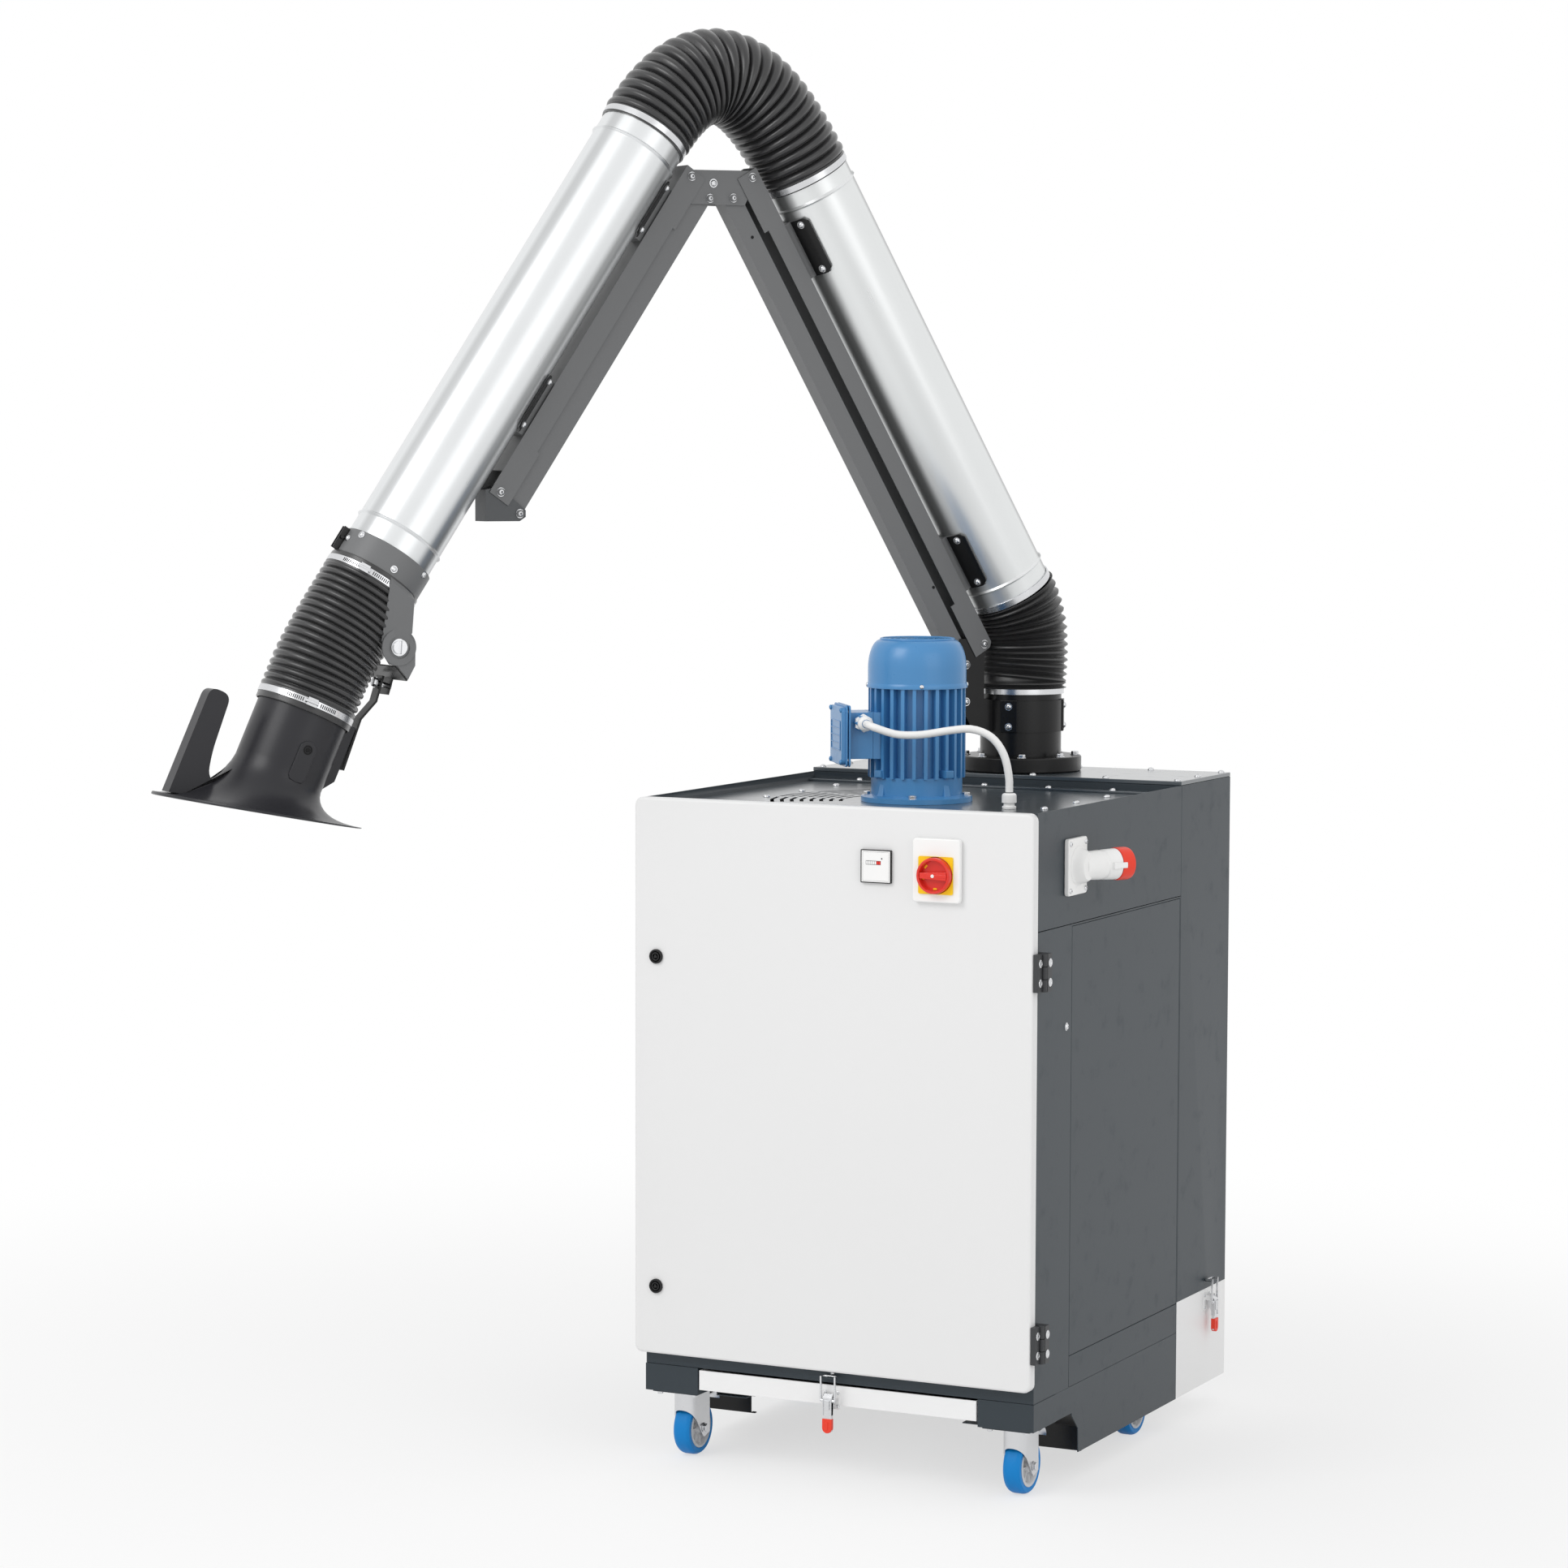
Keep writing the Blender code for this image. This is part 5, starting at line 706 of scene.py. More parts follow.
# Panels that keep the part's form, with their folds and edges broken
for node, look, edge, longest in (
        ("filter_housing", "slate", 0.0022, 0.30), ("fan_housing", "slate", 0.0018, 0.30),
        ("base_frame", "slate", 0.0012, 0), ("side_panel", "slate", 0.0008, 0), ("deck_plate", "slateTopPaintedHighlight", 0.0008, 0),
        ("rear_cover", "slateTopPaintedHighlight", 0.0012, 0), ("rear_bin", "bin", 0.0016, 0), ("dust_tray", "bin", 0.0014, 0),
        ("door_panel", "door", 0.0008, 0), ("swivel_ring", "black", 0.0010, 0), ("column_pipe", "black", 0.0010, 0),
        ("column_bracket", "black", 0.0012, 0), ("lower_beam", "beam", 0.0006, 0), ("fore_beam", "beam", 0.0006, 0),
        ("lower_link", "beam", 0.0006, 0), ("fore_link", "beam", 0.0006, 0), ("elbow_bracket", "beam", 0.0006, 0),
        ("end_bracket", "grey", 0.0006, 0), ("lower_tube", "lowerTube", 0.0003, 0),
    ("fore_tube", "foreTube", 0.0003, 0),
        ("hood_strap", "black", 0.0008, 0), ("motor_body", "motor", 0.0006, 0), ("terminal_box", "motor", 0.0016, 0),
        ("upper_door_lock", "blackPlastic", 0.0004, 0), ("lower_door_lock", "blackPlastic", 0.0004, 0),
        ("upper_hinge_body_leaf", "greyPlastic", 0.0008, 0), ("lower_hinge_body_leaf", "greyPlastic", 0.0008, 0),
        ("upper_hinge_door_leaf", "greyPlastic", 0.0008, 0), ("lower_hinge_door_leaf", "greyPlastic", 0.0008, 0),
        ("tray_latch_lever", "zinc", 0.0004, 0), ("tray_latch_bail", "zinc", 0, 0),
        ("bin_latch_lever", "zinc", 0.0004, 0), ("bin_latch_bail", "zinc", 0, 0),
        ("impeller", "galvanised", 0, 0), ("filter_cartridge", "filter", 0.0008, 0)):
    dressed(node, look, edge, longest)
print("panels ready")


# Hoses: ribbed, with the wire's crest sharp and the fabric rounded between
def onLink(space, x, z):
    return space @ Vector((x, 0, z))


def split(path, share=0.5):
    middle = round((len(path) - 1) * share)
    return path[:middle + 1], path[middle:]


bend = {"offset": 0.112, "lap": 0.0047, "baseStart": 0.070, "baseEnd": 0.060, "elbow": 0.206, "hood": 0.050}
baseB, baseC = arm @ Vector((0, 0, 1.385)), onLink(lowerArm, 0.045, bend["offset"])
lean = (arm @ Vector((-0.12, 0, 1)) - arm @ Vector((0, 0, 0))).normalized()
linkWay = (lowerArm @ Vector((1, 0, 0)) - lowerArm @ Vector((0, 0, 0))).normalized()
foreWay = (foreArm @ Vector((1, 0, 0)) - foreArm @ Vector((0, 0, 0))).normalized()
hoodWay = (hoodSpace @ Vector((1, 0, 0)) - hoodSpace @ Vector((0, 0, 0))).normalized()
basePath = [arm @ Vector((0, 0, 1.3712))] + bezier(baseB, baseB + lean * bend["baseStart"],
                                                   baseC - linkWay * bend["baseEnd"], baseC, 32)
hose("base_bellows", basePath, "column", ("base_hose",),
     {"Radius": 0.0862, "Rib Height": 0.0084, "Ribs": 15, "Steps": 8, "Sides": 64, "Gather": 0.92, "Sharp": 1.0},
     ("column", "lower_arm", baseB, baseC), "baseHose")
elbowB = onLink(lowerArm, 0.960 - bend["lap"], bend["offset"])
elbowC = onLink(foreArm, -0.025 + bend["lap"], bend["offset"])
elbowPath = bezier(elbowB, elbowB + linkWay * bend["elbow"], elbowC - foreWay * bend["elbow"], elbowC, 64)
first, second = split(elbowPath)
elbowRibs = {"Radius": 0.0862, "Rib Height": 0.0100, "Ribs": 12, "Steps": 12, "Sides": 72}
hose("elbow_bellows_lower", first, "lower_arm", ("elbow_hose_lower",), elbowRibs,
     ("lower_arm", "elbow", elbowB, first[-1]))
hose("elbow_bellows_upper", second, "elbow", ("elbow_hose_upper",), elbowRibs,
     ("elbow", "fore_arm", first[-1], elbowC))
hoodA, hoodB = onLink(foreArm, 0.9600, bend["offset"]), onLink(foreArm, 0.975, bend["offset"])
hoodC, hoodD = onLink(hoodSpace, -0.045, 0), onLink(hoodSpace, 0.0032, 0)
hoodPath = [hoodA] + bezier(hoodB, hoodB + foreWay * bend["hood"], hoodC - hoodWay * bend["hood"], hoodC, 32) + [hoodD]
first, second = split(hoodPath, 0.6)
hoodRibs = {"Radius": 0.0878, "Rib Height": 0.0072, "Ribs": 9, "Steps": 12, "Sides": 72}
hose("hood_bellows_upper", first, "fore_arm", ("hood_hose_upper",), hoodRibs,
     ("fore_arm", "hood_tilter", hoodB, first[-1]))
hose("hood_bellows_lower", second, "hood_tilter", ("hood_hose_lower",), hoodRibs,
     ("hood_tilter", "hood_body", first[-1], hoodC))
print("hoses ready")


# Door and its fittings
faceSize = {"y": -0.020}


def onFace(x, z, out=0.0):  # across, up and out from the door's face
    return cabinet @ shift(x, faceSize["y"] - out, z) @ turn("X", 90)


def onSide(y, z, out=0.0):  # across, up and out from the cabinet's right side
    return cabinet @ shift(0.380 + out, y, z) @ turn("Z", 90) @ turn("X", 90)


def onTop(x, y, z):
    return cabinet @ shift(x, y, z)


def spotsOf(places):
    return [(place @ Vector((0, 0, 0)), place.to_3x3() @ Vector((0, 0, 1))) for place in places]


switch = {"x": 0.204, "z": 1.101, "drop": 0.008, "width": 0.090, "height": 0.111, "plate": 0.012, "yellow": 0.0655,
          "cup": 0.0315, "rim": 0.0276}
plateAt, knobAt = onFace(switch["x"], switch["z"]), onFace(switch["x"], switch["z"] - switch["drop"])
half, tall = switch["width"] / 2, switch["height"] / 2
makePiece("switch_cover", joined(prism(roundedBox(-half, half, -tall, tall, 0.006), 0.0004, switch["plate"]),
                                 block(-0.029, 0.029, -0.029, 0.029, -0.040, 0.0008)),
          "door", "whitePlastic", plateAt, 0.0028, 4, standsFor=("switch_plate",))
half = switch["yellow"] / 2
makePiece("switch_field", carved(prism(roundedBox(-half, half, -half, half, 0.003), 0.0121, 0.0150),
                                 rod(switch["cup"] + 0.0007, 0.008, 0.02, 64)),
          "door", "yellow", knobAt, 0.0004)
cup, rim = switch["cup"], switch["rim"]
makePiece("switch_cup", lathe([(0, 0.0126), (cup - 0.0015, 0.0126), (cup, 0.0141), (cup, rim - 0.0032),
                               (cup - 0.0006, rim - 0.0012), (cup - 0.0020, rim), (cup - 0.0036, rim),
                               (cup - 0.0048, rim - 0.0010), (cup - 0.0056, 0.0150), (0, 0.0150)], 72),
          "main_switch", "red", knobAt, standsFor=("switch_knob",))
makePiece("switch_grip", joined(
    prism([(-0.0255, -0.0050), (0.0255, -0.0076), (0.0255, 0.0076), (-0.0255, 0.0050)], 0.0148, 0.0268),
    block(-0.012, 0.026, -0.0032, 0.0032, 0.0148, 0.0276)), "main_switch", "red", knobAt, 0.0012, 3)
makePiece("switch_screw", lathe([(0, 0.0272), (0.0031, 0.0272), (0.0029, 0.0284), (0.0010, 0.0288), (0.0010, 0.0280),
                                 (0, 0.0280)], 24), "main_switch", "whitePlastic", knobAt)
makePiece("switch_pointers", joined(*[placed(block(-0.0035, 0.0035, -0.0017, 0.0017, 0.0149, 0.0160),
                                             turn("Z", angle), shift(0, 0.0232, 0))
                                      for angle in (50, 100, 180, 270)]), "main_switch", "yellow", knobAt, 0.0004)
meter = {"x": 0.086, "z": 1.1025, "half": 0.029, "out": 0.006}
meterAt, half = onFace(meter["x"], meter["z"]), meter["half"]
makePiece("meter_frame", joined(carved(prism(roundedBox(-half, half, -half, half, 0.0012), 0.0004, meter["out"]),
                                       block(-half + 0.0014, half - 0.0014, -half + 0.0014, half - 0.0014, 0.0046,
                                             0.02)),
                                block(-0.0215, 0.0215, -0.0215, 0.0215, -0.030, 0.0008)),
          "door", "blackPlastic", meterAt, 0.0003, standsFor=("hour_meter",))
half -= 0.0016
makePiece("meter_dial", prism([(-half, -half), (half, -half), (half, half), (-half, half)], 0.0047, 0.0056), "door",
          "whitePlastic", meterAt, 0.0003)
half -= 0.0022
makePiece("meter_lines", joined(*[placed(block(-half, half, half - 0.0003, half, 0.0055, 0.00566), turn("Z", 90 * i))
                                  for i in range(4)], block(-0.0190, 0.0095, 0.0028, 0.0098, 0.0055, 0.0058),
                                placed(rod(0.0013, 0.0055, 0.0059, 16), shift(0.0115, 0.0140))),
          "door", "blackPlastic", meterAt)
makePiece("meter_drums", joined(*[block(-0.0183 + 0.0040 * i, -0.0150 + 0.0040 * i, 0.0035, 0.0091, 0.0057, 0.0060)
                                  for i in range(5)]), "door", "whitePlastic", meterAt)
makePiece("meter_tenths", joined(*[block(-0.0183 + 0.0040 * i, -0.0150 + 0.0040 * i, 0.0035, 0.0091, 0.0057, 0.0060)
                                   for i in (5, 6)]), "door", "red", meterAt)
lock = {"x": -0.349, "upper": 0.9206, "lower": 0.3239, "radius": 0.013}
for label in ("upper", "lower"):
    at, r = onFace(lock["x"], lock[label]), lock["radius"]
    makePiece(label + "_lock_rings", joined(
        lathe([(r - 0.0032, 0.0004), (r - 0.0001, 0.0004), (r, 0.0026), (r - 0.0012, 0.0048), (r - 0.0026, 0.0048),
               (r - 0.0034, 0.0036)], 56, ring=True),
        lathe([(0.0052, 0.003), (0.0078, 0.003), (0.0076, 0.0050), (0.0064, 0.0054), (0.0054, 0.0048)], 40, ring=True),
        prism(circle(0.0046, 3, start=90), 0.003, 0.0050)), label + "_lock", "blackPlastic", at, smooth=50)
    # painted shade: a near-black disc inside the ring stands for the shade in the lock's well
    makePiece(label + "_lock_well", rod(0.0096, 0.0032, 0.0043, 40), label + "_lock", "dark", at)
for label, height in (("upper", 0.931), ("lower", 0.284)):
    caps = [cabinet @ shift(0.3925, -0.0118, height + step) @ turn("Y", 90) for step in (-0.017, 0.017)]
    fasteners(label + "_hinge_screws", "hingeCap", spotsOf(caps), "door", "zinc")
    caps = [cabinet @ shift(0.4000, 0.0125, height + step) @ turn("Y", 90) for step in (-0.017, 0.017)]
    fasteners(label + "_hinge_bolts", "hingeCap", spotsOf(caps), "cabinet", "zinc")
fasteners("side_panel_screw", "domeBolt", spotsOf([onSide(0.133, 0.8215)]), "cabinet", "zinc", 0.62)
print("door ready")


# Power inlet: white plate and barrel, red end ring
inlet = {"y": 0.160, "z": 1.101, "width": 0.084, "height": 0.100, "plate": 0.009, "tilt": 60,
         "reach": 0.106, "length": 0.026}
inletAt = cabinet @ shift(0.3803, inlet["y"], inlet["z"])
flat = inletAt @ turn("Z", 90) @ turn("X", 90)
pipeAt = inletAt @ shift(inlet["plate"], 0, 0) @ turn("Z", inlet["tilt"]) @ turn("Y", 90)
w, h, reach, length = inlet["width"] / 2, inlet["height"] / 2, inlet["reach"], inlet["length"]
makePiece("inlet_plate", prism(roundedBox(-w, w, -h, h, 0.006), 0, inlet["plate"]), "cabinet", "whitePlastic", flat,
          0.0022, 3, standsFor=("power_inlet",))
makePiece("inlet_boss", lathe([(0, 0.004), (0.034, 0.004), (0.034, 0.0105), (0.031, 0.014), (0.0295, 0.022),
                               (0.024, 0.030),
                               (0, 0.032)], 56), "cabinet", "whitePlastic", flat)
makePiece("inlet_barrel", lathe([(0.0200, 0.006), (0.0240, 0.006), (0.0250, 0.020), (0.0262, 0.044), (0.0250, 0.046),
                                 (0.0250, 0.051), (0.0266, 0.053), (0.0275, reach - length - 0.001),
                                 (0.0200, reach - length - 0.001)], 64, ring=True), "cabinet", "whitePlastic", pipeAt)
makePiece("inlet_shroud", lathe([(0.0216, reach - length - 0.006), (0.0240, reach - length - 0.006),
                                 (0.0240, reach - length), (0.0284, reach - length), (0.0290, reach - length + 0.003),
                                 (0.0290, reach - 0.004), (0.0280, reach), (0.0230, reach), (0.0216, reach - 0.003)],
                                64, ring=True), "cabinet", "redTip", pipeAt)
# painted shade: the barrel's inside and its pins are near-black
makePiece("inlet_core", joined(rod(0.0212, 0.050, reach - 0.024, 48), *[placed(rod(0.0024, reach - 0.03, reach - 0.008,
                                                                                   12),
          turn("Z", 72 * i), shift(0.0125, 0, 0)) for i in range(5)]), "cabinet", "dark", pipeAt)
makePiece("inlet_latch", joined(block(-0.006, 0.006, 0.0245, 0.0315, 0.056, 0.070),
                                block(-0.005, 0.005, 0.0285, 0.0315, 0.068, 0.086)),
          "cabinet", "whitePlastic", pipeAt @ turn("Z", 180), 0.0012)
fasteners("inlet_screws", "dome", spotsOf([onSide(inlet["y"] + a * 0.034, inlet["z"] + b * 0.041, 0.0093)
                                            for a in (-1, 1) for b in (-1, 1)]), "cabinet", "zinc", 0.9)


# Toggle latches: lever channel with a red sleeve, cross barrel and base rivets
latch = {"lever": 0.062, "width": 0.017, "drop": 0.008, "out": 0.006, "sleeve": 0.025}
for label, body, leverBody, pivot in (
        ("tray", "tray", "tray_lever", cabinet @ shift(-0.006, -0.013, 0.157)),
        ("bin", "bin", "bin_lever", cabinet @ shift(0.391, 0.835, 0.219) @ turn("Z", 90))):
    out, end, half = latch["out"], latch["lever"], latch["width"] / 2
    makePiece(label + "_latch_sleeve", joined(placed(prism(
        [(-half - 0.0008, 0)] + circle(half + 0.0008, 13, 0, -latch["sleeve"] + half, 180, 180) + [(half + 0.0008, 0)],
        -0.0040, 0.0045), shift(0, -out - 0.0004, -end + latch["sleeve"] - 0.003) @ turn("X", 90)),
        block(-0.0024, 0.0024, -out - 0.0062, -out - 0.004, -end + 0.002, -end + 0.017)),
        leverBody, "redTip", pivot, 0.0016, 3)
    makePiece(label + "_latch_barrel", alongX(rod(0.0033, -0.0135, 0.0135, 20, 0.0006)), leverBody, "zinc",
              pivot @ shift(0, -out, -latch["drop"]))
    makePiece(label + "_latch_channel", joined(
        block(-half, -half + 0.0016, -out - 0.0045, -0.0022, -0.034, -0.005),
        block(half - 0.0016, half, -out - 0.0045, -0.0022, -0.034, -0.005),
        block(-0.0045, 0.0045, -out - 0.0050, -out - 0.0032, -0.024, -0.0065)), leverBody, "zinc", pivot, 0.0005)
    fasteners(label + "_latch_rivets", "rivet", spotsOf([pivot @ shift(a, 0.0088, b) @ turn("X", 90)
                                                          for a in (-0.0122, 0.0122) for b in (-0.020, 0.004)]), body,
              "zinc")
fasteners("keeper_screws", "dome", spotsOf([cabinet @ shift(-0.006, -0.0004, 0.1945) @ turn("X", 90)]), "cabinet",
          "zinc", 0.7)
# painted shade: a near-black strip round the bin's top edge stands for the shadow in the gap under the bay
makePiece("bin_seal", carved(block(-0.3778, 0.3778, 0.6822, 0.9328, 0.2314, 0.2346),
                             block(-0.366, 0.366, 0.694, 0.921, 0.2, 0.3)),
          "bin", "blackPlastic", cabinet @ shift(0, 0, 0.0001))
print("latches ready")


# Wheels: blue tread on a grey-rimmed hub, bolted through
wheel = {"radius": 0.050, "width": 0.032, "tread": 0.018, "core": 0.0375, "recess": 0.0095}
r, w, c, t = wheel["radius"], wheel["width"] / 2, wheel["core"], wheel["tread"] / 2
side = [(c, w - 0.0006), (c + 0.004, w), (r - 0.0042, w), (r - 0.0020, w - 0.0025), (r - 0.0005, t + 0.0012),
        (r, t - 0.002)]
hubSide = [(0.0062, 0.0185), (0.0105, 0.0185), (0.0120, 0.0150), (0.0135, wheel["recess"]), (0.0285, wheel["recess"]),
           (0.0300, 0.0135), (0.0325, w + 0.0004), (c - 0.0002, w + 0.0004), (c - 0.0002, w - 0.002)]
fork = {"half": 0.0195, "wall": 0.0028, "front": -0.021}
for label, x, y, trail, swivels in (("front_left", -0.3255, 0.052, 0.026, True), ("front_right", 0.3255, 0.052, 0.026,
                                                                                  True),
                                    ("rear_left", -0.3255, 0.582, 0.0, False), ("rear_right", 0.3255, 0.582, 0.0,
                                                                                False)):
    stem = cabinet @ shift(x, y, 0)
    axle = stem @ shift(0, trail, r) @ turn("Y", 90)
    roller, carrier = label + "_roller", label + "_caster" if swivels else "cabinet"
    makePiece(label + "_tread", lathe([(a, -b) for a, b in side] + side[::-1], 72, ring=True), roller, "tyre", axle,
              smooth=40, standsFor=(label + "_wheel",))
    makePiece(label + "_hub", lathe([(a, -b) for a, b in hubSide] + hubSide[::-1], 56, ring=True), roller, "hub", axle)
    makePiece(label + "_hub_ribs", joined(*[placed(block(0.0125, 0.0315, -0.0011, 0.0011, 0.0065, w - 0.0012),
                                                   turn("Z", 45 * i), flip)
                                            for i in range(8) for flip in (here, turn("X", 180))]), roller, "hub", axle,
              0.0006)
    makePiece(label + "_axle_bolt", joined(rod(0.0058, -0.0262, 0.0262, 20),
                                           placed(hexHead(0.0130, 0.0050, 0.0088, 0.0012),
              shift(0, 0, 0.0226)), placed(hexHead(0.0130, 0.0060, 0.0088, 0.0012), turn("Y", 180),
                                           shift(0, 0, 0.0226))),
              roller, "zinc", axle, 0.0003)
    a, wall, front = fork["half"], fork["wall"], fork["front"]
    back = trail + 0.020
    steps = 14
    outer, inner = [], []
    for k in range(steps + 1):  # half-round front, then straight cheeks, as one folded shell
        angle = math.radians(180 * k / steps)
        outer.append((-(a + wall) * math.cos(angle), front + (a + wall) * (1 - math.sin(angle))))
        inner.append((-a * math.cos(angle), front + wall + a * (1 - math.sin(angle))))
    reach = [trail - 0.004 + 0.0054 * k for k in range(6)]
    outer = [(-(a + wall), y) for y in reversed(reach)] + outer + [(a + wall, y) for y in reach]
    inner = [(-a, y) for y in reversed(reach)] + inner + [(a, y) for y in reach]
    top = 0.1205

    def lowEdge(y):  # sweeps down from the arch in front to below the axle
        share = min(1.0, max(0.0, (y - front) / (trail - front)))
        return 0.088 - 0.0565 * share ** 1.15 + 0.3 * max(0.0, y - trail)

    rings = []
    for (ox, oy), (ix, iy) in zip(outer, inner):
        low = lowEdge(oy)
        rings.append([(ox, oy, low), (ox, oy, top), (ix, iy, top), (ix, iy, low)])
    makePiece(label + "_fork_shell", joined(lofted(rings), lathe([(0, 0.1040), (0.0190, 0.1040), (0.0200, 0.1050),
                                                                  (0.0200, 0.1238),
              (0, 0.1238)], 48), block(-a, a, front + 0.012, back, top - wall, top)),
              carrier, "zinc", stem, 0.0006, smooth=40, standsFor=(label + "_fork",))
    makePiece(label + "_top_plate", prism(roundedBox(-0.044, 0.044, -0.044, 0.044, 0.006), 0.1239, 0.1275), "cabinet",
              "zinc", stem, 0.0006)
    fasteners(label + "_plate_bolts", "smallHex", spotsOf([stem @ shift(p, q, 0.1239) @ turn("X", 180)
                                                           for p in (-0.035, 0.035)
                                                          for q in (-0.035, 0.035)]), "cabinet", "zinc", 1.15)
    if swivels:
        brakeAt = stem @ shift(0, trail + 0.030, 0.098)
        sheetLine = [(-0.008, 0.004), (0.004, 0.0035), (0.020, 0.004), (0.036, 0.006), (0.044, 0.0048),
                     (0.0495, -0.003), (0.0505, -0.010)]
        rings = [[(-0.0125, p, q - 0.0012), (0.0125, p, q - 0.0012), (0.0125, p, q + 0.0012), (-0.0125, p, q + 0.0012)]
                 for p, q in sheetLine]
        makePiece(label + "_brake_sheet", joined(lofted(rings), alongX(rod(0.0034, -0.0165, 0.0165, 16))),
                  label + "_brake", "zinc", brakeAt, 0.0006, standsFor=(label + "_brake_pedal",))
print("casters ready")


# Bands and their worm housings
def clampBand(name, space, x, radius, width, body, look="zinc", heading=60.0, worm=True):
    at = space @ shift(x, 0, 0) @ turn("X", heading) @ turn("Y", 90)
    shapes = [pipe(radius, radius + 0.0011, -width / 2, width / 2, 96)]
    if worm:
        shapes += [block(radius + 0.0006, radius + 0.0075, -0.009, 0.009, -width * 0.62, width * 0.62),
                   placed(rod(0.0036, -0.0130, 0.0110, 16), shift(radius + 0.0052, 0, 0) @ turn("X", 90))]
        # painted shade: near-black strips on the band stand for the shade in its slots
        slots = [placed(block(radius + 0.0007, radius + 0.0014, -0.0008, 0.0008, -width * 0.3, width * 0.3),
                        turn("Z", side * (11 + 2.4 * i))) for side in (-1, 1) for i in range(9)]
        makePiece(name + "_slots", joined(*slots), body, "dark", at)
    makePiece(name, joined(*shapes), body, look, at, 0.0003)


tubeLine = shift(0, 0, bend["offset"])
clampBand("base_band", arm @ turn("Y", -90), 1.3660, 0.0776, 0.0110, "column", heading=-40)
makePiece("base_band_ring", pipe(0.0785, 0.0822, 1.3606, 1.3714, 96), "column", "zinc", arm, 0.0005)
makePiece("lower_tube_band_start", pipe(0.0801, 0.0830, 0.0465, 0.0590, 96), "lower_arm", "zinc",
          lowerArm @ tubeLine @ turn("Y", 90), 0.0006)
for name, space, body, start, end, radius in (("elbow_cuff_lower", lowerArm @ tubeLine, "lower_arm", 0.9400, 0.9575,
                                               0.0826),
                                              ("elbow_cuff_upper", foreArm @ tubeLine, "fore_arm", -0.0230, -0.0050,
                                               0.0826),
                                              ("hood_cuff_upper", foreArm @ tubeLine, "fore_arm", 0.9405, 0.9640,
                                               0.0866),
                                              ("hood_cuff_lower", hoodSpace, "hood_body", -0.0060, 0.0250, 0.0866)):
    makePiece(name, lathe([(radius - 0.0024, start), (radius - 0.0006, start), (radius, start + 0.0015),
                           (radius, end - 0.0015),
                           (radius - 0.0006, end), (radius - 0.0024, end)], 96, ring=True), body, "hose",
              space @ turn("Y", 90))
clampBand("elbow_clamp_lower", lowerArm @ tubeLine, 0.9480, 0.0827, 0.0115, "lower_arm", heading=188)
clampBand("elbow_clamp_upper", foreArm @ tubeLine, -0.0140, 0.0827, 0.0115, "fore_arm", heading=-38)
clampBand("hood_clamp_upper", foreArm @ tubeLine, 0.9550, 0.0867, 0.0110, "fore_arm", heading=125)
clampBand("hood_clamp_lower", hoodSpace, 0.0088, 0.0867, 0.0115, "hood_body", heading=107)


# Arm bolts: outer pivots on the beams, inner pivots on the links, and the saddles
def bothFaces(space, places, out):
    return [(space @ Vector((x, side * out, z)), space.to_3x3() @ Vector((0, side, 0))) for x, z in places
            for side in (1, -1)]


armBolts = {"beam": 0.0236, "plate": 0.0216, "size": 0.70}
for label, space, body, places, out in (
        ("lower_beam_bolts", lowerArm, "lower_arm", ((0, 0), (1.000, 0)), armBolts["beam"]),
        ("fore_beam_bolts", foreArm, "fore_arm", ((0, 0), (0.687, 0)), armBolts["beam"]),
        ("lower_link_bolts", arm, "lower_strut", ((0.1370, 1.4182), (0.6430, 2.2807)), armBolts["plate"]),
        ("fore_link_bolts", arm, "fore_strut", ((0.6915, 2.2787), (1.0762, 1.7095)), armBolts["plate"]),
        ("elbow_middle_bolt", elbow, "elbow", ((0.0800, -0.0130),), armBolts["plate"] - 0.0003),
        ("column_bracket_bolts", arm, "column", ((0.1370, 1.3480),), armBolts["plate"] - 0.0003)):
    fasteners(label, "domeBolt", bothFaces(space, places, out), body, "zinc", armBolts["size"])


def aroundTube(x, degrees, radius, offset=0.112):
    angle = math.radians(degrees)
    return Vector((x, radius * math.sin(angle), offset - radius * math.cos(angle))), Vector((0, math.sin(angle),
                                                                                             -math.cos(angle)))


saddle = {"radius": 0.0834, "half": 0.056, "thick": 0.0026, "from": 15, "to": 41, "bolt": 29}
for name, space, body, centres in (("lower", lowerArm, "lower_arm", (0.162, 0.835)),
                                   ("fore", foreArm, "fore_arm", (0.100, 0.522))):
    plates, spots = [], []
    for centre in centres:
        for side in (1, -1):
            rings = []
            for i in range(9):
                degrees = side * (saddle["from"] + (saddle["to"] - saddle["from"]) * i / 8)
                inset = 0.008 * max(0, i - 6) / 2 if i > 6 else 0
                near, far = saddle["radius"], saddle["radius"] + saddle["thick"]
                a, b = centre - saddle["half"] + inset, centre + saddle["half"] - inset
                rings.append([aroundTube(a, degrees, near)[0], aroundTube(b, degrees, near)[0],
                              aroundTube(b, degrees, far)[0], aroundTube(a, degrees, far)[0]])
            plates.append(lofted(rings))
            for step in (-0.0455, 0.0455):
                spot, way = aroundTube(centre + step, side * saddle["bolt"], saddle["radius"] + saddle["thick"])
                spots.append((space @ spot, space.to_3x3() @ way))
    makePiece(name + "_saddle_plates", joined(*plates), body, "black", space, 0.0008)
    fasteners(name + "_saddle_bolts", "domeBolt", spots, body, "zinc", 0.62)
# painted shade: near-black discs on the links stand for the shade in their holes
makePiece("link_hole_rims", joined(*[placed(rod(0.0030, 0.0180, 0.0186, 16), shift(x, 0, z) @ turn("X", -90))
                                     for x, z in ((0.150, 0.012), (0.905, 0.0))]), "lower_strut", "dark",
          lowerArm @ shift(0, 0, -0.052))
print("arm ready")


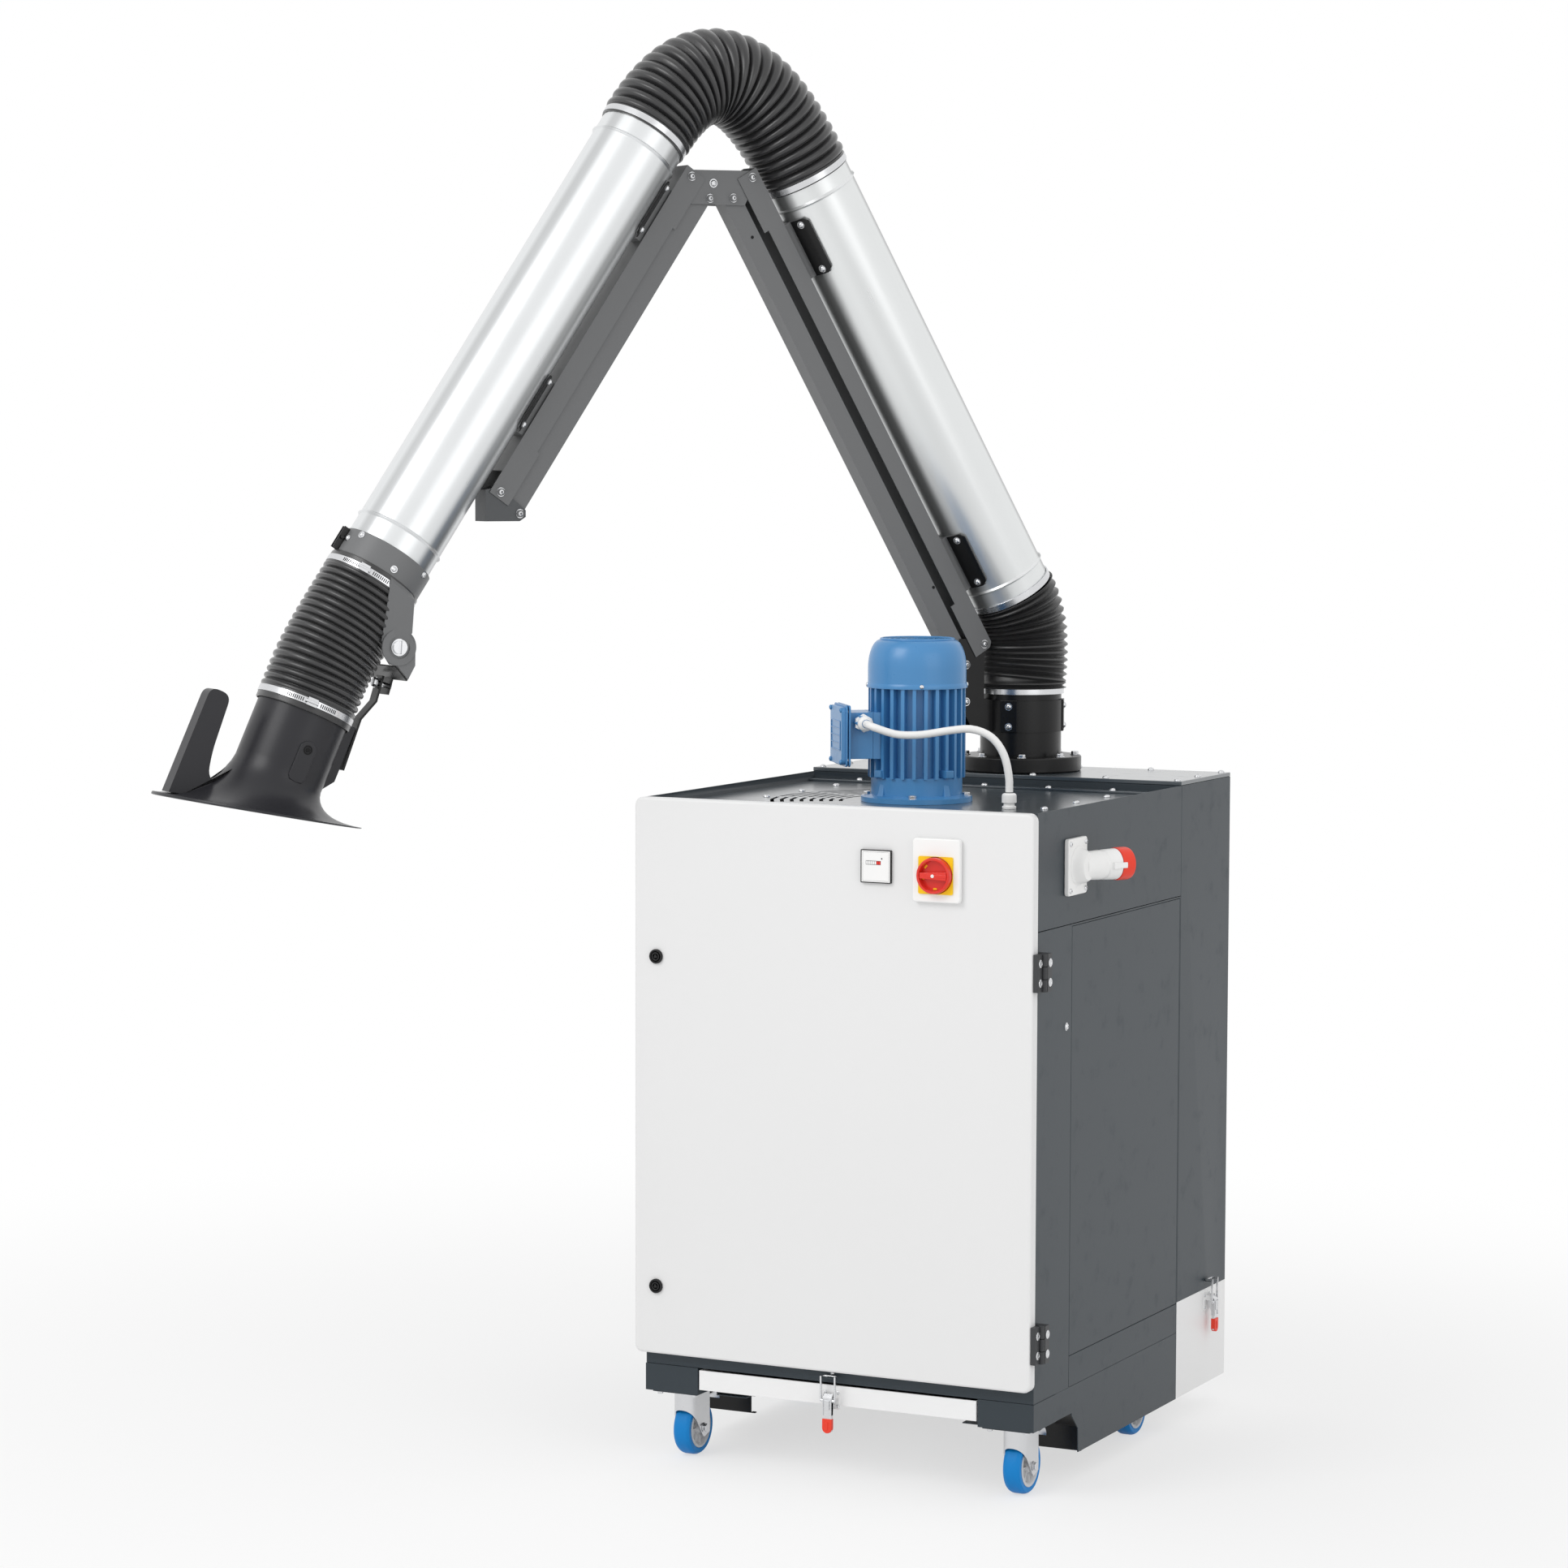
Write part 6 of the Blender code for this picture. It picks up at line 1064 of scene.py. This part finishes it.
# Hood joint and bell
sleeve = {"start": 0.8945, "end": 0.9435, "inner": 0.0804, "outer": 0.0847, "plate": 0.0028, "near": 0.0892,
          "disc": 0.0730}
start, end, outer = sleeve["start"], sleeve["end"], sleeve["outer"]
pivot = Vector((1.0354, 0.0351))
# painted highlight: the sleeve takes the beams' mid grey, the tone of the broad reflection along its black paint
makePiece("collar_sleeve", lathe([(sleeve["inner"], start), (outer - 0.0006, start), (outer, start + 0.0006),
                                  (outer, end - 0.0006),
                                  (outer - 0.0006, end), (sleeve["inner"], end)], 96, ring=True), "fore_arm", "beam",
          foreArm @ tubeLine @ turn("Y", 90), standsFor=("hood_collar",))


def yokeOut(x):  # the plate leans in from the sleeve to the disc
    share = min(1.0, max(0.0, (x - 0.950) / (pivot.x - 0.950)))
    return sleeve["near"] + (sleeve["disc"] - sleeve["near"]) * share ** 1.8


plateLine = [(0.9498, 0.1172), (0.9530, 0.0611), (1.0024, 0.0297)] + circle(0.0285, 15, pivot.x, pivot.y, 189,
                                                                            247) + [(1.0435, 0.0677)]
shapes = []
for side in (1, -1):
    faces = [[(x, side * (yokeOut(x) + out), z) for x, z in plateLine] for out in (0, sleeve["plate"])]
    shapes.append(lofted(faces))
    rings = []
    for i in range(9):
        low, _ = aroundTube(end - 0.002, side * (95 - 44 * i / 8), 0.0820)
        high = Vector((0.9500 + 0.0032 * i / 8, side * sleeve["near"], 0.1172 - 0.0561 * i / 8))
        out = Vector((0, side * sleeve["plate"], 0))
        rings.append([low, high, high + out, low + out])
    shapes.append(lofted(rings))
makePiece("collar_yoke", joined(*shapes), "fore_arm", "beam", foreArm, 0.0005)
makePiece("collar_ears", joined(*[block(0.0835, 0.0965, step - 0.0014, step + 0.0014, 0.898, 0.9405)
                                  for step in (-0.0042, 0.0042)],
                                placed(rod(0.0034, -0.0105, 0.0105, 16), shift(0.0912, 0, 0.9180) @ turn("X", 90))),
          "fore_arm", "black", foreArm @ tubeLine @ turn("X", 182) @ turn("Y", 90), 0.0006)
spots = [aroundTube(x, degrees, 0.0847) for x, degrees in ((0.9020, 153), (0.9288, 96), (0.9020, 54), (0.9148, 172),
                                                           (0.9288, -60), (0.9020, -120))]
fasteners("collar_screws", "domeBolt", [(foreArm @ a, foreArm.to_3x3() @ b) for a, b in spots], "fore_arm", "zinc",
          0.55)
tilt = arm @ shift(1.3389, 0, 1.4790)
fasteners("tilt_bolts", "slotBolt", [(tilt @ Vector((0, s * 0.0798, 0)), tilt.to_3x3() @ Vector((0, s, 0)))
                                     for s in (1, -1)],
          "hood_tilter", "zinc", 0.94)
near, far, tip = Vector((0.0034, -0.0328)), Vector((-0.0171, -0.0572)), Vector((-0.0080, -0.0858))
cheek = circle(0.0320, 22, 0, 0, -25, 215) + [(-0.0310, near.y), tuple(far), tuple(near),
                                              (near.x + 0.015, near.y + 0.003)]
cheekIn, cheekOut = sleeve["disc"] + 0.0032, sleeve["disc"] + 0.0066
makePiece("fork_cheeks", joined(*[prism(cheek, s * cheekIn, s * cheekOut, "Y") for s in (1, -1)]), "hood_tilter",
          "beam", tilt, 0.0006,
          standsFor=("hood_fork",))
makePiece("fork_discs",
          joined(*[placed(lathe([(0.0200, cheekOut - 0.001), (0.0324, cheekOut - 0.001), (0.0324, cheekOut + 0.0012),
                                               (0.0316, cheekOut + 0.0018), (0.0200, cheekOut + 0.0018)], 56,
                                ring=True), turn("X", 90 * s))
                                 for s in (1, -1)]), "hood_tilter", "beam", tilt, smooth=20)


def slab(a, b, half, thick=0.003):  # a folded plate from a to b, across the fork
    way = (b - a).normalized()
    side = Vector((-way.y, way.x)) * thick
    a, b = a - way * 0.001, b + way * 0.001
    return prism([tuple(a), tuple(b), tuple(b + side), tuple(a + side)], -half, half, "Y")


# painted shade: the web is near-black for the shade on its underside; the cheeks keep the grey
makePiece("fork_web", joined(slab(near, far, cheekIn + 0.001), slab(far, tip, 0.019)), "hood_tilter", "black", tilt,
          0.0006)
swing = tilt @ shift(-0.01255, 0, -0.0715) @ turn("Y", 72.5)
makePiece("swing_bolt", joined(rod(0.0048, -0.004, 0.0300, 24), placed(hexHead(0.0150, 0.0060, 0.0100, 0.0012),
                                                                       shift(0, 0, 0.0225)),
                               placed(hexHead(0.0150, 0.0050, 0.0100, 0.0012), turn("X", 180))), "hood_tilter", "zinc",
          swing, 0.0004)
bell = {"start": -0.045, "end": 0.132, "neck": 0.0815, "mouth": 0.209, "drop": 0.011, "lean": -12.7, "rim": 0.1835,
        "wall": 0.003}


def bellPoint(x, radius, degrees):  # the flare leans and drops toward its mouth
    share = max(0.0, (x - bell["end"]) / (bell["mouth"] - bell["end"]))
    lean, across = math.radians(bell["lean"] * share), radius * math.cos(math.radians(degrees))
    return Vector((x - math.sin(lean) * across, radius * math.sin(math.radians(degrees)),
                   bell["drop"] * share + math.cos(lean) * across))


profile = [(bell["start"], bell["neck"]), (0.06, bell["neck"]), (bell["end"] - 0.01, bell["neck"])]
profile += [(bell["end"] + (bell["mouth"] - bell["end"]) * s,
             bell["neck"] + (bell["rim"] - bell["neck"]) * (1 - math.sqrt(1 - s * s)))
            for s in (0, 0.15, 0.3, 0.43, 0.54, 0.65, 0.74, 0.82, 0.89, 0.94, 0.975, 0.995, 1.0)]
lip = [(bell["mouth"] + 0.0016, bell["rim"] + 0.0006), (bell["mouth"] + 0.0034, bell["rim"]),
       (bell["mouth"] + 0.0040, bell["rim"] - 0.003)]
inside = []
for before, point, after in zip([profile[0]] + profile, profile, profile[1:] + [profile[-1]]):
    way = (Vector(after) - Vector(before)).normalized()
    inside.append((point[0] + way.y * bell["wall"], point[1] - way.x * bell["wall"]))
makePiece("bell_shell", lofted([[bellPoint(x, r, 360 * i / 96) for i in range(96)] for x,
                                r in profile + lip + inside[-2::-1]], closed=True),
          "hood_body", "shell", hoodSpace, standsFor=("hood",))


def filleted(corners, steps=7):  # corners of a place and a radius, rounded
    points = []
    for i, (x, y, radius) in enumerate(corners):
        corner, before, after = Vector((x, y)), Vector(corners[i - 1][:2]), Vector(corners[(i + 1) % len(corners)][:2])
        if radius:
            a, b = (corner + (other - corner).normalized() * radius for other in (before, after))
            points += [a.lerp(corner, k / steps).lerp(corner.lerp(b, k / steps), k / steps) for k in range(steps + 1)]
        else:
            points.append(corner)
    return [tuple(p) for p in points]


foot = [bellPoint(x + 0.0012, r - 0.0012, 0) for x, r in profile[5:-3]]
foot = [(p.x, p.z) for p in foot if p.z < 0.178]
outline = filleted([(0.2440, 0.1815, 0), (0.0475, 0.1820, 0.017), (0.0475, 0.1420, 0.017), (0.150, 0.1350, 0.02),
                    (0.2010, 0.1235, 0.026),
                    (0.1960, 0.0880, 0.012), foot[0] + (0,)]) + foot[1:]
makePiece("bell_handle", prism(outline, -0.016, 0.016, "Y"), "hood_body", "shell", hoodSpace, 0.0042, 5, 40, 60)
makePiece("bell_spine", prism([(0.010, -0.080), (0.010, -0.0982), (0.112, -0.0982), (0.135, -0.080)], -0.016, 0.016,
                              "Y"), "hood_body",
          "shell", hoodSpace, 0.0016, 3)
boss = hoodSpace @ shift(0.0872, 0, 0) @ turn("X", -90)
outline = circle(0.0155, 18, 0, 0, 90, 180) + [(0.050, -0.0162), (0.058, -0.0120), (0.060, 0), (0.058, 0.0120),
                                               (0.050, 0.0162)]
makePiece("bell_boss", prism(outline, 0.074, 0.0842), "hood_body", "shell", boss, 0.0012, 3)
makePiece("bell_boss_screw", joined(pipe(0.0056, 0.0082, 0.0800, 0.0852, 40),
                                    placed(hexHead(0.0082, 0.0016), shift(0, 0, 0.0838))),
          "hood_body", "dark", boss, 0.0004)
print("hood ready")


# Top of the cabinet: motor bolts, cowl, terminal box, covers' screws, vents, ring
flange = {"radius": 0.0905, "top": 1.1974}
fasteners("motor_flange_bolts", "hexBolt",
          spotsOf([motor @ turn("Z", 20 + 90 * i) @ shift(flange["radius"], 0, flange["top"])
                                                   for i in range(4)]), "cabinet", "zinc", 0.95)
makePiece("cowl_lip", lathe([(0.0630, 1.4796), (0.0668, 1.4796), (0.0682, 1.4818), (0.0676, 1.4846), (0.0650, 1.4852),
                             (0.0630, 1.4840)], 72, ring=True),
          "cabinet", "motor", motor, 0.0004)
makePiece("cowl_skirt", lathe([(0.0890, 1.3950), (0.0912, 1.3950), (0.0916, 1.3972), (0.0912, 1.4010), (0.0897, 1.4040),
                               (0.0890, 1.4040)], 80, ring=True),
          "cabinet", "motor", motor)
cowl = {"radius": 0.0895, "low": 1.3970, "straight": 1.4300, "shoulder": 1.4815, "top": 0.0668, "wall": 0.0022}
rise, inset, wall = cowl["shoulder"] - cowl["straight"], cowl["radius"] - cowl["top"], cowl["wall"]
dome = [(cowl["radius"] - inset * (1 - math.cos(math.radians(a))), cowl["straight"] + rise * math.sin(math.radians(a)))
        for a in range(0, 91, 6)]
makePiece("cowl_dome", lathe([(cowl["radius"], cowl["low"])] + dome + [(0, cowl["shoulder"]),
                                                                       (0, cowl["shoulder"] - wall)]
                             + [(r - wall, z - wall) for r, z in dome[::-1]] + [(cowl["radius"] - wall, cowl["low"])],
                             96, ring=True),
          "cabinet", "motor", motor, smooth=30, standsFor=("fan_cowl",))
# painted shade: a near-black disc under the grille stands for the shade inside the cowl
makePiece("cowl_opening", lathe([(0, 1.4813), (0.0620, 1.4813), (0.0620, 1.4818), (0, 1.4818)], 64), "cabinet", "dark",
          motor)
makePiece("cowl_grille", joined(*[pipe(r, r + 0.0016, 1.4818, 1.4836, 48) for r in (0.010, 0.020, 0.030, 0.040, 0.050,
                                                                                    0.060)],
                                *[placed(block(0.004, 0.064, -0.0012, 0.0012, 1.4816, 1.4832), turn("Z", 60 * i))
                                  for i in range(6)]),
          "cabinet", "motor", motor)
fasteners("cowl_screws", "dome", [(motor @ turn("Z", 30 + 90 * i) @ Vector((0.0906, 0, 1.4000)),
                                   (motor @ turn("Z", 30 + 90 * i)).to_3x3() @ Vector((1, 0, 0))) for i in range(4)],
          "cabinet", "zinc", 0.8)
lugs = [placed(joined(block(0.071, 0.0935, -0.009, 0.009, 1.2345, 1.2480),
                      lofted([[(0.070, -0.0075, 1.1975), (0.088, -0.0075, 1.1975), (0.088, 0.0075, 1.1975),
                               (0.070, 0.0075, 1.1975)],
                              [(0.070, -0.0045, 1.2330), (0.080, -0.0045, 1.2330), (0.080, 0.0045, 1.2330),
                               (0.070, 0.0045, 1.2330)]])),
               turn("Z", 65 + 90 * i)) for i in range(4)]
makePiece("motor_lugs", joined(*lugs), "cabinet", "motor", motor, 0.0012)
terminal = motor @ turn("Z", 217) @ shift(0, 0, 1.310)
makePiece("terminal_rims", joined(*[carved(placed(prism(roundedBox(-0.0555, 0.0555, -0.0555, 0.0555, 0.007), a,
                                                        a + 0.0032), turn("Y", 90)),
                                            block(a - 0.01, a + 0.01, -0.046, 0.046, -0.046, 0.046))
                                    for a in (0.1335, 0.1392)]),
          "cabinet", "motor", terminal, 0.0007)
makePiece("terminal_lines", joined(*[block(0.1500, 0.1512, -0.040, 0.040, z - 0.0008, z + 0.0008)
                                     for z in (-0.026, -0.013, 0.0, 0.013, 0.026)],
                                   *[block(0.1500, 0.1512, y - 0.0008, y + 0.0008, -0.026, 0.026)
                                     for y in (-0.040, 0.040)]),
          "cabinet", "motor", terminal, 0.0004)
fasteners("terminal_screws", "dome", [(terminal @ Vector((0.1502, a * 0.047, b * 0.047)),
                                       terminal.to_3x3() @ Vector((1, 0, 0)))
                                      for a in (-1, 1) for b in (-1, 1)], "cabinet", "motor", 0.9)
gland = cabinet @ shift(-0.0391, 0.1979, 1.334) @ Matrix.Rotation(math.atan2(-0.7986, 0.6018), 4, "Z") @ turn("Y", 90)
makePiece("cable_gland", joined(lathe([(0.0078, -0.030), (0.0166, -0.030), (0.0166, -0.019), (0.0078, -0.019)], 6,
                                      ring=True),
                                lathe([(0.0078, -0.020), (0.0138, -0.020), (0.0142, -0.012), (0.0136, -0.004),
                                       (0.0100, 0.0), (0.0078, 0.0006)], 32, ring=True)),
          "cabinet", "whitePlastic", gland, 0.0006)
makePiece("deck_ledge", block(-0.3765, 0.3765, 0.6520, 0.6794, 1.1880, 1.1925), "cabinet", "slateTopPaintedHighlight", cabinet, 0.0010)
screws = [(x, y, 1.1883) for y in (0.126, 0.273, 0.420, 0.567) for x in (-0.2765, 0.2765)]
screws += [(x, 0.664, 1.1925) for x in (-0.273, -0.142, -0.012, 0.119, 0.249)]
fasteners("deck_screws", "dome", spotsOf([onTop(*spot) for spot in screws]), "cabinet", "zinc", 1.25)
screws = [(x, y) for y in (0.694, 0.922) for x in (-0.366, -0.2225, -0.0737, 0.0737, 0.2225,
                                                   0.366)] + [(x, 0.808) for x in (-0.362, 0.362)]
deckNut = cabinet @ shift(0.2186, 0.2491, 1.1882)
makePiece("deck_nut", joined(lathe([(0.0078, 0), (0.0125, 0), (0.0125, 0.0045), (0.0098, 0.0052), (0.0098, 0.0108),
                                    (0.0078, 0.0108)], 32, ring=True),
                             lathe([(0.0072, 0.0106), (0.0134, 0.0106), (0.0134, 0.0225), (0.0124, 0.0258),
                                    (0.0100, 0.0276), (0.0072, 0.0280)],
                                   12, ring=True)), "cabinet", "whitePlastic", deckNut, 0.0005,
          standsFor=("deck_gland",))
fasteners("cover_screws", "dome", spotsOf([onTop(x, y, 1.2129) for x, y in screws]), "cabinet", "zinc", 1.25)
for side in (-1, 1):  # folded front ends of the side skirts, open towards the middle; painted shade: near-black instead of the cabinet's slate, for the shade beneath the cabinet
    low, high, inner, face = 0.0500, 0.0942, side * 0.279, side * 0.3792
    line = [(0.2200, low), (0.2200, high), (0.1872, 0.1250)]
    lips = [block(*sorted((inner, inner - side * 0.008)), 0.2200, 0.2270, z, z + 0.0020) for z in (low, 0.0815)]
    makePiece("skirt_end_" + ("left" if side < 0 else "right"),
              joined(lofted([[(inner, y, z), (face, y, z), (face, y + 0.002, z), (inner, y + 0.002, z)] for y,
                             z in line]), *lips),
              "cabinet", "black", cabinet, 0.0004)
# painted shade: a near-black strip round the cover's foot stands for the shadow line in its joint
makePiece("cover_gasket", carved(block(-0.3785, 0.3785, 0.6795, 0.9335, 1.2051, 1.2060),
                                 block(-0.36, 0.36, 0.70, 0.91, 1.19, 1.22)),
          "cabinet", "dark", cabinet)
# painted shade: a near-black sheet just below the deck's vents stands for the shade seen through them
makePiece("vent_mesh", prism(circle(0.285, 40, 0, 0, 100, 120) + circle(0.120, 40, 0, 0, 100, 120)[::-1], 1.1795,
                             1.1806),
          "cabinet", "dark", motor)
fasteners("ring_bolts", "hexBolt", spotsOf([arm @ turn("Z", 13.5 + 45 * i) @ shift(0.1040, 0, 1.2422)
                                            for i in range(8)]), "cabinet", "zinc", 0.95)
for side, headings in (("near", (41, -41)), ("far", (144, -144))):
    fasteners("wing_bolts_" + side, "domeBolt", [(arm @ turn("Z", h) @ Vector((0.0822, 0, z)),
                                                  (arm @ turn("Z", h)).to_3x3() @ Vector((1, 0, 0)))
                                                 for h in headings for z in (1.3000, 1.3380)], "column", "zinc", 0.62)
makePiece("wing_plates", joined(*[placed(block(0.074, 0.0824, -0.017, 0.017, 1.289, 1.350), turn("Z", h))
                                  for h in (41, -41, 144, -144)]),
          "column", "black", arm, 0.0010)
print("top ready")


for each in templates.values():
    bpy.data.objects.remove(each, do_unlink=True)
